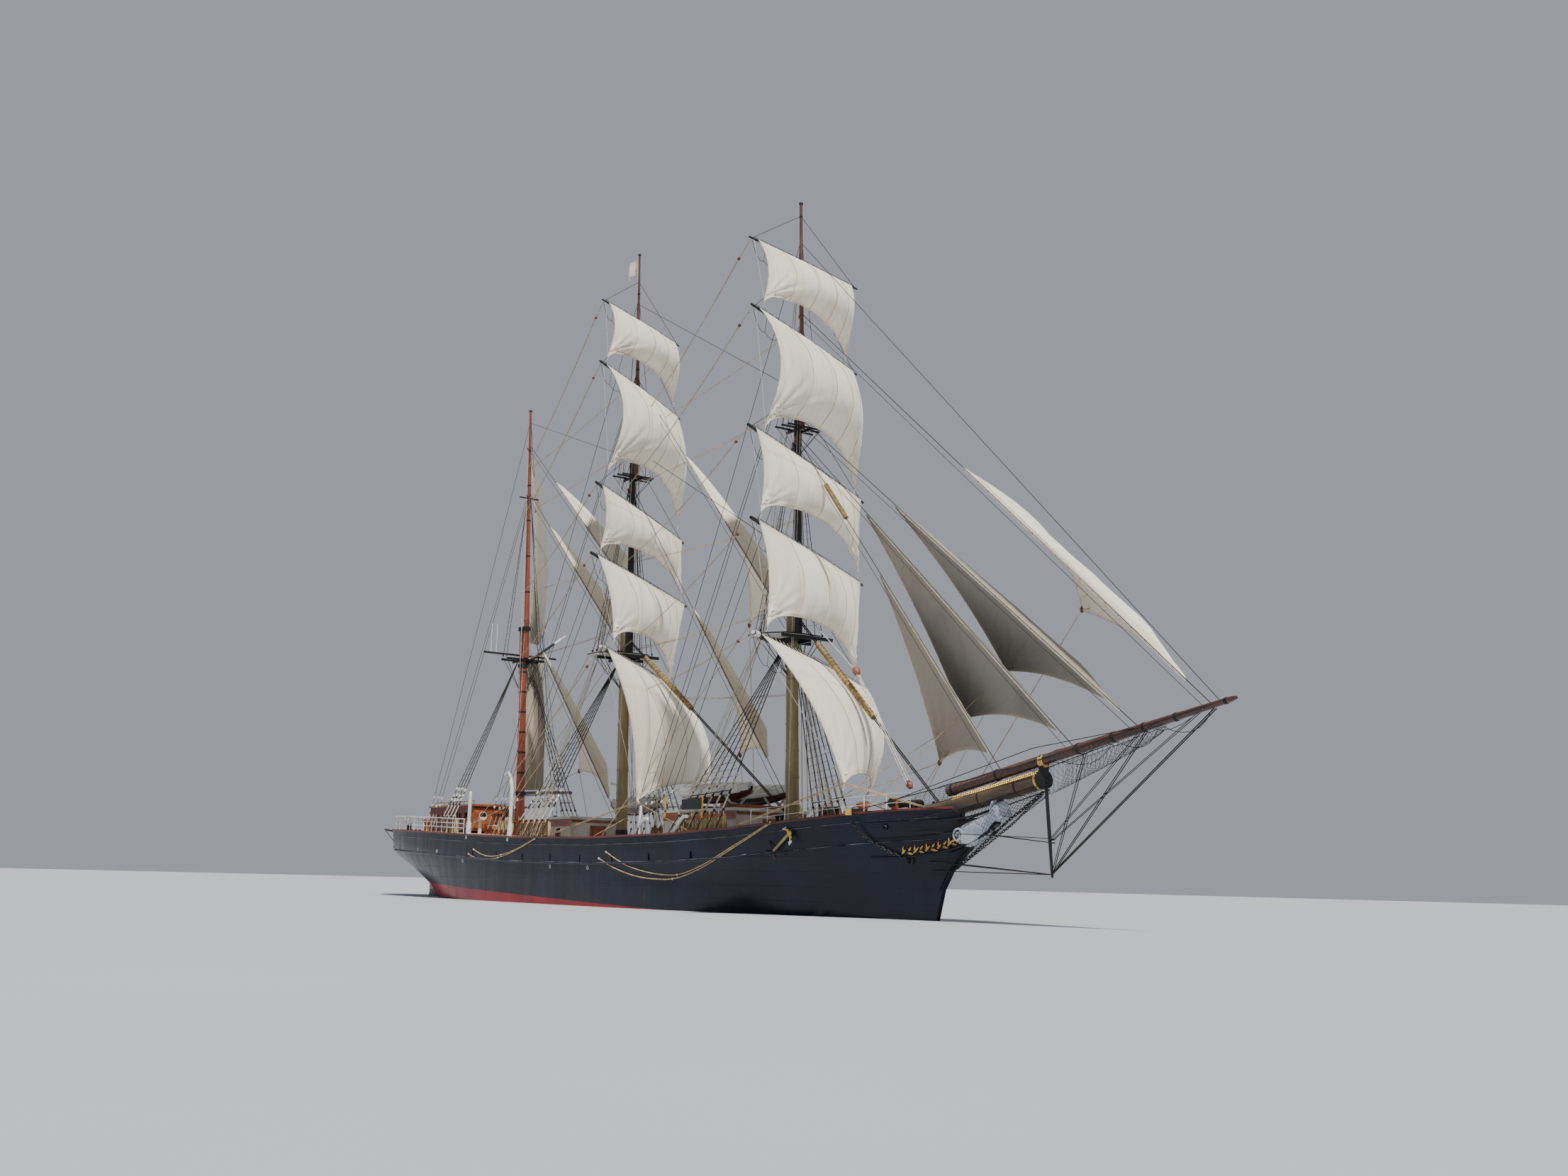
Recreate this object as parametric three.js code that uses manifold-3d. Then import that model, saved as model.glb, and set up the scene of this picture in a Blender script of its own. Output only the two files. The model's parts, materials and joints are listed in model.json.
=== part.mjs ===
// Three-masted iron barque under sail, as a 1:2 model of the real ship.
// Millimetres at the model's scale. X points to the bow, Y to port, Z up.
// The origin is amidships on the centreline at the waterline.
import * as THREE from 'three';
import { mergeVertices } from 'three/addons/utils/BufferGeometryUtils.js';
import Module from 'manifold-3d';

const wasm = await Module();
wasm.setup();

// Fits
const SEAT = 0.3;          // gap between a piece and what it rests on
const RUNNING = 0.55;      // gap between a collar and the mast that it turns on
const MAST_SIDES = 16;
const YARD_SIDES = 10;
const ROD_SIDES = 6;
const RAD = Math.PI / 180;
const OVERLAP = 8;         // how far two solids that become one run into each other

// Hull: heights of the lines of the loft, with where each one ends aft and forward
const SHEER_DROP = 620;    // from the rail down to the knuckle line
const HULL_LEVELS = [
  // z, x at the stern, x at the bow, half-breadths at HULL_STATIONS
  { z: -1875, stern: -12200, bow: 11150, half: [60, 60, 60, 60, 60, 60, 60, 60, 60, 60, 60, 60, 60, 50] },
  { z: -1750, stern: -12200, bow: 11700, half: [60, 62, 75, 125, 350, 1150, 1600, 1500, 900, 450, 200, 80, 60, 50] },
  { z: -1400, stern: -12200, bow: 12350, half: [60, 75, 125, 300, 850, 1750, 2075, 2000, 1450, 900, 450, 175, 75, 50] },
  { z: -750, stern: -12200, bow: 12850, half: [60, 100, 250, 700, 1500, 2175, 2325, 2275, 1875, 1350, 825, 375, 150, 50] },
  { z: 0, stern: -12200, bow: 13125, half: [60, 175, 500, 1200, 1900, 2300, 2380, 2350, 2075, 1625, 1100, 575, 225, 50] },
  { z: 400, stern: -12260, bow: 13250, half: [60, 280, 740, 1450, 2020, 2325, 2385, 2365, 2120, 1710, 1200, 660, 270, 50] },
  { z: 800, stern: -13000, bow: 13375, half: [60, 420, 960, 1650, 2100, 2340, 2390, 2370, 2150, 1775, 1300, 750, 325, 50] },
];
const HULL_TOP_HALF = {
  knuckle: [80, 720, 1425, 1900, 2190, 2350, 2390, 2375, 2200, 1900, 1475, 925, 450, 60],
  rail: [80, 750, 1450, 1925, 2200, 2350, 2390, 2375, 2225, 1950, 1550, 1025, 550, 75],
};
const KNUCKLE = { stern: -14000, bow: 13700 };
const RAIL = { stern: -14200, bow: 13900 };
const HULL_STATIONS = [0, 0.02, 0.06, 0.12, 0.2, 0.32, 0.45, 0.6, 0.72, 0.8, 0.87, 0.93, 0.97, 1];
const SHEER = [2125, 2090, 2060, 2010, 1940, 1815, 1700, 1660, 1715, 1825, 1990, 2140, 2210, 2250];
const WAIST = { aft: -5000, fwd: 8750 };   // the open main deck between the poop and the forecastle
const BULWARK = { height: 625, thick: 60, cap: 130, capHigh: 45 };

// Masts: foot on deck, rake as run over rise, truck height
const MASTS = {
  fore: {
    x: 7995, foot: 1300, rake: 0.0431,
    lower: { top: 8150, r0: 165, r1: 125 },
    upper: { step: 245, heel: 6450, top: 12200, r0: 105, r1: 80 },
    pole: { step: 185, heel: 11420, top: 17290, r0: 72, r1: 34 },
  },
  main: {
    x: 36, foot: 1300, rake: 0.0448,
    lower: { top: 8500, r0: 165, r1: 125 },
    upper: { step: 245, heel: 6800, top: 12520, r0: 105, r1: 80 },
    pole: { step: 185, heel: 11750, top: 18475, r0: 72, r1: 26 },
  },
  mizzen: {
    x: -6170, foot: 1860, rake: 0.0735,
    lower: { top: 8250, r0: 140, r1: 110 },
    upper: { step: 210, heel: 7300, top: 15300, r0: 88, r1: 34 },
  },
};
const TOP = { aft: 640, fwd: 460, wide: 1650, thick: 45 };
const CROSSTREES = { long: 620, wide: 1100, bar: 50 };
const SPREADER = { z: 7435, wide: 2450, bar: 55 };
const CAP = { height: 90, margin: 45 };

// Yards: height, length, how far the yard stands off the mast's axis, brace angle from square, radius
const YARDS = [
  { mast: 'fore', name: 'royal', on: 'pole', z: 15665, long: 4250, off: 125, brace: 15.6, r: 42 },
  { mast: 'fore', name: 'topgallant', on: 'pole', z: 13650, long: 5700, off: 150, brace: 27.5, r: 56 },
  { mast: 'fore', name: 'upper_topsail', on: 'upper', z: 10505, long: 7700, off: 337, brace: 33.1, r: 74 },
  { mast: 'fore', name: 'lower_topsail', on: 'upper', z: 8350, long: 8200, off: 354, brace: 35.3, r: 80 },
  { mast: 'fore', name: 'course', on: 'lower', z: 5720, long: 10300, off: 620, brace: 38.8, r: 112 },
  { mast: 'main', name: 'royal', on: 'pole', z: 16350, long: 4250, off: 125, brace: 28.8, r: 42 },
  { mast: 'main', name: 'topgallant', on: 'pole', z: 14305, long: 5700, off: 150, brace: 36.6, r: 56 },
  { mast: 'main', name: 'upper_topsail', on: 'upper', z: 10710, long: 7700, off: 335, brace: 41.4, r: 74 },
  { mast: 'main', name: 'lower_topsail', on: 'upper', z: 8795, long: 8200, off: 354, brace: 41.2, r: 80 },
  { mast: 'main', name: 'course', on: 'lower', z: 6265, long: 10300, off: 580, brace: 47.5, r: 112 },
];
const COLLAR = { height: 90, thick: 22 };
const HALF_FACET = Math.PI / MAST_SIDES;   // a collar's facets face the mast's edges at rest

// Square sails: bare yard left at each end, clews as [along the yard below, above that yard],
// depth of the belly, rise of the foot's arch as a share of the drop; a course has its clews given as places
const SQUARE_SAILS = {
  royal: { bare: 170, clew: [2250, 250], belly: 480, arch: 0.1, thick: 16 },
  topgallant: { bare: 230, clew: [3050, 260], belly: 540, arch: 0.2, thick: 16 },
  upper_topsail: { bare: 280, clew: [3600, 220], belly: 360, arch: 0.1, thick: 16 },
  lower_topsail: { bare: 300, clew: [4000, 260], belly: 640, arch: 0.16, thick: 16 },
  course: { bare: 380, belly: 900, arch: 0.12, thick: 16 },
};
const COURSE_CLEWS = {
  fore: { starboard: [11850, -1500, 2740], port: [7700, 2350, 2650] },
  main: { starboard: [3700, -1700, 2550], port: [450, 2450, 2900] },
};

// Fore-and-aft sails on their stays: the mast, spar and height where the stay starts, its foot as
// [x, z], the sail's head and tack as shares of the stay's length, its clew
const STAY_R = 15;
const STAYSAILS = [
  { name: 'flying_jib', at: ['fore', 'pole', 14400], to: [20300, 3862], head: 0.47, tack: 0.955, clew: [16300, 1150, 6150], belly: 420 },
  { name: 'outer_jib', at: ['fore', 'pole', 11680], to: [18650, 3560], head: 0.345, tack: 0.955, clew: [14150, 900, 5110], belly: 380 },
  { name: 'inner_jib', at: ['fore', 'upper', 11340], to: [17050, 3268], head: 0.31, tack: 0.955, clew: [12850, 900, 4190], belly: 380 },
  { name: 'fore_topmast_staysail', at: ['fore', 'upper', 11250], to: [15050, 2902], head: 0.45, tack: 0.95, clew: [12150, 850, 3300], belly: 260 },
  { name: 'main_topgallant_staysail', at: ['main', 'pole', 14700], to: [7700, 6650], head: 0.34, tack: 0.92, clew: [4600, 900, 7150], belly: 240 },
  { name: 'main_topmast_staysail', at: ['main', 'upper', 11560], to: [7900, 2420], head: 0.42, tack: 0.869, clew: [4200, 1000, 3860], belly: 240 },
  { name: 'mizzen_topgallant_staysail', at: ['mizzen', 'upper', 14150], to: [-250, 8750], head: 0.28, tack: 0.9, clew: [-1650, 620, 8700], belly: 220 },
  { name: 'mizzen_topmast_staysail', at: ['mizzen', 'upper', 12600], to: [-240, 6890], head: 0.23, tack: 0.89, clew: [-1750, 650, 7080], belly: 200 },
  { name: 'mizzen_staysail', at: ['mizzen', 'upper', 8600], to: [-20, 2100], head: 0.18, tack: 0.88, clew: [-4350, 950, 3800], belly: 220 },
];
const LOWER_STAYS = [
  { name: 'forestay', at: ['fore', 'upper', 6760], to: [13300, 2236] },
  { name: 'mainstay', at: ['main', 'upper', 7110], to: [7925, 2150] },
];

// Spanker: the boom and gaff swing out together to port
const SPANKER = {
  swing: 50,
  boom: { z: 3150, long: 4050, rise: 250, r: 78 },
  gaff: { z: 7060, long: 3350, rise: 1450, r: 50 },
  topsail: { tack: 7750, head: 13800, out: 240 },
};

// Bowsprit and what it carries
const BOWSPRIT = { from: [12350, 2070], to: [16220, 2740], r0: 190, r1: 165 };
const JIBBOOM = { from: [13450, 2610], to: [20810, 3955], r0: 110, r1: 48 };
const STRIKER = { x: 16250, top: 2600, foot: [16400, 900], r: 32 };
const KNEE = [[13150, 350], [13300, 650], [13570, 1005], [14000, 1355], [14550, 1700], [15150, 2060], [15100, 2210], [14300, 2100], [13500, 1960], [13200, 1500]];
const KNEE_THICK = 130;

// Shrouds: feet along the rail from the mast aft
const SHROUDS = {
  fore: { z: 6420, feet: [7750, 7400, 7050, 6700, 6350, 6000], fwd: 40, aftStep: 22 },
  main: { z: 6770, feet: [-200, -550, -900, -1250, -1600, -1950], fwd: 40, aftStep: 22 },
  mizzen: { z: 7380, feet: [-6300, -6600, -6900, -7200], fwd: 65, aftStep: 10 },
};
const SHROUD_R = 11;
const CHANNEL = { wide: 90, high: 40, margin: 150 };

// Deckhouses: floor plan and height above the deck
const HOUSES = [
  { name: 'fore_deckhouse', x: [3900, 7100], half: 1000, high: 1170, roof: 70 },
  { name: 'main_deckhouse', x: [-3900, -1300], half: 850, high: 1120, roof: 70 },
  { name: 'poop_deckhouse', x: [-10900, -7700], half: 850, high: 760, roof: 60 },
];
const WALL = 60;
const WINDOW = { wide: 230, high: 260, pitch: 560 };
const BOATS = { long: 3200, half: 430, deep: 360, spread: 560, over: 120 };

const RUDDER = { x: -12236.6, top: 240, foot: -1700, chord: 700, thick: 110, stock: 60 };
const WHEEL = { x: -11450, high: 480, r: 375, rim: 26, spokes: 8 };

const group = new THREE.Group();
group.name = 'barque';

const COLORS = {
  iron: { color: 0x10131a, roughness: 0.45, metalness: 0.2 },
  canvas: { color: 0xe6ddc8, roughness: 0.9, metalness: 0 },
  shaded_canvas: { color: 0xcfc4aa, roughness: 0.9, metalness: 0 },
  tan_paint: { color: 0x8b7b4c, roughness: 0.6, metalness: 0 },
  varnish: { color: 0x8a3f22, roughness: 0.4, metalness: 0 },
  black_paint: { color: 0x17171a, roughness: 0.5, metalness: 0 },
  rigging: { color: 0x2a2622, roughness: 0.8, metalness: 0 },
  white_paint: { color: 0xe8e8e4, roughness: 0.5, metalness: 0 },
  teak: { color: 0x9a5a2c, roughness: 0.5, metalness: 0 },
  ochre: { color: 0x9b7c2e, roughness: 0.6, metalness: 0 },
};

// Solids

function solidOf(geometry) {
  const bare = geometry.clone();
  bare.deleteAttribute('normal');
  bare.deleteAttribute('uv');
  const merged = mergeVertices(bare, 1e-3);
  return new wasm.Manifold(new wasm.Mesh({
    numProp: 3,
    vertProperties: new Float32Array(merged.attributes.position.array),
    triVerts: new Uint32Array(merged.index.array),
  }));
}

// A solid from corner points and triangles, turned so that its faces point outwards
function facetedSolid(positions, index) {
  let volume = 0;
  const corner = (k) => new THREE.Vector3().fromArray(positions, index[k] * 3);
  for (let i = 0; i < index.length; i += 3) volume += corner(i).dot(corner(i + 1).cross(corner(i + 2)));
  if (volume < 0) {
    for (let i = 0; i < index.length; i += 3) [index[i], index[i + 1]] = [index[i + 1], index[i]];
  }
  const geometry = new THREE.BufferGeometry();
  geometry.setAttribute('position', new THREE.Float32BufferAttribute(positions, 3));
  geometry.setIndex(index);
  return solidOf(geometry);
}

function geometryOf(solid) {
  const mesh = solid.getMesh();
  const geometry = new THREE.BufferGeometry();
  geometry.setAttribute('position', new THREE.BufferAttribute(new Float32Array(mesh.vertProperties), 3));
  geometry.setIndex(new THREE.BufferAttribute(new Uint32Array(mesh.triVerts), 1));
  return geometry;
}

function addNode(name, solid, material) {
  const mesh = new THREE.Mesh(geometryOf(solid), new THREE.MeshStandardMaterial(COLORS[material]));
  mesh.name = name;
  group.add(mesh);
}

function joined(solids) {
  return solids.reduce((all, one) => all.add(one));
}

function cut(solid, tools) {
  return tools.reduce((rest, tool) => rest.subtract(tool), solid);
}

// The triangles that close a ring in a plane across X
function flatCap(ring) {
  return THREE.ShapeUtils.triangulateShape(ring.map(([, y, z]) => new THREE.Vector2(y, z)), []);
}

// The triangles that close a ring whose second half mirrors its first, rung by rung
function ladderCap(ring) {
  const rungs = [];
  for (let j = 0; j + 1 < ring.length / 2; j++) {
    const far = ring.length - 1 - j;
    rungs.push([j, j + 1, far - 1], [j, far - 1, far]);
  }
  return rungs;
}

// A closed surface from rings of points with the same count
function loft(rings, capOf = flatCap) {
  const count = rings[0].length;
  const positions = rings.flat().flat();
  const index = [];
  for (let i = 0; i + 1 < rings.length; i++) {
    for (let j = 0; j < count; j++) {
      const a = i * count + j;
      const b = i * count + (j + 1) % count;
      index.push(a, b, a + count, b, b + count, a + count);
    }
  }
  const last = (rings.length - 1) * count;
  const ringTurn = Math.sign(THREE.ShapeUtils.area(rings[0].map(([, y, z]) => new THREE.Vector2(y, z))));
  const capTurn = (ring, [a, b, c]) => Math.sign(
    (ring[b][1] - ring[a][1]) * (ring[c][2] - ring[a][2]) - (ring[c][1] - ring[a][1]) * (ring[b][2] - ring[a][2]));
  for (const cap of capOf(rings[0])) {
    const [a, b, c] = capTurn(rings[0], cap) === ringTurn ? cap : [cap[0], cap[2], cap[1]];
    index.push(a, c, b);
  }
  for (const cap of capOf(rings[rings.length - 1])) {
    const [a, b, c] = capTurn(rings[rings.length - 1], cap) === ringTurn ? cap : [cap[0], cap[2], cap[1]];
    index.push(last + a, last + b, last + c);
  }
  return facetedSolid(positions, index);
}

// A round spar between two points, with a radius at each end; its facets can be turned about its axis
function spar(start, end, r0, r1, sides = MAST_SIDES, turned = 0) {
  const a = new THREE.Vector3(...start);
  const b = new THREE.Vector3(...end);
  const axis = b.clone().sub(a);
  const geometry = new THREE.CylinderGeometry(r1, r0, axis.length(), sides, 1, false, turned);
  const turn = new THREE.Quaternion().setFromUnitVectors(new THREE.Vector3(0, 1, 0), axis.clone().normalize());
  geometry.applyQuaternion(turn);
  geometry.translate((a.x + b.x) / 2, (a.y + b.y) / 2, (a.z + b.z) / 2);
  return solidOf(geometry);
}

function box(low, high) {
  const size = high.map((value, i) => value - low[i]);
  const geometry = new THREE.BoxGeometry(...size);
  geometry.translate(...high.map((value, i) => (value + low[i]) / 2));
  return solidOf(geometry);
}

function interpolate(xs, ys, x) {
  let i = 0;
  while (i < xs.length - 2 && x > xs[i + 1]) i++;
  const t = (x - xs[i]) / (xs[i + 1] - xs[i]);
  return ys[i] + (ys[i + 1] - ys[i]) * t;
}

// Hull

const railX = HULL_STATIONS.map((u) => RAIL.stern + (RAIL.bow - RAIL.stern) * u);
const sheerAt = (x) => interpolate(railX, SHEER, x);
const railHalfAt = (x) => interpolate(railX, HULL_TOP_HALF.rail, x);
const deckAt = (x) => (x > WAIST.aft && x < WAIST.fwd ? sheerAt(x) - BULWARK.height : sheerAt(x));
const seatOn = (x0, x1) => Math.max(deckAt(x0), deckAt(x1)) + SEAT;

function hullSide(i) {
  const u = HULL_STATIONS[i];
  const points = HULL_LEVELS.map((level) => [level.stern + (level.bow - level.stern) * u, level.half[i], level.z]);
  points.push([KNUCKLE.stern + (KNUCKLE.bow - KNUCKLE.stern) * u, HULL_TOP_HALF.knuckle[i], SHEER[i] - SHEER_DROP]);
  points.push([railX[i], HULL_TOP_HALF.rail[i], SHEER[i]]);
  return points;
}

function hullLoft() {
  const rings = HULL_STATIONS.map((u, i) => {
    const side = hullSide(i);
    const other = side.map(([x, y, z]) => [x, -y, z]).reverse();
    return [...side, ...other];
  });
  return loft(rings, ladderCap);
}

// The space above the main deck, its sides a given way inside the rail
function waistSpace(inset, lift) {
  const stations = [WAIST.aft, ...railX.filter((x) => x > WAIST.aft && x < WAIST.fwd), WAIST.fwd];
  const rings = stations.map((x) => {
    const half = railHalfAt(x) - inset;
    const floor = sheerAt(x) - BULWARK.height;
    const lid = sheerAt(x) + lift;
    return [[x, -half, floor], [x, half, floor], [x, half, lid], [x, -half, lid]];
  });
  return loft(rings);
}

const hullBlock = hullLoft();
// The knee under the bowsprit, moved by a given step
function kneePlate(dx = 0, dz = 0, grow = 0) {
  const shape = new THREE.Shape(KNEE.map(([x, z]) => new THREE.Vector2(x, z)));
  const geometry = new THREE.ExtrudeGeometry(shape, { depth: KNEE_THICK + 2 * grow, bevelEnabled: false });
  geometry.rotateX(Math.PI / 2);
  geometry.translate(dx, KNEE_THICK / 2 + grow, dz);
  return solidOf(geometry);
}

// A spar in the centre plane, made bigger all round by a given gap
const headSpar = (at, grow) => spar(
  [at.from[0] - grow, 0, at.from[1]], [at.to[0] + grow, 0, at.to[1]], at.r0 + grow, at.r1 + grow);
const bowspritSolid = (grow) => headSpar(BOWSPRIT, grow);
const jibboomSolid = (grow) => headSpar(JIBBOOM, grow);

addNode('hull', cut(hullBlock, [waistSpace(-400, 600), bowspritSolid(SEAT)]).add(cut(kneePlate(), [bowspritSolid(SEAT)])), 'iron');

// Bulwarks: the hull's sides above the main deck, each with its rail cap
function bulwark(side) {
  const stations = [WAIST.aft + SEAT, ...railX.filter((x) => x > WAIST.aft && x < WAIST.fwd), WAIST.fwd - SEAT];
  const rings = stations.map((x) => {
    const half = railHalfAt(x);
    const foot = sheerAt(x) - BULWARK.height + SEAT;
    const head = sheerAt(x);
    const ring = [
      [x, half - BULWARK.thick, foot], [x, half, foot], [x, half, head - BULWARK.capHigh],
      [x, half + BULWARK.thick / 2, head - BULWARK.capHigh], [x, half + BULWARK.thick / 2, head],
      [x, half - BULWARK.cap, head], [x, half - BULWARK.cap, head - BULWARK.capHigh],
      [x, half - BULWARK.thick, head - BULWARK.capHigh],
    ];
    return ring.map(([px, py, pz]) => [px, py * side, pz]);
  });
  return loft(rings);
}
for (const [name, side] of [['starboard', -1], ['port', 1]]) {
  addNode(`bulwark_${name}`, bulwark(side), 'iron');
}

// Masts

function mastAxis(mast, part, z) {
  const m = MASTS[mast];
  let x = m.x - m.rake * (z - m.foot);
  if (part !== 'lower') x += m.upper.step;
  if (part === 'pole') x += m.pole.step;
  return [x, 0, z];
}

function mastRadius(mast, part, z) {
  const m = MASTS[mast];
  const p = m[part];
  const from = part === 'lower' ? m.foot : p.heel;
  return p.r0 + (p.r1 - p.r0) * (z - from) / (p.top - from);
}

function mastSpar(mast, part, grow) {
  const m = MASTS[mast];
  const p = m[part];
  const foot = seatOn(m.x - p.r0, m.x + p.r0) + m.rake * p.r0;
  const from = part === 'lower' ? foot + grow : p.heel;
  return spar(mastAxis(mast, part, from - grow), mastAxis(mast, part, p.top + grow), p.r0 + grow, p.r1 + grow);
}

// The block that joins the head of one spar to the spar before it
function mastCap(mast, part, next) {
  const p = MASTS[mast][part];
  const [xa] = mastAxis(mast, part, p.top);
  const [xb] = mastAxis(mast, next, p.top);
  const reach = mastRadius(mast, next, p.top) + CAP.margin;
  return box([xa - reach, -reach, p.top - CAP.height], [xb + reach, reach, p.top]);
}

for (const [mast, m] of Object.entries(MASTS)) {
  const head = m.upper.heel;
  const [xHead] = mastAxis(mast, 'lower', head);
  const lowerParts = [mastSpar(mast, 'lower', 0), mastCap(mast, 'lower', 'upper')];
  if (mast === 'mizzen') {
    lowerParts.push(box([xHead - 150, -SPREADER.wide / 2, SPREADER.z - SPREADER.bar], [xHead - 150 + SPREADER.bar, SPREADER.wide / 2, SPREADER.z]));
    lowerParts.push(box([xHead - 320, -330, SPREADER.z - SPREADER.bar - 40], [xHead + 420, 330, SPREADER.z - SPREADER.bar]));
  } else {
    lowerParts.push(box([xHead - TOP.aft, -TOP.wide / 2, head - TOP.thick - SEAT],
      [xHead + TOP.fwd, TOP.wide / 2, head - SEAT]));
  }
  addNode(`${mast}_lower_mast`, cut(joined(lowerParts), [mastSpar(mast, 'upper', SEAT)]), mast === 'mizzen' ? 'varnish' : 'tan_paint');
  const upperParts = [mastSpar(mast, 'upper', 0)];
  if (m.pole) {
    const [xPole] = mastAxis(mast, 'upper', m.pole.heel);
    upperParts.push(mastSpar(mast, 'pole', 0), mastCap(mast, 'upper', 'pole'));
    upperParts.push(box([xPole - 160, -CROSSTREES.wide / 2, m.pole.heel - 10], [xPole - 160 + CROSSTREES.bar, CROSSTREES.wide / 2, m.pole.heel + 40]));
    upperParts.push(box([xPole + 220, -CROSSTREES.wide / 2, m.pole.heel - 10], [xPole + 220 + CROSSTREES.bar, CROSSTREES.wide / 2, m.pole.heel + 40]));
    upperParts.push(box([xPole - CROSSTREES.long / 2, -90, m.pole.heel - 50], [xPole + CROSSTREES.long / 2 + 20, 90, m.pole.heel - 10]));
  }
  addNode(`${mast}_topmast`, joined(upperParts), 'black_paint');
}

const mastCutters = Object.keys(MASTS).flatMap((mast) => [
  mastSpar(mast, 'lower', SEAT), mastSpar(mast, 'upper', SEAT),
  ...(MASTS[mast].pole ? [mastSpar(mast, 'pole', SEAT)] : []),
]);

// Bowsprit and jibboom
addNode('bowsprit', cut(joined([
  bowspritSolid(0),
  spar([STRIKER.x, 0, STRIKER.top], [STRIKER.foot[0], 0, STRIKER.foot[1]], STRIKER.r, STRIKER.r * 0.8, 8),
  box([BOWSPRIT.to[0] - 90, -190, BOWSPRIT.to[1] - 190], [BOWSPRIT.to[0] + 20, 190, BOWSPRIT.to[1] + 480]),
  box([13700, -190, 2330], [13800, 190, 2760]),
]), [jibboomSolid(SEAT)]), 'ochre');
addNode('jibboom', jibboomSolid(0), 'varnish');

// Figurehead on the knee of the head
addNode('figurehead', cut(joined([
  spar([13950, 0, 1560], [14650, 0, 1920], 200, 170, 10),
  spar([14600, 0, 1890], [15120, 0, 2290], 170, 120, 10),
  solidOf(new THREE.SphereGeometry(115, 10, 8).translate(15180, 0, 2400)),
]), [
  bowspritSolid(SEAT),
  ...[[1, 1], [1, -1], [-1, 1], [-1, -1]].map(([dx, dz]) => kneePlate(dx * SEAT, dz * SEAT, SEAT)),
]), 'white_paint');

// Yards and square sails

function yardFrame(yard) {
  const [x, y, z] = mastAxis(yard.mast, yard.on, yard.z);
  const a = yard.brace * RAD;
  const ahead = new THREE.Vector3(Math.cos(a), Math.sin(a), 0);
  const along = new THREE.Vector3(Math.sin(a), -Math.cos(a), 0);
  const centre = new THREE.Vector3(x, y, z).addScaledVector(ahead, yard.off);
  return { axis: new THREE.Vector3(x, y, z), centre, ahead, along };
}

const asArray = (v) => [v.x, v.y, v.z];

function yardSolid(yard) {
  const { axis, centre, ahead, along } = yardFrame(yard);
  const half = yard.long / 2;
  const end = (side) => asArray(centre.clone().addScaledVector(along, side * half));
  const slings = (side) => asArray(centre.clone().addScaledVector(along, -side * OVERLAP));
  const spars = [1, -1].map((side) => spar(slings(side), end(side), yard.r, yard.r * 0.45, YARD_SIDES));
  const mastR = mastRadius(yard.mast, yard.on, yard.z - COLLAR.height / 2);
  const m = MASTS[yard.mast];
  const up = new THREE.Vector3(-m.rake, 0, 1).normalize();
  const bottom = asArray(axis.clone().addScaledVector(up, -COLLAR.height / 2));
  const top = asArray(axis.clone().addScaledVector(up, COLLAR.height / 2));
  const inner = (mastR + RUNNING) / Math.cos(Math.PI / MAST_SIDES);
  const ring = spar(bottom, top, inner + COLLAR.thick, inner + COLLAR.thick);
  const arm = spar(asArray(axis), asArray(axis.clone().addScaledVector(ahead, yard.off)), COLLAR.height * 0.4, COLLAR.height * 0.4, 8);
  const hole = spar(
    asArray(axis.clone().addScaledVector(up, -COLLAR.height * 3)),
    asArray(axis.clone().addScaledVector(up, COLLAR.height * 3)), inner, inner, MAST_SIDES, HALF_FACET);
  return cut(joined([...spars, ring, arm]), [hole]);
}

// A sheet of even thickness over a grid of points, closed all round
function sheet(points, thick, normal) {
  const rows = points.length;
  const cols = points[0].length;
  const positions = [];
  for (const side of [0.5, -0.5]) {
    for (const row of points) {
      for (const p of row) positions.push(p.x + normal.x * thick * side, p.y + normal.y * thick * side, p.z + normal.z * thick * side);
    }
  }
  const at = (layer, i, j) => layer * rows * cols + i * cols + j;
  const index = [];
  const quad = (a, b, c, d) => index.push(a, b, c, a, c, d);
  for (let i = 0; i + 1 < rows; i++) {
    for (let j = 0; j + 1 < cols; j++) {
      quad(at(0, i, j), at(0, i + 1, j), at(0, i + 1, j + 1), at(0, i, j + 1));
      quad(at(1, i, j), at(1, i, j + 1), at(1, i + 1, j + 1), at(1, i + 1, j));
    }
  }
  for (let i = 0; i + 1 < rows; i++) {
    quad(at(0, i, 0), at(1, i, 0), at(1, i + 1, 0), at(0, i + 1, 0));
    quad(at(0, i + 1, cols - 1), at(1, i + 1, cols - 1), at(1, i, cols - 1), at(0, i, cols - 1));
  }
  for (let j = 0; j + 1 < cols; j++) {
    quad(at(0, 0, j + 1), at(1, 0, j + 1), at(1, 0, j), at(0, 0, j));
    quad(at(0, rows - 1, j), at(1, rows - 1, j), at(1, rows - 1, j + 1), at(0, rows - 1, j + 1));
  }
  return facetedSolid(positions, index);
}

const SAIL_COLS = 8;
const SAIL_ROWS = 6;

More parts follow.
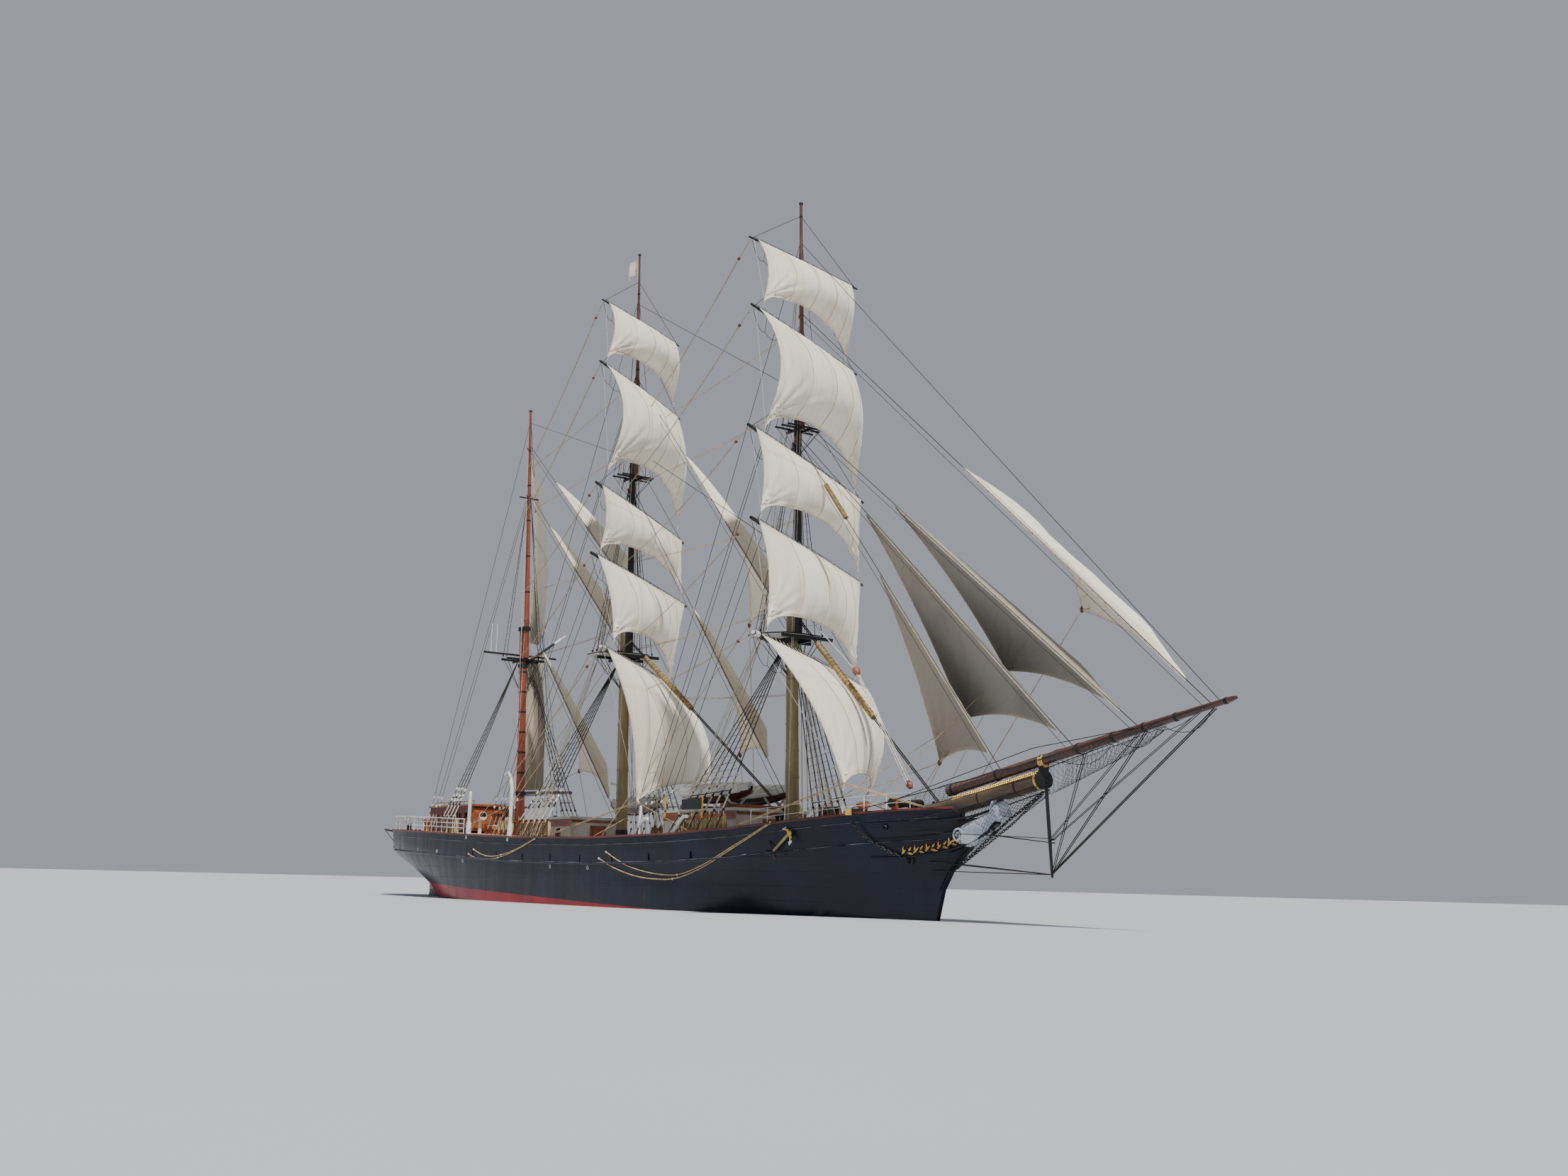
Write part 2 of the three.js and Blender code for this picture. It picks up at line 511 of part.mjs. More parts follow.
function squareSail(yard, below) {
  const cutOf = SQUARE_SAILS[yard.name];
  const own = yardFrame(yard);
  const reach = yard.long / 2 - cutOf.bare;
  const drop = new THREE.Vector3(0, 0, yard.r * 0.2);
  const lead = yard.r * Math.cos(Math.PI / YARD_SIDES) + cutOf.thick / 2 + SEAT;
  const headAt = (side) => own.centre.clone().addScaledVector(own.ahead, lead)
    .addScaledVector(own.along, side * reach).add(drop);
  let clewAt;
  if (below) {
    const low = yardFrame(below);
    clewAt = (side) => low.centre.clone().addScaledVector(low.ahead, 30)
      .addScaledVector(low.along, side * cutOf.clew[0]).add(new THREE.Vector3(0, 0, cutOf.clew[1]));
  } else {
    const clews = COURSE_CLEWS[yard.mast];
    clewAt = (side) => new THREE.Vector3(...(side > 0 ? clews.starboard : clews.port));
  }
  const [hp, hs, cp, cs] = [headAt(-1), headAt(1), clewAt(-1), clewAt(1)];
  const points = [];
  for (let i = 0; i <= SAIL_ROWS; i++) {
    const v = i / SAIL_ROWS;
    const row = [];
    for (let j = 0; j <= SAIL_COLS; j++) {
      const u = j / SAIL_COLS;
      const head = hp.clone().lerp(hs, u);
      const foot = cp.clone().lerp(cs, u);
      const p = head.lerp(foot, v);
      const across = Math.sin(Math.PI * u);
      const down = Math.sin(Math.PI * 0.82 * v) ** 1.1;
      p.addScaledVector(own.ahead, cutOf.belly * (0.15 + 0.85 * across) * down);
      p.z += cutOf.arch * (hp.z - cp.z) * across * v * v;
      row.push(p);
    }
    points.push(row);
  }
  return sheet(points, cutOf.thick, own.ahead);
}

for (const mast of ['fore', 'main']) {
  const set = YARDS.filter((yard) => yard.mast === mast);
  set.forEach((yard, i) => {
    addNode(`${mast}_${yard.name}_yard`, yardSolid(yard), 'black_paint');
    addNode(`${mast}_${yard.name}_sail`, squareSail(yard, set[i + 1]), 'canvas');
  });
}

// Sails on stays

function staySail(stay) {
  const from = new THREE.Vector3(...mastAxis(...stay.at));
  const to = new THREE.Vector3(stay.to[0], 0, stay.to[1]);
  const rod = spar(asArray(from), asArray(to), STAY_R, STAY_R, ROD_SIDES);
  const head = from.clone().lerp(to, stay.head);
  const tack = from.clone().lerp(to, stay.tack);
  const clew = new THREE.Vector3(...stay.clew);
  const normal = tack.clone().sub(head).cross(clew.clone().sub(head)).normalize();
  if (normal.y < 0) normal.negate();
  const points = [];
  for (let i = 0; i <= SAIL_ROWS; i++) {
    const t = i / SAIL_ROWS * 0.985;
    const luff = tack.clone().lerp(head, t);
    const leech = clew.clone().lerp(head, t);
    const row = [];
    for (let j = 0; j <= 4; j++) {
      const w = j / 4;
      const p = luff.clone().lerp(leech, w);
      p.addScaledVector(normal, stay.belly * Math.sin(Math.PI * w ** 0.7) * (1 - t) ** 0.8);
      row.push(p);
    }
    points.push(row);
  }
  return joined([rod, sheet(points, 16, normal)]);
}

const headRig = [jibboomSolid(SEAT), bowspritSolid(SEAT)];
for (const stay of STAYSAILS) {
  addNode(stay.name, cut(staySail(stay), [...mastCutters, ...headRig]), 'canvas');
}

for (const stay of LOWER_STAYS) {
  const rod = spar(mastAxis(...stay.at), [stay.to[0], 0, stay.to[1]], STAY_R * 1.3, STAY_R * 1.3, ROD_SIDES);
  addNode(stay.name, cut(rod, [...mastCutters, ...headRig]), 'rigging');
}

// Shrouds
for (const [mast, gang] of Object.entries(SHROUDS)) {
  for (const [name, side] of [['starboard', -1], ['port', 1]]) {
    const [xTop] = mastAxis(mast, 'lower', gang.z);
    const topR = mastRadius(mast, 'lower', gang.z);
    const rods = gang.feet.map((x, i) => spar(
      [xTop + gang.fwd - i * gang.aftStep, side * topR * 0.5, gang.z - i * 4],
      [x, side * (railHalfAt(x) - 60), sheerAt(x) + CHANNEL.high / 2 + SEAT], SHROUD_R, SHROUD_R, ROD_SIDES));
    const ends = [gang.feet[0] + CHANNEL.margin, gang.feet[gang.feet.length - 1] - CHANNEL.margin];
    const rings = ends.map((x) => {
      const y = side * (railHalfAt(x) - 60);
      const z = sheerAt(x) + SEAT + 6;
      return [[x, y - CHANNEL.wide / 2, z], [x, y + CHANNEL.wide / 2, z], [x, y + CHANNEL.wide / 2, z + CHANNEL.high], [x, y - CHANNEL.wide / 2, z + CHANNEL.high]];
    });
    addNode(`${mast}_shrouds_${name}`, cut(joined([...rods, loft(rings)]), mastCutters), 'rigging');
  }
}

// Spanker
function swung(r, z) {
  const [x] = mastAxis('mizzen', 'lower', z);
  const a = SPANKER.swing * RAD;
  return [x - r * Math.cos(a), r * Math.sin(a), z];
}

function boomSolid(part) {
  const [x] = mastAxis('mizzen', 'lower', part.z);
  const m = MASTS.mizzen;
  const up = new THREE.Vector3(-m.rake, 0, 1).normalize();
  const axis = new THREE.Vector3(x, 0, part.z);
  const mastR = mastRadius('mizzen', 'lower', part.z - COLLAR.height / 2);
  const inner = (mastR + RUNNING) / Math.cos(Math.PI / MAST_SIDES);
  const at = (k) => asArray(axis.clone().addScaledVector(up, k));
  const ring = spar(at(-COLLAR.height / 2), at(COLLAR.height / 2), inner + COLLAR.thick, inner + COLLAR.thick);
  const hole = spar(at(-COLLAR.height * 4), at(COLLAR.height * 4), inner, inner, MAST_SIDES, HALF_FACET);
  const end = swung(part.long, part.z + part.rise);
  return cut(joined([spar(asArray(axis), end, part.r, part.r * 0.6, 10), ring]), [hole]);
}
addNode('spanker_boom', boomSolid(SPANKER.boom), 'varnish');
addNode('spanker_gaff', boomSolid(SPANKER.gaff), 'varnish');

const swingNormal = new THREE.Vector3(Math.sin(SPANKER.swing * RAD), Math.cos(SPANKER.swing * RAD), 0);
function between(a, b, t) {
  return new THREE.Vector3(...a).lerp(new THREE.Vector3(...b), t);
}

function fourCornered(tack, clew, peak, throat, belly) {
  const points = [];
  for (let i = 0; i <= SAIL_ROWS; i++) {
    const t = i / SAIL_ROWS;
    const row = [];
    for (let j = 0; j <= 5; j++) {
      const w = j / 5;
      const p = between(tack, throat, t).lerp(between(clew, peak, t), w);
      p.addScaledVector(swingNormal, belly * Math.sin(Math.PI * w) * Math.sin(Math.PI * (0.15 + 0.85 * t)));
      row.push(p);
    }
    points.push(row);
  }
  return sheet(points, 16, swingNormal);
}
const { boom, gaff, topsail } = SPANKER;
const alongGaff = (r) => swung(r, gaff.z + gaff.rise * r / gaff.long);
const gaffSpace = spar(alongGaff(0), alongGaff(gaff.long + 100), gaff.r + SEAT, gaff.r * 0.6 + SEAT, YARD_SIDES);
addNode('spanker', cut(fourCornered(
  swung(190, boom.z + 110), swung(3650, boom.z + 330), alongGaff(2950), alongGaff(190), 150), [gaffSpace]), 'shaded_canvas');
addNode('gaff_topsail', cut(fourCornered(
  swung(topsail.out, topsail.tack), alongGaff(3150), swung(topsail.out + 60, topsail.head), swung(topsail.out, topsail.head), 110), [gaffSpace]), 'shaded_canvas');

// Deckhouses: hollow, with windows cut in their sides
for (const house of HOUSES) {
  const [x0, x1] = house.x;
  const deck = seatOn(x0, x1);
  const top = deck + house.high;
  const parts = [box([x0, -house.half, deck], [x1, house.half, top])];
  parts.push(box([x0 - 60, -house.half - 70, top], [x1 + 60, house.half + 70, top + house.roof]));
  const cuts = [box([x0 + WALL, -house.half + WALL, deck - 10], [x1 - WALL, house.half - WALL, top - WALL])];
  const count = Math.floor((x1 - x0 - 400) / WINDOW.pitch);
  const start = (x0 + x1) / 2 - (count - 1) * WINDOW.pitch / 2;
  for (let i = 0; i < count; i++) {
    const x = start + i * WINDOW.pitch;
    const z = deck + house.high * 0.55;
    cuts.push(box([x - WINDOW.wide / 2, -house.half - 20, z], [x + WINDOW.wide / 2, house.half + 20, z + WINDOW.high]));
  }
  addNode(house.name, cut(joined(parts), cuts), house.name === 'poop_deckhouse' ? 'teak' : 'white_paint');
}

// Boats on skids over the fore deckhouse
{
  const house = HOUSES[0];
  const base = seatOn(...house.x) + house.high + house.roof + SEAT;
  const mid = (house.x[0] + house.x[1]) / 2;
  const skids = [-0.28, 0.28].map((k) => box([mid + k * BOATS.long - 50, -BOATS.spread - 200, base], [mid + k * BOATS.long + 50, BOATS.spread + 200, base + 150]));
  const hulls = [-1, 1].map((side) => {
    const sections = [0.02, 0.2, 0.5, 0.8, 0.98];
    const rings = sections.map((u) => {
      const x = mid + (u - 0.5) * BOATS.long;
      const half = BOATS.half * Math.sin(Math.PI * u) ** 0.5;
      const keel = base + 100 + 60 * (2 * u - 1) ** 2;
      const y = side * BOATS.spread;
      return [
        [x, y - half * 0.3, keel], [x, y + half * 0.3, keel], [x, y + half * 0.85, keel + BOATS.deep * 0.45],
        [x, y + half, keel + BOATS.deep], [x, y, keel + BOATS.deep + BOATS.over], [x, y - half, keel + BOATS.deep],
        [x, y - half * 0.85, keel + BOATS.deep * 0.45],
      ];
    });
    return loft(rings);
  });
  addNode('boats', joined([...skids, ...hulls]), 'white_paint');
}

// Rudder and steering wheel
addNode('rudder', joined([
  box([RUDDER.x - RUDDER.chord, -RUDDER.thick / 2, RUDDER.foot], [RUDDER.x - 20, RUDDER.thick / 2, RUDDER.top - 300]),
  spar([RUDDER.x - 60, 0, RUDDER.foot], [RUDDER.x - 60, 0, RUDDER.top], RUDDER.stock, RUDDER.stock, 12),
]), 'iron');

const wheelHub = [WHEEL.x, 0, deckAt(WHEEL.x) + WHEEL.high];
{
  const [x, , z] = wheelHub;
  const profile = [];
  for (let i = 0; i <= 6; i++) {
    const a = i / 6 * 2 * Math.PI;
    profile.push(new THREE.Vector2(WHEEL.r + WHEEL.rim * Math.cos(a), WHEEL.rim * Math.sin(a)));
  }
  const rim = new THREE.LatheGeometry(profile, 20);
  rim.rotateZ(Math.PI / 2);
  rim.translate(x, 0, z);
  let rimSolid = solidOf(rim);
  const parts = [rimSolid, spar([x - 60, 0, z], [x + 60, 0, z], 60, 60, 12)];
  for (let i = 0; i < WHEEL.spokes; i++) {
    const a = i / WHEEL.spokes * 2 * Math.PI;
    parts.push(spar([x, 0, z], [x, (WHEEL.r + 90) * Math.cos(a), z + (WHEEL.r + 90) * Math.sin(a)], 14, 14, 6));
  }
  addNode('steering_wheel', joined(parts), 'varnish');
  addNode('wheel_box', cut(joined([
    box([x - 760, -230, seatOn(x - 760, x - 160)], [x - 160, 230, z + 120]),
    spar([x - 200, 0, z], [x - 60 - SEAT, 0, z], 30, 30, 10),
  ]), []), 'teak');
}

export default group;
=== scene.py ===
"""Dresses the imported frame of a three-masted barque: hull plating, spars, sails, rigging and deck fittings.

Metres in the frame of the CAD model: X to the bow, Y to port, Z up, the waterline at Z = 0.
"""
import json
from math import cos, exp, pi, radians, sin

import bmesh
import bpy
import numpy as np
from mathutils import Euler, Matrix, Vector

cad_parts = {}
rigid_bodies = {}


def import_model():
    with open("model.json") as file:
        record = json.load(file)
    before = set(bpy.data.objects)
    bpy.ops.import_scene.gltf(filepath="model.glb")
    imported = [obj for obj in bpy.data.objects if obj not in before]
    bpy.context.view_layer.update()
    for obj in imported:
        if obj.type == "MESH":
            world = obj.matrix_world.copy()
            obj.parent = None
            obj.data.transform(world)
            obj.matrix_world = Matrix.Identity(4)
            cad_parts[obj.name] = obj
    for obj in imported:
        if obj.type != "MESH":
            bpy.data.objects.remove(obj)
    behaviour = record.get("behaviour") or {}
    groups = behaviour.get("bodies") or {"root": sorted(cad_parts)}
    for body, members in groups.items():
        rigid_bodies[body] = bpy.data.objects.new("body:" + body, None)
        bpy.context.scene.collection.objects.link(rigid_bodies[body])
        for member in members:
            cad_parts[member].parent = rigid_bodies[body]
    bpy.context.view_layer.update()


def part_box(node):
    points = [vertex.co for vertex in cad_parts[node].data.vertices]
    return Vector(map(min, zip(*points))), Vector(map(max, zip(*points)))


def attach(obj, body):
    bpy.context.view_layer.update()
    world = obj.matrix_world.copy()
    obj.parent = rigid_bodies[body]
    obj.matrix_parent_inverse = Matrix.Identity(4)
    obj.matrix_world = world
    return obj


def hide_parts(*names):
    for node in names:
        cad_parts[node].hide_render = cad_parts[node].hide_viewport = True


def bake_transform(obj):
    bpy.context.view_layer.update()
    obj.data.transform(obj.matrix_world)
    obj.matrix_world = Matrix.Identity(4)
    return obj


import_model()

bl_info = {
    "name": "Barque under sail",
    "version": (1, 0, 0),
    "blender": (4, 5, 0),
    "location": "View3D > Sidebar > Barque",
    "description": "Builds the hull, spars, sails and rigging of a three-masted barque",
    "category": "Object",
}

SHIP = "ship"
SPANKER_BODY = "spanker_gear"
SIDES = (("starboard", -1), ("port", 1))


def vec(x, y, z):
    """A vector from its three parts."""
    return Vector((x, y, z))


UP = vec(0, 0, 1)

# Masts: foot on deck, rake as run over rise; for each spar its step forward, heel, top and radii
MASTS = {
    "fore": {"x": 7.995, "foot": 1.3, "rake": 0.0431, "lower": (0, 1.24, 8.15, 0.165, 0.125),
             "upper": (0.245, 6.45, 12.2, 0.105, 0.08), "pole": (0.43, 11.42, 17.29, 0.072, 0.034)},
    "main": {"x": 0.036, "foot": 1.3, "rake": 0.0448, "lower": (0, 1.09, 8.5, 0.165, 0.125),
             "upper": (0.245, 6.8, 12.52, 0.105, 0.08), "pole": (0.43, 11.75, 18.475, 0.072, 0.026)},
    "mizzen": {"x": -6.17, "foot": 1.86, "rake": 0.0735, "lower": (0, 1.86, 8.25, 0.14, 0.11),
               "upper": (0.21, 7.3, 15.3, 0.088, 0.034)},
}
# Height where the two lengths of the mizzen topmast meet, and the gap between a mast and the band round it
MIZZEN_HOUNDS = 10.6
BAND_GAP = 0.01255
# Yards: mast, name, spar it rides on, height, length, distance ahead of the mast, brace angle, radius
YARDS = [
    ("fore", "royal", "pole", 15.665, 4.25, 0.125, 15.6, 0.042),
    ("fore", "topgallant", "pole", 13.65, 5.7, 0.15, 27.5, 0.056),
    ("fore", "upper_topsail", "upper", 10.505, 7.7, 0.337, 33.1, 0.074),
    ("fore", "lower_topsail", "upper", 8.35, 8.2, 0.354, 35.3, 0.08),
    ("fore", "course", "lower", 5.72, 10.3, 0.62, 38.8, 0.112),
    ("main", "royal", "pole", 16.35, 4.25, 0.125, 28.8, 0.042),
    ("main", "topgallant", "pole", 14.305, 5.7, 0.15, 36.6, 0.056),
    ("main", "upper_topsail", "upper", 10.71, 7.7, 0.335, 41.4, 0.074),
    ("main", "lower_topsail", "upper", 8.795, 8.2, 0.354, 41.2, 0.08),
    ("main", "course", "lower", 6.265, 10.3, 0.58, 47.5, 0.112),
]
# Square sails: bare yard at each end, how far the starboard and port leeches swing forward,
# depth of the belly, rise of the foot as a share of the drop, rows of reef points
SQUARE_CUTS = {
    "royal": (0.3, (0.16, 0.22), 0.4, 0.22, 0),
    "topgallant": (0.34, (0.42, 0.3), 0.52, 0.22, 0),
    "upper_topsail": (0.34, (0.08, 0.02), 0.42, 0.29, 1),
    "lower_topsail": (0.36, (0.08, 0.04), 0.46, 0.25, 0),
    "course": (0.42, (0.2, 0.42), 0.5, 0.13, 1),
}
# Clews of the courses, starboard (1) and port (-1)
COURSE_CLEWS = {
    "fore": {1: (11.85, -1.5, 2.74), -1: (7.7, 2.35, 2.65)},
    "main": {1: (3.7, -1.7, 2.55), -1: (0.45, 2.45, 2.9)},
}
# Sails on stays: node, where the stay starts, its foot, head and tack as shares of it, clew, belly,
# how far the leech falls off to port
STAYSAILS = [
    ("flying_jib", ("fore", "pole", 14.4), (20.3, 3.862), 0.47, 0.955, (16.2, 1.05, 6.15), 0.4, 0.45),
    ("outer_jib", ("fore", "pole", 11.68), (18.65, 3.56), 0.33, 0.955, (14.15, 0.9, 5.11), 0.42, 0.05),
    ("inner_jib", ("fore", "upper", 11.34), (17.05, 3.268), 0.29, 0.955, (12.85, 0.9, 4.19), 0.26, 0.0),
    ("fore_topmast_staysail", ("fore", "upper", 11.25), (15.05, 2.902), 0.45, 0.95, (12.15, 0.85, 3.3), 0.2, 0.0),
    ("main_topgallant_staysail", ("main", "pole", 14.7), (7.7, 6.65), 0.34, 0.92, (4.6, 0.9, 7.15), 0.72, 0.5),
    ("main_topmast_staysail", ("main", "upper", 11.56), (7.9, 2.42), 0.42, 0.869, (4.2, 1.0, 3.86), 0.5, 0.3),
    ("mizzen_topgallant_staysail", ("mizzen", "upper", 14.15), (-0.25, 8.75), 0.28, 0.9, (-1.65, 0.62, 8.7),
     0.62, 0.5),
    ("mizzen_topmast_staysail", ("mizzen", "upper", 12.6), (-0.24, 6.89), 0.23, 0.89, (-1.75, 0.65, 7.08), 0.5, 0.4),
    ("mizzen_staysail", ("mizzen", "upper", 8.6), (-0.02, 2.1), 0.18, 0.88, (-4.35, 0.95, 3.8), 0.5, 0.3),
]
# Headsails in the grey canvas: partly older cloth, partly painted shade of their starboard faces
WORN_AND_SHADED_SAILS = ("outer_jib", "inner_jib", "fore_topmast_staysail")
# Hull: levels with where each ends aft and forward, and half-breadths in millimetres at the stations
STATIONS = [0, 0.02, 0.06, 0.12, 0.2, 0.32, 0.45, 0.6, 0.72, 0.8, 0.87, 0.93, 0.97, 1]
HULL_LEVELS = [
    (-1.875, -12.2, 11.15, [60, 60, 60, 60, 60, 60, 60, 60, 60, 60, 60, 60, 60, 50]),
    (-1.75, -12.2, 11.7, [60, 62, 75, 125, 350, 1150, 1600, 1500, 900, 450, 200, 80, 60, 50]),
    (-1.4, -12.2, 12.35, [60, 75, 125, 300, 850, 1750, 2075, 2000, 1450, 900, 450, 175, 75, 50]),
    (-0.75, -12.2, 12.85, [60, 100, 250, 700, 1500, 2175, 2325, 2275, 1875, 1350, 825, 375, 150, 50]),
    (0, -12.2, 13.125, [60, 175, 500, 1200, 1900, 2300, 2380, 2350, 2075, 1625, 1100, 575, 225, 50]),
    (0.4, -12.26, 13.25, [60, 280, 740, 1450, 2020, 2325, 2385, 2365, 2120, 1710, 1200, 660, 270, 50]),
    (0.8, -13.0, 13.375, [60, 420, 960, 1650, 2100, 2340, 2390, 2370, 2150, 1775, 1300, 750, 325, 50]),
]
KNUCKLE_HALF = [80, 720, 1425, 1900, 2190, 2350, 2390, 2375, 2200, 1900, 1475, 925, 450, 60]
RAIL_HALF = [80, 750, 1450, 1925, 2200, 2350, 2390, 2375, 2225, 1950, 1550, 1025, 550, 75]
SHEER = [2.125, 2.09, 2.06, 2.01, 1.94, 1.815, 1.7, 1.66, 1.715, 1.825, 1.99, 2.14, 2.21, 2.25]
# Depth of the knuckle below the rail, ends of the knuckle and of the rail, the open waist, its bulwarks
SHEER_DROP = 0.62
KNUCKLE_ENDS = (-14.0, 13.7)
RAIL_ENDS = (-14.2, 13.9)
WAIST = (-5.0, 8.75)
BULWARK = 0.625
BULWARK_THICK = 0.06

# Sails: width of the hem, share of the drop at the reef band
HEM = 0.09
REEF = 0.24

# Drop of a yard's footropes and rise of its lifts
FOOTROPES_AND_LIFTS = {
    "royal": (0.38, 1.25), "topgallant": (0.38, 1.9), "upper_topsail": (0.48, 1.75), "lower_topsail": (0.48, 0),
    "course": (0.48, 2.4),
}


# Node trees


class Link:
    """A socket in a node tree. Sums and products of links add Math nodes."""

    def __init__(self, tree, socket):
        self.tree, self.socket = tree, socket

    def math(self, operation, other=None, swap=False):
        """The link put through one Math node."""
        terms = [t for t in (self, other) if t is not None]
        if swap:
            terms.reverse()
        return self.tree.node("ShaderNodeMath", {"operation": operation}, dict(enumerate(terms)))

    def __add__(self, other):
        return self.math("ADD", other)

    def __sub__(self, other):
        return self.math("SUBTRACT", other)

    def __rsub__(self, other):
        return self.math("SUBTRACT", other, swap=True)

    def __mul__(self, other):
        return self.math("MULTIPLY", other)

    def __truediv__(self, other):
        return self.math("DIVIDE", other)

    __radd__ = __add__
    __rmul__ = __mul__

    def between(self, low, high):
        """0 below low, 1 above high, smooth in between."""
        return self.tree.node("ShaderNodeMapRange", {"interpolation_type": "SMOOTHSTEP"},
                              {"Value": self, "From Min": low, "From Max": high})

    def near(self, spacing, width):
        """1 on lines a spacing apart, 0 further than width from them."""
        part = (self / spacing).math("FRACT")
        return 1 - (1 - (part - 0.5).math("ABSOLUTE") * 2).between(0, 2 * width / spacing)


class Tree:
    """Adds nodes to a node tree: a type, its settings, and the values or links of its sockets."""

    def __init__(self, node_tree):
        self.nodes, self.links = node_tree.nodes, node_tree.links

    def node(self, kind, settings=None, inputs=None, out=0):
        """One node; returns the link of its output."""
        made = self.nodes.new(kind)
        for name, value in (settings or {}).items():
            setattr(made, name, value)
        for key, value in (inputs or {}).items():
            if isinstance(value, Link):
                self.links.new(value.socket, made.inputs[key])
            else:
                made.inputs[key].default_value = value
        return Link(self, made.outputs[out])


class Finish(Tree):
    """A procedural material."""

    def __init__(self, name, **constants):
        self.material = bpy.data.materials.new(name)
        self.material.use_nodes = True
        super().__init__(self.material.node_tree)
        self.shader = self.nodes["Principled BSDF"]
        for socket, value in constants.items():
            self.shader.inputs[socket.replace("_", " ")].default_value = value
        self.place = self.node("ShaderNodeTexCoord", out="Object")
        FINISHES[name] = self.material

    def axes(self, link):
        """The three parts of a vector."""
        first = self.node("ShaderNodeSeparateXYZ", inputs={0: link})
        return [Link(self, socket) for socket in first.socket.node.outputs]

    def noise(self, scale, detail=3, where=None, stretch=None):
        """Noise from 0 to 1, finer as scale grows, stretched by a vector."""
        where = where or self.place
        if stretch:
            where = self.node("ShaderNodeVectorMath", {"operation": "MULTIPLY"}, {0: where, 1: stretch})
        return self.node("ShaderNodeTexNoise", inputs={"Vector": where, "Scale": scale, "Detail": detail})

    def mix(self, share, first, second):
        """A colour between two others."""
        return self.node("ShaderNodeMix", {"data_type": "RGBA"}, {0: share, 6: first, 7: second}, out=2)

    def bump(self, height, distance, strength=1.0):
        """A normal from heights."""
        return self.node("ShaderNodeBump", inputs={
            "Height": height, "Distance": distance, "Strength": strength})

    def feed(self, **varying):
        """Links what changes over the surface to the shader."""
        for socket, link in varying.items():
            self.links.new(link.socket, self.shader.inputs[socket.replace("_", " ")])


FINISHES = {}


def rgb(red, green, blue):
    """A colour from 0 to 255 parts as the eye sees them, made linear."""
    return (*(((c / 255 + 0.055) / 1.055) ** 2.4 if c > 10 else c / 3294 for c in (red, green, blue)), 1.0)


def painted(name, light, dark, rough=0.5, scale=1.5, metal=0.0, relief=0.002, stretch=None, coat=0.0):
    """A paint or varnish with broad patches, fine grain and a little relief."""
    f = Finish(name, Metallic=metal, Coat_Weight=coat)
    broad = f.noise(scale, 4, stretch=stretch)
    fine = f.noise(scale * 11, 4, stretch=stretch)
    f.feed(
        Base_Color=f.mix((broad * 0.7 + fine * 0.3).between(0.36, 0.66), dark, light),
        Roughness=fine * 0.24 + (rough - 0.12),
        Normal=f.bump(fine, relief),
    )
    return f


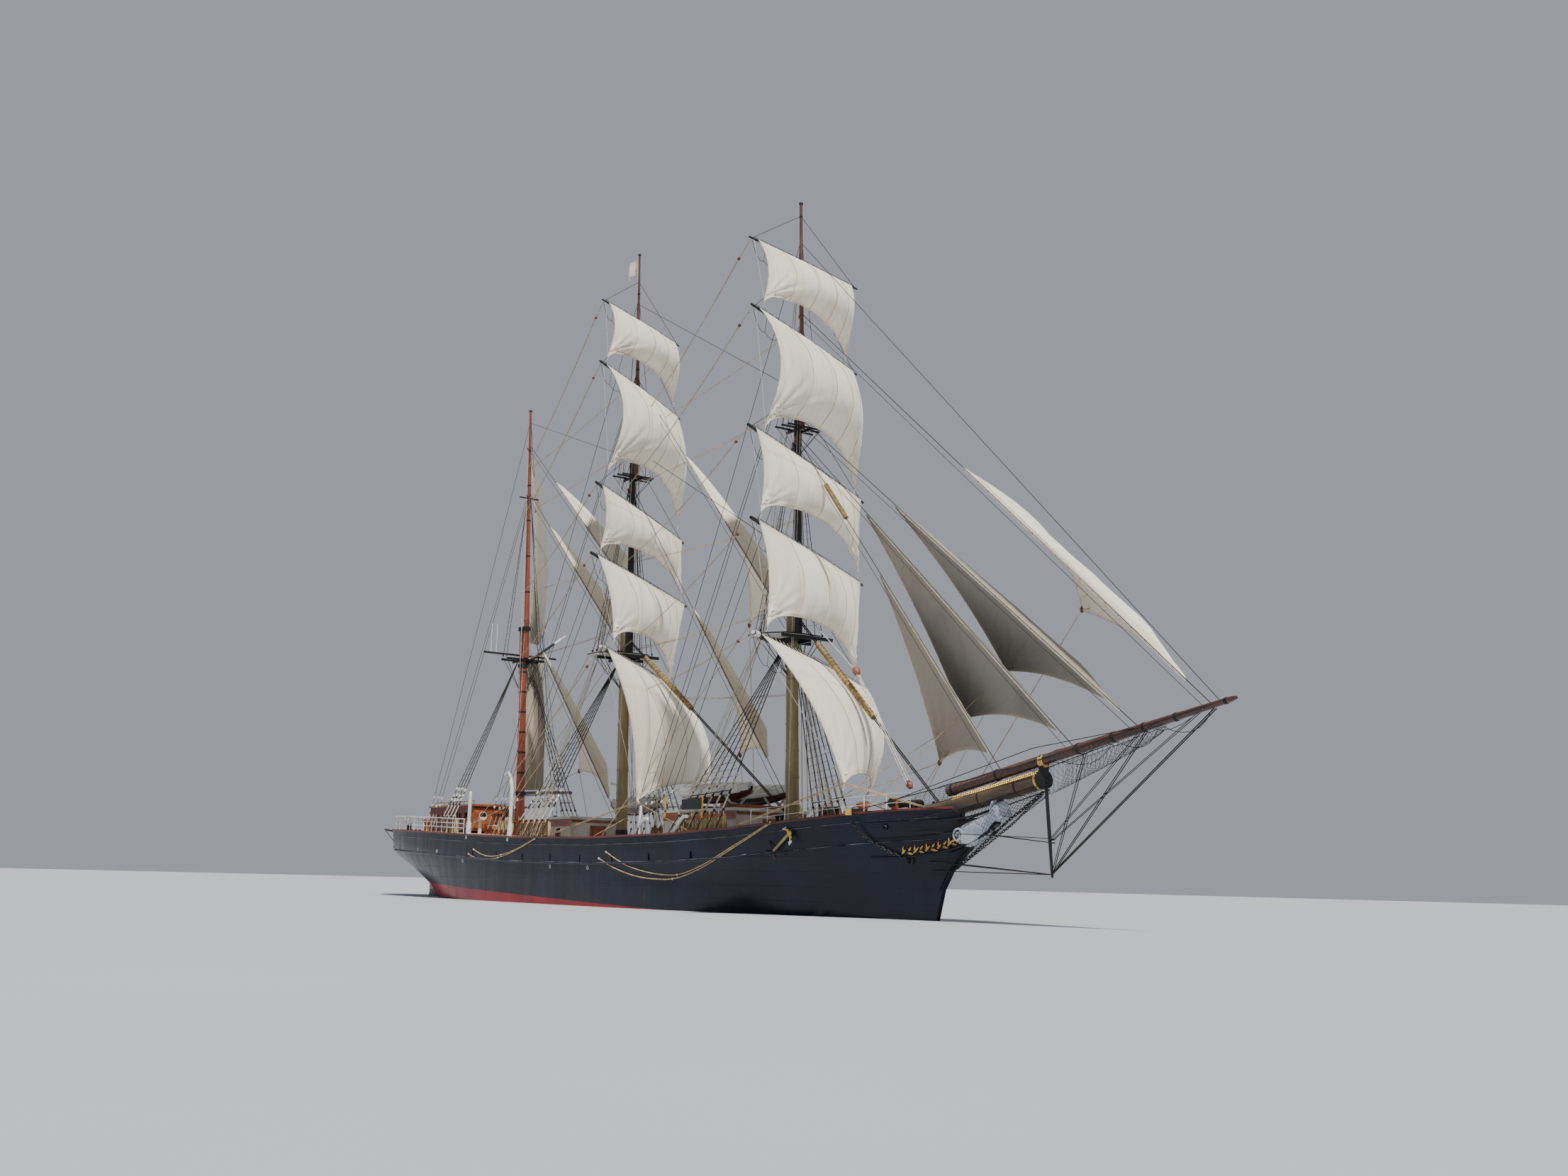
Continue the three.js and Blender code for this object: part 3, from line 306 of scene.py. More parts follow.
def make_finishes(settings):
    """Every material of the ship."""
    painted("white_paint", rgb(232, 232, 226), rgb(196, 194, 184), 0.42)
    painted("mast_tan", rgb(158, 142, 98), rgb(126, 112, 74), 0.5, stretch=(3, 3, 0.6))
    painted("black_spar", rgb(30, 27, 30), rgb(14, 13, 16), 0.45, stretch=(4, 4, 0.8))
    painted("varnish_spar", rgb(88, 44, 32), rgb(56, 28, 22), 0.35, stretch=(5, 5, 0.5), coat=0.4)
    painted("pole_brown", rgb(112, 74, 54), rgb(66, 42, 36), 0.4, stretch=(5, 5, 0.5))
    painted("mizzen_red", rgb(148, 70, 44), rgb(108, 48, 30), 0.4, stretch=(5, 5, 0.5), coat=0.3)
    painted("house_teak", rgb(176, 100, 50), rgb(124, 62, 30), 0.4, stretch=(0.6, 4, 4), coat=0.3)
    painted("rail_wood", rgb(112, 46, 34), rgb(72, 28, 24), 0.45, stretch=(0.5, 6, 6))
    painted("ochre_paint", rgb(104, 84, 52), rgb(54, 48, 42), 0.5, stretch=(0.7, 3, 3))
    painted("gold_leaf", rgb(236, 200, 110), rgb(196, 152, 66), 0.4, metal=0.4)
    painted("black_iron", rgb(34, 33, 38), rgb(18, 17, 20), 0.5, scale=5, metal=0.3)
    # A pale blue-grey line on the upper edge of the mouldings: painted highlight, with wear
    painted("worn_edge", rgb(124, 130, 140), rgb(36, 42, 56), 0.6, scale=2.2)
    painted("rope_tarred", rgb(44, 38, 36), rgb(22, 20, 20), 0.8, scale=9)
    painted("rope_hemp", rgb(206, 182, 138), rgb(160, 134, 94), 0.85, scale=9)
    painted("sleeve_hemp", rgb(164, 136, 88), rgb(116, 94, 56), 0.9, scale=9)
    painted("rope_white", rgb(222, 216, 202), rgb(180, 172, 156), 0.8, scale=9)
    painted("block_wood", rgb(146, 84, 56), rgb(92, 50, 36), 0.5, scale=6)
    painted("deck_cover", rgb(228, 228, 222), rgb(186, 186, 184), 0.75, scale=2.5, relief=0.01)
    # Dark glass of windows and ports; in the ventilator mouths it is painted shade
    painted("window_glass", rgb(26, 34, 44), rgb(14, 18, 24), 0.1, scale=3)
    painted("yellow_paint", rgb(236, 196, 44), rgb(196, 152, 26), 0.4)
    painted("brass_work", rgb(200, 164, 84), rgb(150, 116, 52), 0.3, metal=0.8)
    # The cool blue-grey cast of this white is partly painted shade
    painted("skin_white", rgb(222, 226, 230), rgb(168, 178, 188), 0.5, scale=4)

    f = Finish("hull_paint", Coat_Weight=0.04, Specular_IOR_Level=0.3)
    x, y, z = f.axes(f.place)
    level = z + x * 0.0304
    boot = level.between(0.172, 0.186)
    streaks = f.noise(1.1, 5, stretch=(3.2, 3.2, 0.35))
    cloud = f.noise(0.7, 4)
    black = f.mix(cloud.between(0.35, 0.7), settings.hull_colour, rgb(18, 25, 42))
    black = f.mix(streaks.between(0.62, 0.84) * 0.14, black, rgb(70, 74, 84))
    rust = f.noise(2.6, 5, stretch=(1.8, 1.8, 0.5)).between(0.68, 0.78) * 0.45
    black = f.mix(rust, black, rgb(92, 56, 40))
    red = f.mix(cloud.between(0.3, 0.75), settings.boot_colour, rgb(176, 36, 38))
    red = f.mix(streaks.between(0.6, 0.8) * 0.5, red, rgb(70, 24, 26))
    red = f.mix(level.between(-0.17, -0.14), rgb(62, 40, 36), red)
    seams = z.near(0.31, 0.006) * 0.2 + (x + y * 0.1).near(2.4, 0.006) * 0.2
    f.feed(
        Base_Color=f.mix(boot, red, black),
        Roughness=streaks * 0.3 + 0.2,
        Normal=f.bump(seams + f.noise(2.2, 3) * 0.9, 0.012),
    )

    f = Finish("deck_planks")
    y = f.axes(f.place)[1]
    plank = f.noise(1, 2, stretch=(0.8, 14, 1))
    caulk = y.near(0.07, 0.005)
    wood = f.mix(plank.between(0.3, 0.7), rgb(176, 148, 110), rgb(138, 112, 80))
    f.feed(Base_Color=f.mix(caulk, wood, rgb(40, 34, 30)), Roughness=plank * 0.2 + 0.6,
           Normal=f.bump(1 - caulk, 0.003))

    for name, light, dark in (
        ("canvas", settings.canvas_colour, rgb(206, 192, 160)),
        # Grey canvas of the headsails and the gaff topsail: partly older cloth, partly painted shade
        ("canvas_worn", rgb(142, 136, 126), rgb(104, 99, 92)),
        # A darker grey copy of the canvas: painted shade, for the brailed spanker and the CAD's shaded canvas
        ("canvas_old", rgb(168, 160, 140), rgb(124, 116, 98)),
    ):
        f = Finish(name, Sheen_Weight=0.15)
        sail = f.node("ShaderNodeUVMap", {"uv_map": "cloth"})
        across, down, _ = f.axes(sail)
        seam = across.near(settings.cloth_width, 0.016)
        stitch = (down.near(0.09, 0.02) * 0.5 + 0.5) * seam
        stain = f.noise(0.55, 5, stretch=(1, 1, 0.7)).between(0.48, 0.76)
        dirt = f.noise(1.7, 5, stretch=(2.6, 2.6, 0.5)).between(0.62, 0.8)
        weave = f.noise(26, 3)
        edge = f.node("ShaderNodeAttribute", {"attribute_name": "hem"}, out="Fac")
        base = f.mix(stain * 0.55, light, dark)
        base = f.mix(dirt * 0.4, base, rgb(168, 142, 100))
        base = f.mix(stitch * 0.22, base, rgb(164, 148, 116))
        base = f.mix(edge * 0.3, base, rgb(186, 170, 136))
        f.feed(Base_Color=base, Roughness=weave * 0.12 + 0.82,
               Normal=f.bump(weave * 0.12 + seam * 0.3 + f.noise(3.2, 3) * 0.6, 0.02))


# Shapes


def across_of(direction):
    """Two unit vectors square to a direction."""
    side = direction.cross(UP) if abs(direction.normalized().z) < 0.99 else vec(1, 0, 0)
    side = side.normalized()
    return side, direction.cross(side).normalized()


class Shape:
    """Faces of one piece, each with its finish, and for cloth a UV and a hem value at each point."""

    def __init__(self):
        self.points, self.faces, self.paints, self.cloth = [], [], [], []

    def add(self, points, faces, paint, cloth=None):
        start = len(self.points)
        self.points.extend(tuple(p) for p in points)
        self.faces.extend([start + i for i in face] for face in faces)
        self.paints.extend([paint] * len(faces))
        self.cloth.extend(cloth or [(0.0, 0.0, 0.0)] * len(points))

    def loft(self, rings, paint, ends=True):
        """A skin over rings of points with the same count."""
        count = len(rings[0])
        faces = [
            [i * count + j, i * count + (j + 1) % count, (i + 1) * count + (j + 1) % count, (i + 1) * count + j]
            for i in range(len(rings) - 1) for j in range(count)
        ]
        if ends:
            faces.append(list(range(count))[::-1])
            faces.append([(len(rings) - 1) * count + j for j in range(count)])
        self.add([p for ring in rings for p in ring], faces, paint)

    def tube(self, path, radius, paint, sides=10, ends=True):
        """A round bar along a path, its radius a number or one for each point."""
        path = [Vector(p) for p in path]
        radii = radius if hasattr(radius, "__len__") else [radius] * len(path)
        rings, side = [], None
        for i, (p, r) in enumerate(zip(path, radii)):
            run = (path[min(i + 1, len(path) - 1)] - path[max(i - 1, 0)]).normalized()
            side = across_of(run)[0] if side is None else (side - run * side.dot(run)).normalized()
            up = run.cross(side)
            turns = [2 * pi * k / sides for k in range(sides)]
            rings.append([p + side * (r * cos(t)) + up * (r * sin(t)) for t in turns])
        self.loft(rings, paint, ends)

    def turned(self, start, end, profile, paint, sides=16):
        """A turned bar from start to end: its profile is (share of the way, radius)."""
        a, b = Vector(start), Vector(end)
        self.tube([a.lerp(b, t) for t, _ in profile], [r for _, r in profile], paint, sides)

    def post(self, foot, height, profile, paint, sides):
        """A turned bar that stands on a point."""
        self.turned(foot, Vector(foot) + UP * height, profile, paint, sides)

    def box(self, low, high, paint, matrix=None):
        """A block between two corners, moved by a matrix."""
        xs, ys, zs = (sorted(pair) for pair in zip(low, high))
        corners = [vec(x, y, z) for x in xs for y in ys for z in zs]
        if matrix:
            corners = [matrix @ c for c in corners]
        self.add(corners, [[0, 1, 3, 2], [4, 6, 7, 5], [0, 4, 5, 1], [2, 3, 7, 6], [0, 2, 6, 4], [1, 5, 7, 3]], paint)

    def slab(self, outline, thick, paint):
        """A flat plate: its outline, and the vector of its thickness."""
        self.loft([outline, [Vector(p) + Vector(thick) for p in outline]], paint)

    def ball(self, centre, radius, paint, sides=10, squash=1.0):
        """A round knob."""
        c = Vector(centre)
        steps = [pi * (k + 0.02) / 6.04 for k in range(7)]
        self.tube([c - UP * (radius * squash * cos(t)) for t in steps],
                  [radius * sin(t) for t in steps], paint, sides)

    def piece(self, name, body, replaces=(), slot=None, angle=35, fix_normals=True):
        """Makes the object and lets it ride on a body."""
        mesh = bpy.data.meshes.new(name)
        mesh.from_pydata(self.points, [], self.faces)
        paints = sorted(set(self.paints))
        for paint in paints:
            mesh.materials.append(FINISHES[paint])
        mesh.polygons.foreach_set("material_index", [paints.index(p) for p in self.paints])
        if any(c != (0.0, 0.0, 0.0) for c in self.cloth):
            layer = mesh.uv_layers.new(name="cloth")
            for loop in mesh.loops:
                layer.data[loop.index].uv = self.cloth[loop.vertex_index][:2]
            hem = mesh.attributes.new("hem", "FLOAT", "POINT")
            hem.data.foreach_set("value", [c[2] for c in self.cloth])
        if fix_normals:
            faces = bmesh.new()
            faces.from_mesh(mesh)
            bmesh.ops.recalc_face_normals(faces, faces=faces.faces)
            faces.to_mesh(mesh)
            faces.free()
        mesh.shade_smooth()
        mesh.set_sharp_from_angle(angle=radians(angle))
        return settle(name, mesh, body, replaces)


def settle(name, mesh, body, replaces=()):
    """Links a finished mesh and lets it ride."""
    piece = bpy.data.objects.new(name, mesh)
    bpy.context.scene.collection.objects.link(piece)
    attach(piece, body)
    if replaces:
        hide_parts(*replaces)
    return piece


def node_group(name, **sockets):
    """A Geometry Nodes tree with named inputs: (socket type, default)."""
    group = bpy.data.node_groups.new(name, "GeometryNodeTree")
    group.interface.new_socket("Geometry", in_out="INPUT", socket_type="NodeSocketGeometry")
    for label, (kind, default) in sockets.items():
        made = group.interface.new_socket(label.replace("_", " "), in_out="INPUT", socket_type=kind)
        if default is not None:
            made.default_value = default
    group.interface.new_socket("Geometry", in_out="OUTPUT", socket_type="NodeSocketGeometry")
    tree = Tree(group)
    start = group.nodes.new("NodeGroupInput")
    inputs = {socket.name: Link(tree, socket) for socket in start.outputs if socket.name}
    return group, tree, inputs


def finished(group, tree, given, shape):
    """The tree with its shape made real, painted and led to its output."""
    whole = tree.node("GeometryNodeRealizeInstances", inputs={"Geometry": shape})
    painted_shape = tree.node("GeometryNodeSetMaterial", inputs={"Geometry": whole, "Material": given["Paint"]})
    end = group.nodes.new("NodeGroupOutput")
    group.links.new(painted_shape.socket, end.inputs[0])
    return group


def rope_tree():
    """Turns edges into round ropes as thick as their points say."""
    group, tree, given = node_group(
        "rope_along_path", Sides=("NodeSocketInt", 5), Paint=("NodeSocketMaterial", None))
    line = tree.node("GeometryNodeMeshToCurve", inputs={0: given["Geometry"]})
    thick = tree.node("GeometryNodeInputNamedAttribute", {"data_type": "FLOAT"}, {"Name": "thickness"})
    ring = tree.node("GeometryNodeCurvePrimitiveCircle", inputs={"Resolution": given["Sides"], "Radius": 1.0})
    skin = tree.node("GeometryNodeCurveToMesh", inputs={
        "Curve": line, "Profile Curve": ring, "Scale": thick, "Fill Caps": True})
    smooth = tree.node("GeometryNodeSetShadeSmooth", inputs={"Geometry": skin})
    return finished(group, tree, given, smooth)


def copies_tree():
    """Sets a copy of one object on each point, turned and sized as the point says."""
    group, tree, given = node_group(
        "copies_on_points", Model=("NodeSocketObject", None), Paint=("NodeSocketMaterial", None))
    model = tree.node("GeometryNodeObjectInfo", inputs={"Object": given["Model"]}, out="Geometry")
    turn = tree.node("GeometryNodeInputNamedAttribute", {"data_type": "FLOAT_VECTOR"}, {"Name": "turn"})
    size = tree.node("GeometryNodeInputNamedAttribute", {"data_type": "FLOAT_VECTOR"}, {"Name": "size"})
    spin = tree.node("FunctionNodeEulerToRotation", inputs={0: turn})
    copies = tree.node("GeometryNodeInstanceOnPoints", inputs={
        "Points": given["Geometry"], "Instance": model, "Rotation": spin, "Scale": size})
    return finished(group, tree, given, copies)


TREES = {}


def run_tree(name, mesh, tree, paint, **values):
    """The plain mesh that a Geometry Nodes tree makes from a mesh."""
    carrier = bpy.data.objects.new(name + "_carrier", mesh)
    bpy.context.scene.collection.objects.link(carrier)
    modifier = carrier.modifiers.new(tree, "NODES")
    modifier.node_group = TREES[tree]
    values["Paint"] = FINISHES[paint]
    for item in TREES[tree].interface.items_tree:
        if item.in_out == "INPUT" and item.name in values:
            modifier[item.identifier] = values[item.name]
    carrier.update_tag()
    bpy.context.view_layer.update()
    seen = carrier.evaluated_get(bpy.context.evaluated_depsgraph_get())
    made = bpy.data.meshes.new_from_object(seen)
    made.name = name
    bpy.data.objects.remove(carrier)
    return made


class Ropes:
    """Ropes of one piece, each a path with a radius."""

    def __init__(self):
        self.points, self.edges, self.thick = [], [], []

    def run(self, *path, r):
        """A rope through points."""
        start = len(self.points)
        self.points.extend(Vector(p) for p in path)
        self.thick.extend([r * settings().rope_scale] * len(path))
        self.edges.extend((start + i, start + i + 1) for i in range(len(path) - 1))

    def piece(self, name, body, paint, sides=5, replaces=(), slot="rigging", ride=True):
        """Makes the object; without ride the caller says how it moves."""
        mesh = bpy.data.meshes.new(name)
        mesh.from_pydata(self.points, self.edges, [])
        mesh.attributes.new("thickness", "FLOAT", "POINT").data.foreach_set("value", self.thick)
        made = run_tree(name, mesh, "rope", paint, Sides=sides)
        if ride:
            return settle(name, made, body, replaces)
        rope = bpy.data.objects.new(name, made)
        bpy.context.scene.collection.objects.link(rope)
        return rope


class Copies:
    """Places of one small model that is repeated."""

    def __init__(self):
        self.points, self.turns, self.sizes = [], [], []

    def put(self, point, turn=(0, 0, 0), size=1.0):
        """One place: a point, a rotation and a size."""
        self.points.append(tuple(point))
        self.turns.append(tuple(turn))
        self.sizes.append((size,) * 3 if isinstance(size, (int, float)) else tuple(size))

    def piece(self, name, body, model, paint, replaces=(), slot=None):
        """Makes the object from a Shape."""
        mesh = bpy.data.meshes.new(name)
        mesh.from_pydata(self.points, [], [])
        flat = [v for turn in self.turns for v in turn]
        mesh.attributes.new("turn", "FLOAT_VECTOR", "POINT").data.foreach_set("vector", flat)
        flat = [v for size in self.sizes for v in size]
        mesh.attributes.new("size", "FLOAT_VECTOR", "POINT").data.foreach_set("vector", flat)
        one = model.piece(name + "_model", SHIP)
        made = run_tree(name, mesh, "copies", paint, Model=one)
        bpy.data.objects.remove(one)
        return settle(name, made, body, replaces)


def aim(direction, roll=0.0):
    """The turn that points a model's Z along a direction."""
    turn = Vector(direction).to_track_quat("Z", "Y") @ Euler((0, 0, roll)).to_quaternion()
    return tuple(turn.to_euler())


def hoop(r, grow, edge=0.02):
    """Profile of a flat ring round a spar."""
    return [(0, r), (edge, r + grow), (1 - edge, r + grow), (1, r)]


def circle(centre, across, up, count):
    """Points round a centre, with two half axes; the last lies on the first."""
    return [centre + across * cos(t) + up * sin(t) for t in np.linspace(0, 2 * pi, count)]


def collar(axis, mast, r, half, wide, count):
    """Rings of a square iron band that fits a raked mast."""
    lean = vec(-MASTS[mast]["rake"], 0, 1).normalized()
    corners = ((r, -half), (r + wide, -half), (r + wide, half), (r, half))
    return [[axis + out * a + lean * h for a, h in corners]
            for out in circle(vec(0, 0, 0), vec(1, 0, 0), vec(0, 1, 0), count)]


def turned_model(low, high, profile, paint, sides):
    """A small turned model on the Z axis."""
    model = Shape()
    model.turned((0, 0, low), (0, 0, high), profile, paint, sides)
    return model


# Curves through the hull's tables


def smooth_at(xs, ys, at):
    """Values on a smooth line through points, without overshoot between equal points."""
    xs, ys, at = np.asarray(xs, float), np.asarray(ys, float), np.asarray(at, float)
    steps = np.diff(xs)
    slopes = np.diff(ys) / steps
    tangents = np.empty_like(ys)
    tangents[0], tangents[-1] = slopes[0], slopes[-1]
    inner = (slopes[:-1] * steps[1:] + slopes[1:] * steps[:-1]) / (steps[1:] + steps[:-1])
    flat = slopes[:-1] * slopes[1:] <= 0
    limit = 3 * np.minimum(abs(slopes[:-1]), abs(slopes[1:]))
    tangents[1:-1] = np.where(flat, 0, np.clip(inner, -limit, limit))
    i = np.clip(np.searchsorted(xs, at) - 1, 0, len(xs) - 2)
    t = (at - xs[i]) / steps[i]
    return (ys[i] * (1 + 2 * t) * (1 - t) ** 2 + tangents[i] * steps[i] * t * (1 - t) ** 2
            + ys[i + 1] * t * t * (3 - 2 * t) + tangents[i + 1] * steps[i] * t * t * (t - 1))


RAIL_X = [RAIL_ENDS[0] + (RAIL_ENDS[1] - RAIL_ENDS[0]) * u for u in STATIONS]


def sheer_at(x):
    """Height of the rail."""
    return float(np.interp(x, RAIL_X, SHEER))


def rail_half(x):
    """Half-breadth at the rail."""
    return float(smooth_at(RAIL_X, np.array(RAIL_HALF) / 1000, x))


def deck_at(x):
    """Height of the deck."""
    return sheer_at(x) - (BULWARK if WAIST[0] < x < WAIST[1] else 0)


def hull_section(u):
    """Points up one side at a station: x, half-breadth, height."""
    sheer = float(np.interp(u, STATIONS, SHEER))
    levels = [*HULL_LEVELS, (sheer - SHEER_DROP, *KNUCKLE_ENDS, KNUCKLE_HALF), (sheer, *RAIL_ENDS, RAIL_HALF)]
    return [(a + (b - a) * u, float(smooth_at(STATIONS, np.array(half) / 1000, u)), z) for z, a, b, half in levels]


def side_point(x, z, out=0.0, side=-1):
    """A point on the hull's side at a place along the ship and a height."""
    u = (x - RAIL_ENDS[0]) / (RAIL_ENDS[1] - RAIL_ENDS[0])
    for _ in range(4):
        section = hull_section(min(max(u, 0), 1))
        heights = [p[2] for p in section]
        here = np.interp(z, heights, [p[0] for p in section])
        u += (x - here) / (RAIL_ENDS[1] - RAIL_ENDS[0])
    section = hull_section(min(max(u, 0), 1))
    half = float(smooth_at([p[2] for p in section], [p[1] for p in section], z))
    return vec(x, side * (half + out), z)


# Places in the rig


def mast_at(mast, part, z):
    """A point on the axis of a mast's spar."""
    m = MASTS[mast]
    return vec(m["x"] - m["rake"] * (z - m["foot"]) + m[part][0], 0, z)


def mast_radius(mast, part, z):
    """The spar's radius there."""
    _, heel, top, r0, r1 = MASTS[mast][part]
    return r0 + (r1 - r0) * (z - heel) / (top - heel)


class Yard:
    """Where a yard lies: its centre, its directions, its body."""

    def __init__(self, mast, name, on, z, long, off, brace, r):
        self.mast, self.name, self.on, self.long, self.r = mast, name, on, long, r
        self.node = f"{mast}_{name}"
        turn = radians(brace)
        self.ahead = vec(cos(turn), sin(turn), 0)
        self.along = vec(sin(turn), -cos(turn), 0)
        self.axis = mast_at(mast, on, z)
        self.centre = self.axis + self.ahead * off

    def at(self, s, ahead=0.0, up=0.0):
        """A point a distance to starboard along the yard."""
        return self.centre + self.along * s + self.ahead * ahead + UP * up

    def radius(self, s):
        """The yard's radius a distance from its middle."""
        t = abs(s) / (self.long / 2)
        return self.r * (1 - 0.55 * max(0.0, t - 0.12) / 0.88)


RIG = {f"{row[0]}_{row[1]}": Yard(*row) for row in YARDS}
NEXT_YARD = {"royal": "topgallant", "topgallant": "upper_topsail", "upper_topsail": "lower_topsail",
             "lower_topsail": "course"}


def settings():
    """The sizes and colours that a user may change."""
    return bpy.context.scene.barque


# Hull


def hull_ring(u, waist):
    """One cross-section from the port rail round the keel to the starboard rail and back over the deck."""
    section = hull_section(u)
    zs = np.array([p[2] for p in section])
    fine = np.unique(np.concatenate([np.linspace(zs[0], 0.4, 13), np.linspace(0.4, zs[-1], 11)]))
    xs = np.interp(fine, zs, [p[0] for p in section])
    if xs.min() < -12.3:
        xs = smooth_at(zs, [p[0] for p in section], fine)
    halves = smooth_at(zs, [p[1] for p in section], fine)
    outside = list(zip(xs, halves, fine))
    x, half, top = outside[-1]
    thick = min(BULWARK_THICK, half * 0.4)
    deck = top - (BULWARK if waist else 0.002)
    inner = half - thick - (0.012 if waist else 0)
    camber = 0.02 * half
    ring = outside[::-1] + [(a, -b, c) for a, b, c in outside]
    ring += [(x, -(half - thick), top), (x, -inner, deck), (x, -inner * 0.5, deck + camber), (x, 0, deck + camber)]
    ring += [(x, inner * 0.5, deck + camber), (x, inner, deck), (x, half - thick, top)]
    return [Vector(p) for p in ring]


def build_hull():
    """The plated shell with its bulwarks, decks and bulkheads."""
    ends = [(x - RAIL_ENDS[0]) / (RAIL_ENDS[1] - RAIL_ENDS[0]) for x in WAIST]
    us = sorted(set(np.linspace(0, 1, 97)) | {0.004, 0.01, 0.015, 0.99, 0.995} | set(ends))
    rings = []
    for u in us:
        if u in ends:
            order = (False, True) if u == ends[0] else (True, False)
            rings += [hull_ring(u, waist) for waist in order]
        else:
            rings.append(hull_ring(u, ends[0] < u < ends[1]))
    count = len(rings[0])
    paints = ["hull_paint"] * (count - 8) + ["white_paint"] * 2 + ["deck_planks"] * 4 + ["white_paint"] * 2
    shell = Shape()
    for j in range(count):
        faces = [[i * 2, i * 2 + 1, i * 2 + 3, i * 2 + 2] for i in range(len(rings) - 1)]
        shell.add([p for ring in rings for p in (ring[j], ring[(j + 1) % count])], faces, paints[j])
    shell.add(rings[0], [list(range(count))], "hull_paint")
    shell.add(rings[-1], [list(range(count))[::-1]], "hull_paint")
    weld(shell)
    shell.piece("hull_shell", SHIP, ("hull", "bulwark_starboard", "bulwark_port"), "iron", 30)


def weld(shape, gap=1e-5):
    """Joins points that lie on each other."""
    known, order, points = {}, [], []
    for p in shape.points:
        key = tuple(round(c / gap) for c in p)
        if key not in known:
            known[key] = len(points)
            points.append(p)
        order.append(known[key])
    shape.points = points
    faces, paints = [], []
    for face, paint in zip(shape.faces, shape.paints):
        short = list(dict.fromkeys(order[i] for i in face))
        if len(short) > 2:
            faces.append(short)
            paints.append(paint)
    shape.faces, shape.paints = faces, paints
    shape.cloth = [(0.0, 0.0, 0.0)] * len(points)


def build_rails():
    """Rail caps and the two mouldings below them."""
    rails = Shape()
    xs = np.linspace(RAIL_ENDS[0], RAIL_ENDS[1] - 0.05, 90)
    for side in (-1, 1):
        rings = []
        for x in xs:
            half, z = rail_half(x), sheer_at(x)
            rings.append([(x, side * (half + 0.04), z - 0.004), (x, side * (half + 0.045), z + 0.02),
                          (x, side * (half + 0.03), z + 0.045), (x, side * (half - 0.07), z + 0.045),
                          (x, side * (half - 0.085), z - 0.004)])
        rails.loft(rings, "rail_wood")
        for drop, r in ((SHEER_DROP, 0.034), (0.17, 0.014)):
            path = [side_point(x, sheer_at(x) - drop, 0.002, side) for x in np.linspace(-13.75, 13.45, 80)]
            rails.tube(path, r, "hull_paint", 6)
            # Pale line along the moulding's upper outer edge: painted highlight, with wear
            rails.tube([p + vec(0, side * r * 0.8, r * 0.6) for p in path], 0.007, "worn_edge", 4)
    taffrail = [(RAIL_ENDS[0] - 0.03, y, sheer_at(RAIL_ENDS[0]) + 0.02) for y in (-0.11, 0, 0.11)]
    rails.tube(taffrail, 0.035, "rail_wood", 6)
    rails.piece("rail_caps", SHIP, slot="varnish")


# Masts


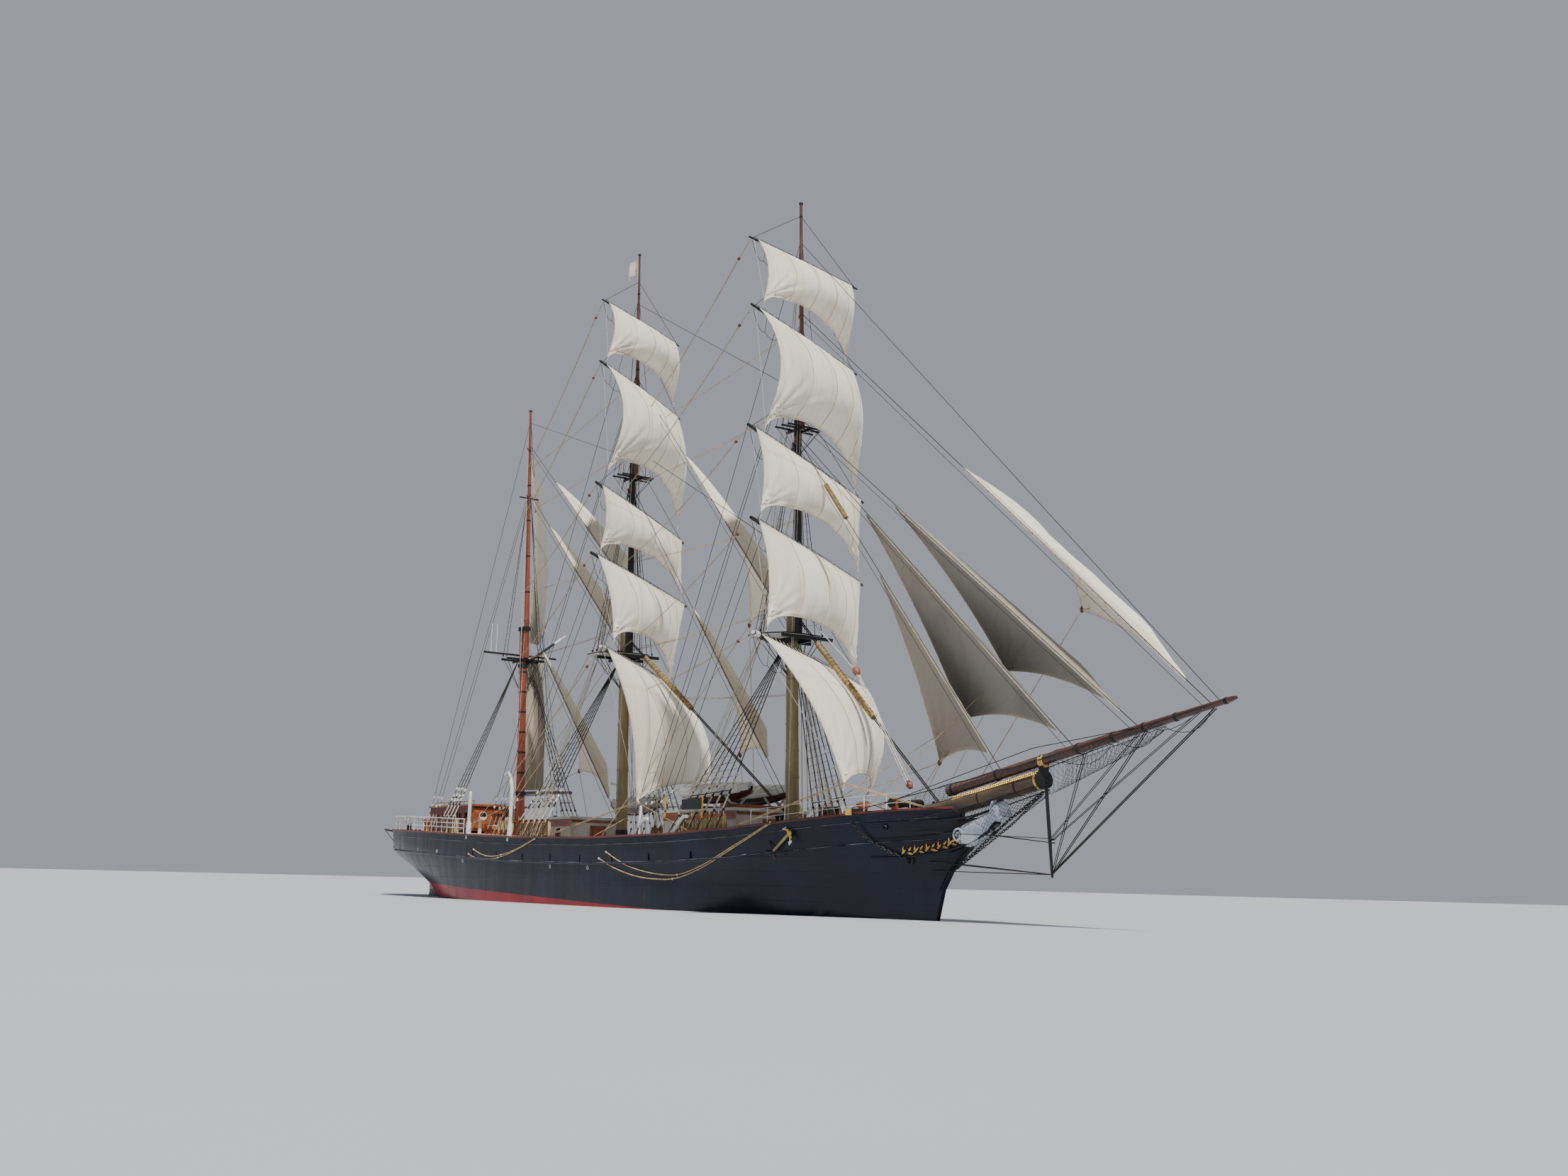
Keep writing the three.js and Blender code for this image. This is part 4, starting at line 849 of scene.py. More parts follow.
def build_mast(k):
    """One mast: lower mast, top, topmast, pole, caps, crosstrees and hoops."""
    m = MASTS[k]
    mast = Shape()
    mizzen = k == "mizzen"
    top, r0, r1 = m["lower"][2:]
    heel = m["upper"][1]
    foot = deck_at(m["x"]) - 0.03

    def stretch(part, low, high, profile, paint, sides):
        """A turned stretch of a spar between two heights."""
        mast.turned(mast_at(k, part, low), mast_at(k, part, high), profile, paint, sides)

    def beam(at, xs, ys, zs, paint="black_spar"):
        """A timber or iron beside a point of the mast."""
        mast.box((at.x + xs[0], ys[0], at.z + zs[0]), (at.x + xs[1], ys[1], at.z + zs[1]), paint)

    lower_paint = "mizzen_red" if mizzen else "mast_tan"
    stretch("lower", foot, top, [(t, r0 + (r1 - r0) * t) for t in (0, 0.25, 0.5, 0.75, 1)], lower_paint, 24)
    stretch("lower", foot, foot + (0.3 if mizzen else 0.95),
            [(0, r0 + 0.012), (0.5, r0 + 0.012), (0.94, r0 + 0.01), (1, r0)], "black_spar", 24)
    stretch("lower", foot, foot + 0.09, [(0, r0 + 0.09), (0.5, r0 + 0.08), (1, r0 + 0.02)], "white_paint", 24)
    for z in np.arange(foot + 1.3, heel - 0.1, 0.62):
        stretch("lower", z, z + 0.05, hoop(mast_radius(k, "lower", z), 0.009),
                "black_spar" if mizzen else lower_paint, 24)
    parts = ["upper"] if mizzen else ["upper", "pole"]
    for part in parts:
        _, low, high, a, b = m[part]
        if mizzen:
            edge = a + (b - a) * (MIZZEN_HOUNDS - low) / (high - low)
            stretch(part, low, MIZZEN_HOUNDS, [(0, a), (1, edge)], "mizzen_red", 16)
            stretch(part, MIZZEN_HOUNDS, high, [(0, edge), (0.5, (edge + b) / 2), (1, b)], "mizzen_red", 16)
        else:
            stretch(part, low, high, [(t, a + (b - a) * t) for t in (0, 0.2, 0.4, 0.6, 0.8, 1)],
                    "pole_brown" if part == "pole" else "black_spar", 18)
        for z in np.arange(low + 0.9, high - 0.3, 1.15):
            stretch(part, z, z + 0.04, hoop(mast_radius(k, part, z), 0.007), "black_iron", 14)

    at = mast_at(k, "lower", heel)
    if mizzen:
        for y in (-0.16, 0.16):
            beam(at, (-0.35, 0.45), (y - 0.03, y + 0.03), (-0.14, -0.06))
        for x in (-0.2, 0.2):
            beam(at, (x - 0.03, x + 0.03), (-0.62, 0.62), (-0.1, -0.03))
        low, high = (mast_at(k, "lower", top) + vec(-0.15, y, z - top) for y, z in ((-1.225, 7.38), (1.225, 7.435)))
        mast.box(low, high + vec(0.055, 0, 0), "black_spar")
        for y in (-1.0, -0.82):
            mast.tube([(low.x + 0.03, y, 7.43), (low.x + 0.03, y, 8.3)], 0.011, "white_paint", 6)
        beam(mast_at(k, "upper", 12.4), (-0.02, 0.02), (-0.32, 0.32), (-0.02, 0.02))
    else:
        for grow, low, high, paint in ((0, -0.045, -0.012, "black_spar"), (0.02, -0.085, -0.045, "deck_cover")):
            x0, x1, wide, narrow = -0.64 - grow, 0.46 + grow, 0.825 + grow, 0.5 + grow
            knuckle = x0 + (x1 - x0) * 0.55
            outline = [(x0, -wide), (x0, wide), (knuckle, wide), (x1, narrow), (x1 + 0.06, 0),
                       (x1, -narrow), (knuckle, -wide)]
            mast.slab([at + vec(x, y, low) for x, y in outline], UP * (high - low), paint)
        for y in (-0.17, 0.17):
            beam(at, (-0.55, 0.5), (y - 0.035, y + 0.035), (-0.2, -0.085))
        for x in (-0.24, 0.62):
            beam(at, (x - 0.035, x + 0.035), (-0.72, 0.72), (-0.16, -0.085))
        at = mast_at(k, "upper", m["pole"][1])
        for y in (-0.115, 0.115):
            beam(at, (-0.28, 0.4), (y - 0.025, y + 0.025), (-0.03, 0.03))
        for x, wide in ((-0.14, 0.55), (0.12, 0.55), (0.31, 0.5)):
            beam(at, (x - 0.022, x + 0.022), (-wide, wide), (0.03, 0.07))
    caps = [("lower", "upper", top - 0.04, r1, 0.06, 0.05, 0.1, 20)]
    if not mizzen:
        caps.append(("upper", "pole", m["upper"][2] - 0.05, m["upper"][4], 0.05, 0.035, 0.07, 16))
    for inner, outer, z, r, half, grow, wide, sides in caps:
        near, far = mast_at(k, inner, z), mast_at(k, outer, z)
        for p, radius in ((near, r), (far, mast_radius(k, outer, z))):
            mast.turned(p - UP * half, p + UP * half, hoop(radius, grow, 0.01), "black_iron", sides)
        mast.box((near.x, -wide, z - half + 0.01), (far.x, wide, z + half - 0.01), "black_iron")
    last = m[parts[-1]]
    mast.ball(mast_at(k, parts[-1], last[2]), last[4] + 0.024, "black_spar", 12, 0.8)
    mast.piece(f"{k}_mast", SHIP, (f"{k}_lower_mast", f"{k}_topmast"), "varnish" if mizzen else "tan_paint")


# Yards


def build_yard(yard):
    """A yard with its bands, jackstay, truss, footropes and lifts."""
    spar = Shape()
    half = yard.long / 2
    shares = [-1, -0.985, -0.8, -0.6, -0.4, -0.2, -0.1, 0.1, 0.2, 0.4, 0.6, 0.8, 0.985, 1]
    tip = half * 0.93
    end_r = yard.radius(half)
    spar.tube([yard.at(t * half) for t in shares], [yard.radius(t * half) for t in shares], "black_spar", 16)
    ring = BAND_GAP + mast_radius(yard.mast, yard.on, yard.axis.z)
    spar.loft(collar(yard.axis, yard.mast, ring, 0.04, 0.02, 29), "black_iron", ends=False)
    for side in (-1, 1):
        spar.tube([yard.at(side * s) for s in (tip, half * 0.985, half + 0.012)],
                  [yard.radius(tip) + 0.004, end_r + 0.004, end_r * 0.8],
                  "white_paint" if yard.name == "course" else "black_iron", 16)
        for s in (0.12, 0.3, 0.5, 0.7, 0.88):
            w = 0.02 + yard.r * 0.16
            spar.tube([yard.at(side * half * s - w), yard.at(side * half * s + w)],
                      yard.radius(half * s) + 0.006, "black_iron", 16)
        spar.tube([yard.axis + yard.along * (0.045 * side) + yard.ahead * ring,
                   yard.at(0.13 * side, -yard.r * 0.8)], 0.026, "black_iron", 8)
    spar.piece(f"{yard.node}_spar", yard.node, (f"{yard.node}_yard",), "black_paint")

    gear = Ropes()
    gear.run(*[yard.at(t * half, yard.r * 0.35, yard.radius(t * half) + 0.02) for t in np.linspace(-0.93, 0.93, 13)],
             r=0.007)
    hang, rise = FOOTROPES_AND_LIFTS[yard.name]
    knots = np.linspace(0.06, 0.9, 5)
    for side in (-1, 1):
        for s in knots[1:-1]:
            gear.run(yard.at(side * s * half, -yard.r, 0), yard.at(side * s * half, -yard.r - 0.05, -hang), r=0.005)
        for a, b in zip(knots[:-1], knots[1:]):
            path = []
            for t in np.linspace(0, 1, 5):
                level = -hang - 0.07 * 4 * t * (1 - t)
                if a == knots[0]:
                    level += hang * (1 - t) ** 2
                if b == knots[-1]:
                    level += hang * t ** 2
                path.append(yard.at(side * (a + (b - a) * t) * half, -yard.r - 0.05, level))
            gear.run(*path, r=0.006)
        if rise:
            head = mast_at(yard.mast, yard.on, yard.axis.z + rise)
            r = mast_radius(yard.mast, yard.on, head.z) if yard.on != "lower" else 0.13
            gear.run(yard.at(side * half * 0.94, 0, yard.radius(half * 0.94)),
                     head + yard.along * (side * (r + 0.03)), r=0.007)
    gear.piece(f"{yard.node}_footropes", yard.node, "rope_tarred")


# Sails


def grid_normals(grid):
    """Unit normals of a grid of points."""
    normal = np.cross(np.gradient(grid, axis=0), np.gradient(grid, axis=1))
    return normal / np.linalg.norm(normal, axis=2, keepdims=True)


def cloth_piece(name, body, grid, metres, hem, paint, thick=0.005):
    """A thin closed sheet: a grid of points, its cloth coordinates and its hem values."""
    shape = Shape()
    nu, nv = grid.shape[:2]
    normal = grid_normals(grid)
    cloth = [(float(a), float(b), float(h)) for (a, b), h in zip(metres.reshape(-1, 2), hem.reshape(-1))]
    front = (grid + normal * (thick / 2)).reshape(-1, 3)
    back = (grid - normal * (thick / 2)).reshape(-1, 3)
    count = nu * nv
    at = np.arange(count).reshape(nu, nv)
    a, b, c, d = at[:-1, :-1], at[1:, :-1], at[1:, 1:], at[:-1, 1:]
    faces = np.stack([a, b, c, d], axis=-1).reshape(-1, 4)
    others = np.stack([d, c, b, a], axis=-1).reshape(-1, 4) + count
    loop = np.concatenate([at[:, 0], at[-1, 1:], at[-2::-1, -1], at[0, -2:0:-1]])
    after = np.roll(loop, -1)
    rim = np.stack([after, loop, loop + count, after + count], axis=-1)
    shape.add([Vector(p) for p in np.concatenate([front, back])],
              np.concatenate([faces, others, rim]).tolist(), paint, cloth * 2)
    return shape.piece(name, body, angle=60, fix_normals=False)


def fine_steps(long, hem_width, count):
    """Shares from 0 to 1 with a narrow strip at each end for the hem."""
    edge = hem_width / long
    inner = np.linspace(edge * 1.35, 1 - edge * 1.35, count)
    return np.concatenate([[0, edge], inner, [1 - edge, 1]])


def hem_of(us, vs, edge_u, edge_v):
    """1 in the hem, 0 inside it."""
    near_u = (np.minimum(us, 1 - us) <= edge_u + 1e-6).astype(float)
    near_v = (np.minimum(vs, 1 - vs) <= edge_v + 1e-6).astype(float)
    return np.maximum(near_u[:, None], near_v[None, :])


BUNTLINES = (0.22, 0.44, 0.66, 0.86)
# Clews of the square sails: distance along the yard below and height above it, starboard then port
CLEWS = {
    "fore_royal": ((2.31, 0.245), (2.105, 0.275)), "fore_topgallant": ((2.98, 0.185), (3.025, 0.16)),
    "fore_upper_topsail": ((3.635, 0.21), (3.61, 0.22)), "fore_lower_topsail": ((4.3, 0.265), (3.54, 0.18)),
    "main_royal": ((2.48, 0.235), (2.215, 0.325)), "main_topgallant": ((3.11, 0.525), (3.13, 0.425)),
    "main_upper_topsail": ((3.53, 0.22), (3.45, 0.14)), "main_lower_topsail": ((3.99, 0.355), (3.225, 0.185)),
}


def sail_corners(yard):
    """Starboard and port clew."""
    if yard.name == "course":
        return [Vector(COURSE_CLEWS[yard.mast][side]) for side in (1, -1)]
    low = RIG[f"{yard.mast}_{NEXT_YARD[yard.name]}"]
    (ss, sz), (ps, pz) = CLEWS[yard.node]
    return [low.at(ss, 0.03, sz), low.at(-ps, 0.03, pz)]


def square_surface(yard, us, vs, detail=True):
    """Points of a square sail; us run from starboard to port, vs from head to foot."""
    bare, leeches, belly, arch, _ = SQUARE_CUTS[yard.name]
    reach = yard.long / 2 - bare
    star, port = (np.array(c) for c in sail_corners(yard))
    u, v = np.meshgrid(us, vs, indexing="ij")
    s = reach * (1 - 2 * u)
    radii = np.array([[yard.radius(float(x)) for x in row] for row in s])
    along, ahead = np.array(yard.along), np.array(yard.ahead)
    head = np.array(yard.centre) + s[..., None] * along
    head = head + (radii * 0.96 + 0.014)[..., None] * ahead + (radii * 0.2)[..., None] * np.array(UP)
    foot = star + (port - star) * u[..., None]
    point = head + (foot - head) * v[..., None]
    drop = float(head[0, 0, 2] - star[2] + head[-1, 0, 2] - port[2]) / 2
    point[..., 2] += arch * drop * np.sin(np.pi * u) ** 0.5 * v ** 2.2
    lean = 0.022 * reach * 2 * np.sin(np.pi * v) * np.abs(1 - 2 * u) ** 1.5
    point += (along * -1)[None, None] * (lean * np.sign(1 - 2 * u))[..., None]
    edges = (leeches[0] + (leeches[1] - leeches[0]) * u) * np.sin(np.pi * v ** 0.85)
    middle = belly * np.sin(np.pi * u) ** 0.7 * np.sin(np.pi * 0.79 * v ** 0.8)
    depth = edges + middle
    if detail:
        wave = 0.0
        for c, way in ((0, 1), (1, -1)):
            du = (u if c == 0 else 1 - u) * reach * 2
            dv = (1 - v) * drop
            far = np.sqrt(du ** 2 + dv ** 2) + 0.05
            angle = np.arctan2(dv, du)
            fade = np.exp(-far / (0.3 * drop)) * np.clip(far / 0.25, 0, 1)
            wave = wave + 0.05 * fade * np.sin(angle * 17 + way) + 0.02 * fade * np.sin(angle * 31)
        puckers = 0.014 * np.sin(2 * np.pi * u * 17) * np.exp(-v * drop / 0.5)
        gathers = 0.0
        for line in BUNTLINES:
            off = (u - line) * reach * 2
            gathers = gathers - 0.045 * np.exp(-(off / 0.3) ** 2) * np.clip(v * 1.6, 0, 1)
            gathers = gathers + 0.005 * np.exp(-(off / 0.12) ** 2) * np.sin(v * drop / 0.11)
        foot_roll = 0.012 * np.sin(2 * np.pi * u * 9) * np.exp(-(1 - v) * drop / 0.4)
        calm = np.sin(np.pi * np.clip(u * 14, 0, 0.5)) * np.sin(np.pi * np.clip((1 - u) * 14, 0, 0.5))
        depth = depth + (wave + gathers * calm + puckers + foot_roll * calm) * np.clip(v * 12, 0, 1)
    return point + ahead[None, None] * depth[..., None]


def build_square_sail(yard):
    """A square sail with its bolt rope, reef points, robands and buntlines."""
    bare, _, _, _, reefs = SQUARE_CUTS[yard.name]
    reach = yard.long / 2 - bare
    star, port = sail_corners(yard)
    bottom = (port - star).length
    drop = (yard.at(reach).z - star.z + yard.at(-reach).z - port.z) / 2
    us, vs = fine_steps(reach * 2, HEM, 64), fine_steps(drop, HEM, 34)
    grid = square_surface(yard, us, vs)
    metres = np.empty((*grid.shape[:2], 2))
    metres[..., 0] = (us - 0.5)[:, None] * (reach * 2 + (bottom - reach * 2) * vs[None, :])
    metres[..., 1] = vs[None, :] * drop
    hem = hem_of(us, vs, us[1], vs[1])
    if reefs:
        band = np.abs(vs - REEF) < 0.02
        hem[:, band] = np.maximum(hem[:, band], 0.8)
    sail = cloth_piece(f"{yard.node}_canvas", yard.node, grid, metres, hem, "canvas", 0.006)
    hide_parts(f"{yard.node}_sail")

    edge = Ropes()
    for path in (grid[0, ::2], grid[-1, ::2], grid[::2, -1]):
        edge.run(*[Vector(p) + yard.ahead * 0.004 for p in path], r=0.013)
    for corner, s in ((star, reach + 0.12), (port, -reach - 0.12)):
        edge.run(corner + yard.ahead * 0.03, corner - UP * 0.14, r=0.012)
        edge.run(yard.at(s, 0, -yard.radius(s)), corner + yard.ahead * 0.02, r=0.004)
    for u in np.linspace(0.01, 0.99, int(reach * 2 / 0.3)):
        p = Vector(square_surface(yard, np.array([u]), np.array([0.006]), False)[0, 0])
        s = reach * (1 - 2 * u)
        edge.run(p + yard.ahead * 0.006, yard.at(s, yard.r * 0.35, yard.radius(s) + 0.024), r=0.004)
    bolt = edge.piece(f"{yard.node}_bolt_rope", yard.node, "rope_white")

    lines = Ropes()
    for u in BUNTLINES:
        column = square_surface(yard, np.array([u]), np.linspace(0, 1, 26))[0]
        lines.run(*[Vector(p) + yard.ahead * 0.014 for p in column], r=0.005)
    if reefs:
        for u in np.linspace(0.03, 0.97, 22):
            p = Vector(square_surface(yard, np.array([u]), np.array([REEF]))[0, 0]) + yard.ahead * 0.01
            lines.run(p, p - UP * 0.16 + yard.along * 0.01, p - UP * 0.3, r=0.004)
    lines.piece(f"{yard.node}_buntlines", yard.node, "rope_hemp")
    wide = max(reach * 2, bottom) + 0.1
    area = quad_area(grid) * 0.98
    max(drop + 0.1, area / wide)


def sail_stay(row):
    """Start of a sail's stay on the mast's face, its lower end, and its line's start on the mast's axis."""
    (mast, part, z), (x, end_z) = row[1:3]
    top = mast_at(mast, part, z)
    end = vec(x, 0, end_z)
    return top + (end - top).normalized() * (mast_radius(mast, part, z) * 0.9), end, top


def stay_sail_surface(row, ws, ts):
    """Points of a sail on a stay: ws run from the luff to the leech, ts from the foot to the head."""
    head, tack, clew, belly, fall = row[3:]
    _, end, top = sail_stay(row)
    below = vec(-(top.z - end.z), 0, -(end.x - top.x)).normalized()
    h, k = (np.array(top.lerp(end, s) + below * 0.035) for s in (head, tack))
    c = np.array(clew)
    w, t = np.meshgrid(ws, ts, indexing="ij")
    luff = k + (h - k) * t[..., None]
    leech = c + (h - c) * t[..., None]
    span = np.linalg.norm(h - c)
    middle = (h + c + k) / 3
    inward = middle - (h + c) / 2
    inward = inward / np.linalg.norm(inward)
    leech = leech + inward * (0.075 * span * np.sin(np.pi * t) ** 0.9)[..., None]
    point = luff + (leech - luff) * w[..., None]
    outward = (k + c) / 2 - h
    outward = outward / np.linalg.norm(outward)
    hollow_foot = 0.07 * np.linalg.norm(k - c) * np.sin(np.pi * w) * (1 - t) ** 5
    point = point - outward * hollow_foot[..., None]
    normal = np.cross(h - k, c - k)
    normal = normal / np.linalg.norm(normal)
    if normal[1] < 0:
        normal = -normal
    full = np.sin(np.pi * w ** 0.55) ** 0.85 * (1 - t) ** 0.6 * (0.35 + 0.65 * np.clip(t * 7, 0, 1))
    depth = belly * full + fall * w ** 2 * np.sin(np.pi * t)
    far = np.linalg.norm(point - c, axis=2) + 0.05
    turn = np.arctan2((1 - w) * np.linalg.norm(k - c), t * span)
    fade = np.exp(-far / (0.16 * span)) * np.clip(far / 0.2, 0, 1)
    depth = depth + fade * (0.05 * np.sin(turn * 19) + 0.02 * np.sin(turn * 41 + 1))
    length = np.linalg.norm(h - k)
    depth = depth + 0.015 * np.sin(2 * np.pi * t * length / 0.45) * np.exp(-w / 0.06) * np.clip(w * 60, 0, 1)
    return point + normal * depth[..., None]


def build_stay_sail(row):
    """A sail on a stay, with its stay, bolt rope and hanks."""
    name, _, _, head, tack, clew = row[:6]
    start, end, top = sail_stay(row)
    luff = (top.lerp(end, head) - top.lerp(end, tack)).length
    corner = Vector(clew)
    base = (top.lerp(end, tack) - corner).length
    leech = (top.lerp(end, head) - corner).length
    ws = fine_steps(base, HEM, 34)
    ts = np.concatenate([[0, HEM / luff], np.linspace(0.12 / luff, 0.985, 42)])
    grid = stay_sail_surface(row, ws, ts)
    metres = np.empty((*grid.shape[:2], 2))
    metres[..., 0] = ts[None, :] * leech * np.ones_like(ws)[:, None] + ws[:, None] * base * 0.45
    metres[..., 1] = ws[:, None] * base * (1 - ts[None, :])
    hem = np.maximum((np.minimum(ws, 1 - ws) <= ws[1] + 1e-6)[:, None] * 1.0, (ts <= ts[1] + 1e-6)[None, :] * 1.0)
    # The grey canvas of these headsails is partly painted shade
    paint = "canvas_worn" if name in WORN_AND_SHADED_SAILS else "canvas"
    sail = cloth_piece(f"{name}_canvas", SHIP, grid, metres, hem, paint)
    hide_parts(name)
    area = quad_area(grid) * 0.98
    edge, stay = Ropes(), Ropes()
    for path in (grid[0, ::3], grid[-1, ::2], grid[::2, 0]):
        edge.run(*path, r=0.009)
    stay.run(start, end, r=0.008)
    stay.run(start + vec(0, -0.05, -0.12), end + vec(-0.2, -0.03, 0.0), r=0.0055)
    stay.piece(f"{name}_stay", SHIP, "rope_tarred", 6)
    for s in np.arange(tack, head, -0.42 / (end - top).length):
        p = top.lerp(end, s)
        q = Vector(stay_sail_surface(row, np.array([0.0]), np.array([(tack - s) / (tack - head)]))[0, 0])
        edge.run(p + (p - q) * 0.5 + vec(0, 0.012, 0), q, r=0.006)
    bolt = edge.piece(f"{name}_bolt_rope", SHIP, "rope_white")


# Spanker

SWING = radians(50)
# Height at the mast, length, rise, radius
BOOM = (3.15, 4.05, 0.25, 0.078)
GAFF = (7.06, 3.35, 1.45, 0.05)


def swung(r, z):
    """A point a distance out from the mizzen mast on the spanker's side."""
    at = mast_at("mizzen", "lower", z)
    return vec(at.x - r * cos(SWING), r * sin(SWING), z)


def along_gaff(r):
    """A point on the axis of the gaff."""
    z, long, rise, _ = GAFF
    share = r / long
    return swung(r, z + rise * share)


def build_spanker():
    """Boom, gaff, the brailed spanker and the gaff topsail above it."""
    spars = Shape()
    z, long, rise, r = BOOM
    heel, end = swung(0.2, z), swung(long, z + rise)
    spars.turned(heel, end, [(0, r * 0.8), (0.1, r), (0.5, r), (0.9, r * 0.7), (1, r * 0.6)], "varnish_spar", 14)
    for a, b, paint in ((0.17, 2.4, "black_spar"), (2.4, GAFF[1], "white_paint")):
        r0, r1 = (GAFF[3] * (1 - 0.38 * max(0, d / GAFF[1] - 0.4) / 0.6) for d in (a, b))
        spars.turned(along_gaff(a), along_gaff(b), [(0, r0), (1, r1)], paint, 12)
    run = (end - heel).normalized() * 0.03
    for share in (0.3, 0.55, 0.8, 0.97):
        a = heel.lerp(end, share)
        spars.tube([a - run, a + run], r * (1.12 - 0.35 * share), "black_iron", 14)
    for height in (z, GAFF[0]):
        at = mast_at("mizzen", "lower", height)
        band = collar(at, "mizzen", mast_radius("mizzen", "lower", height) + BAND_GAP, 0.05, 0.022, 25)
        spars.loft(band, "black_iron", ends=False)
    spars.piece("spanker_spars", SPANKER_BODY, ("spanker_boom", "spanker_gaff"), "varnish")

    edge, brails = Ropes(), Ropes()
    sails = (
        ("spanker", [swung(0.19, 3.26), swung(1.75, 3.38), along_gaff(1.5), along_gaff(0.19)], 0.3, True),
        ("gaff_topsail", [swung(0.3, 7.85), along_gaff(1.6) + UP * 0.07, swung(0.3, 13.8), swung(0.24, 13.8)],
         0.26, False),
    )
    for name, (tack, clew, peak, throat), belly, brailed in sails:
        corners = [np.array(p) for p in (tack, clew, peak, throat)]
        wide = (clew - tack).length
        high = max((throat - tack).length, (peak - clew).length)
        us, vs = fine_steps(wide, 0.05, 96 if brailed else 40), fine_steps(high, 0.08, 34)
        u, v = np.meshgrid(us, vs, indexing="ij")
        low = corners[0] + (corners[1] - corners[0]) * u[..., None]
        top = corners[3] + (corners[2] - corners[3]) * u[..., None]
        if brailed:
            top = top - np.array(UP) * 0.06
        else:
            gaff_line = np.array(along_gaff(0.2)) * (1 - u[..., None]) + np.array(along_gaff(3.15)) * u[..., None]
            low[..., 2] = np.maximum(low[..., 2], gaff_line[..., 2] + 0.075)
        point = low + (top - low) * v[..., None]
        round_up = np.sin(np.pi * v)
        depth = belly * np.sin(np.pi * u ** 0.8) * np.sin(np.pi * (0.12 + 0.8 * v))
        if brailed:
            folds = 0.075 * np.sin(2 * np.pi * u * 9 + 1.3 * np.sin(v * 5))
            folds = folds + 0.02 * np.sin(2 * np.pi * u * 22 + v * 3)
            depth = depth + folds * np.clip(u * 5, 0, 1) * (0.35 + 0.65 * round_up)
            point = point + (corners[0] - corners[1])[None, None] * (0.09 * round_up * u)[..., None]
        else:
            creases = 0.03 * np.exp(-(1 - u) * 3 - v * 3) * np.sin(np.arctan2(v + 0.01, 1.01 - u) * 17)
            depth = depth + creases + 0.025 * np.sin(2 * np.pi * u * 5 + 2 * v) * round_up + 0.2 * round_up ** 0.7
        grid = point + np.array((sin(SWING), cos(SWING), 0)) * depth[..., None]
        metres = np.stack([u * wide, v * high], axis=-1)
        # The brailed spanker is in the darker copy of the canvas, painted shade; the gaff topsail's grey canvas is
        # partly painted shade
        sail = cloth_piece(f"{name}_canvas", SPANKER_BODY, grid, metres, hem_of(us, vs, us[1], vs[1]),
                           "canvas_old" if brailed else "canvas_worn")
        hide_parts(name)
        for path in (grid[0, ::3], grid[-1, ::2], grid[::2, 0], grid[::2, -1]):
            edge.run(*path, r=0.009)
        area = quad_area(grid)
        if brailed:
            cut = np.array([[swung(0.19, 3.26), along_gaff(0.19)], [swung(3.65, 3.48), along_gaff(2.95)]])
            wide, high, area = 3.5, 4.85, quad_area(cut)
    for share in (0.25, 0.45, 0.65, 0.85):
        brails.run(along_gaff(3.0 * share), swung(3.3 * share, 5.4), swung(0.15, 4.6 + share), r=0.005)
    for s in (3.8, 2.6):
        brails.run(swung(s, z + rise * s / long + 0.07), mast_at("mizzen", "lower", 7.9) + vec(0, 0.13, 0), r=0.006)
    for s, height in ((3.2, 10.6), (2.0, 9.9)):
        brails.run(along_gaff(s), mast_at("mizzen", "upper", height) + vec(0, 0.09, 0), r=0.006)
    brails.piece("spanker_brails", SPANKER_BODY, "rope_hemp")
    edge.piece("spanker_bolt_ropes", SPANKER_BODY, "rope_white")


def quad_area(grid):
    """Surface of one side of a grid."""
    a, b, c, d = grid[:-1, :-1], grid[1:, :-1], grid[1:, 1:], grid[:-1, 1:]
    first = np.linalg.norm(np.cross(b - a, c - a), axis=2)
    second = np.linalg.norm(np.cross(c - a, d - a), axis=2)
    return float((first + second).sum() / 2)


# Bowsprit


def build_bowsprit():
    """Bowsprit, its cap, jibboom and dolphin striker."""
    spars = Shape()
    a, b = vec(12.35, 0, 2.07), vec(16.22, 0, 2.74)
    spars.turned(a, b, [(0, 0.19), (0.35, 0.188), (0.7, 0.178), (1, 0.165)], "ochre_paint", 24)
    run = (b - a).normalized() * 0.02
    for share in (0.55, 0.82):
        p = a.lerp(b, share)
        spars.tube([p - run, p + run], 0.196 - 0.02 * share, "black_iron", 24)
    for z, r, paint in ((2.745, 0.186, "black_iron"), (3.09, 0.128, "gold_leaf")):
        spars.tube([(16.13, 0, z - 0.01), (16.24, 0, z + 0.01)], r, paint, 24)
    spars.tube([(16.07, 0, 2.725), (16.12, 0, 2.735)], 0.19, "gold_leaf", 24)
    spars.box((16.14, -0.09, 2.75), (16.23, 0.09, 3.09), "black_iron")
    a, b = JIBBOOM
    taper = [(0, 0.11), (0.36, 0.11), (0.6, 0.095), (0.8, 0.075), (0.985, 0.05)]
    spars.turned(a, b, [*taper, (1, 0.03)], "varnish_spar", 20)
    run = (b - a).normalized() * 0.025
    for share in (0.02, 0.2, 0.37, 0.5, 0.62, 0.72, 0.82, 0.97):
        p, r = a.lerp(b, share), float(np.interp(share, *zip(*taper)))
        spars.tube([p - run, p + run], r + 0.009, "black_iron", 20)
    spars.turned((16.25, 0, 2.6), (16.4, 0, 0.9), [(0, 0.034), (0.5, 0.036), (0.97, 0.026), (1, 0.02)],
                 "black_spar", 12)
    spars.piece("bowsprit_and_jibboom", SHIP, ("bowsprit", "jibboom"), "ochre")


# Standing rigging

# Shrouds: mast, height of the hounds, feet along the rail
SHROUDS = {
    "fore": (6.42, [7.75, 7.4, 7.05, 6.7, 6.35, 6.0]),
    "main": (6.77, [-0.2, -0.55, -0.9, -1.25, -1.6, -1.95]),
    "mizzen": (7.38, [-6.3, -6.6, -6.9, -7.2]),
}
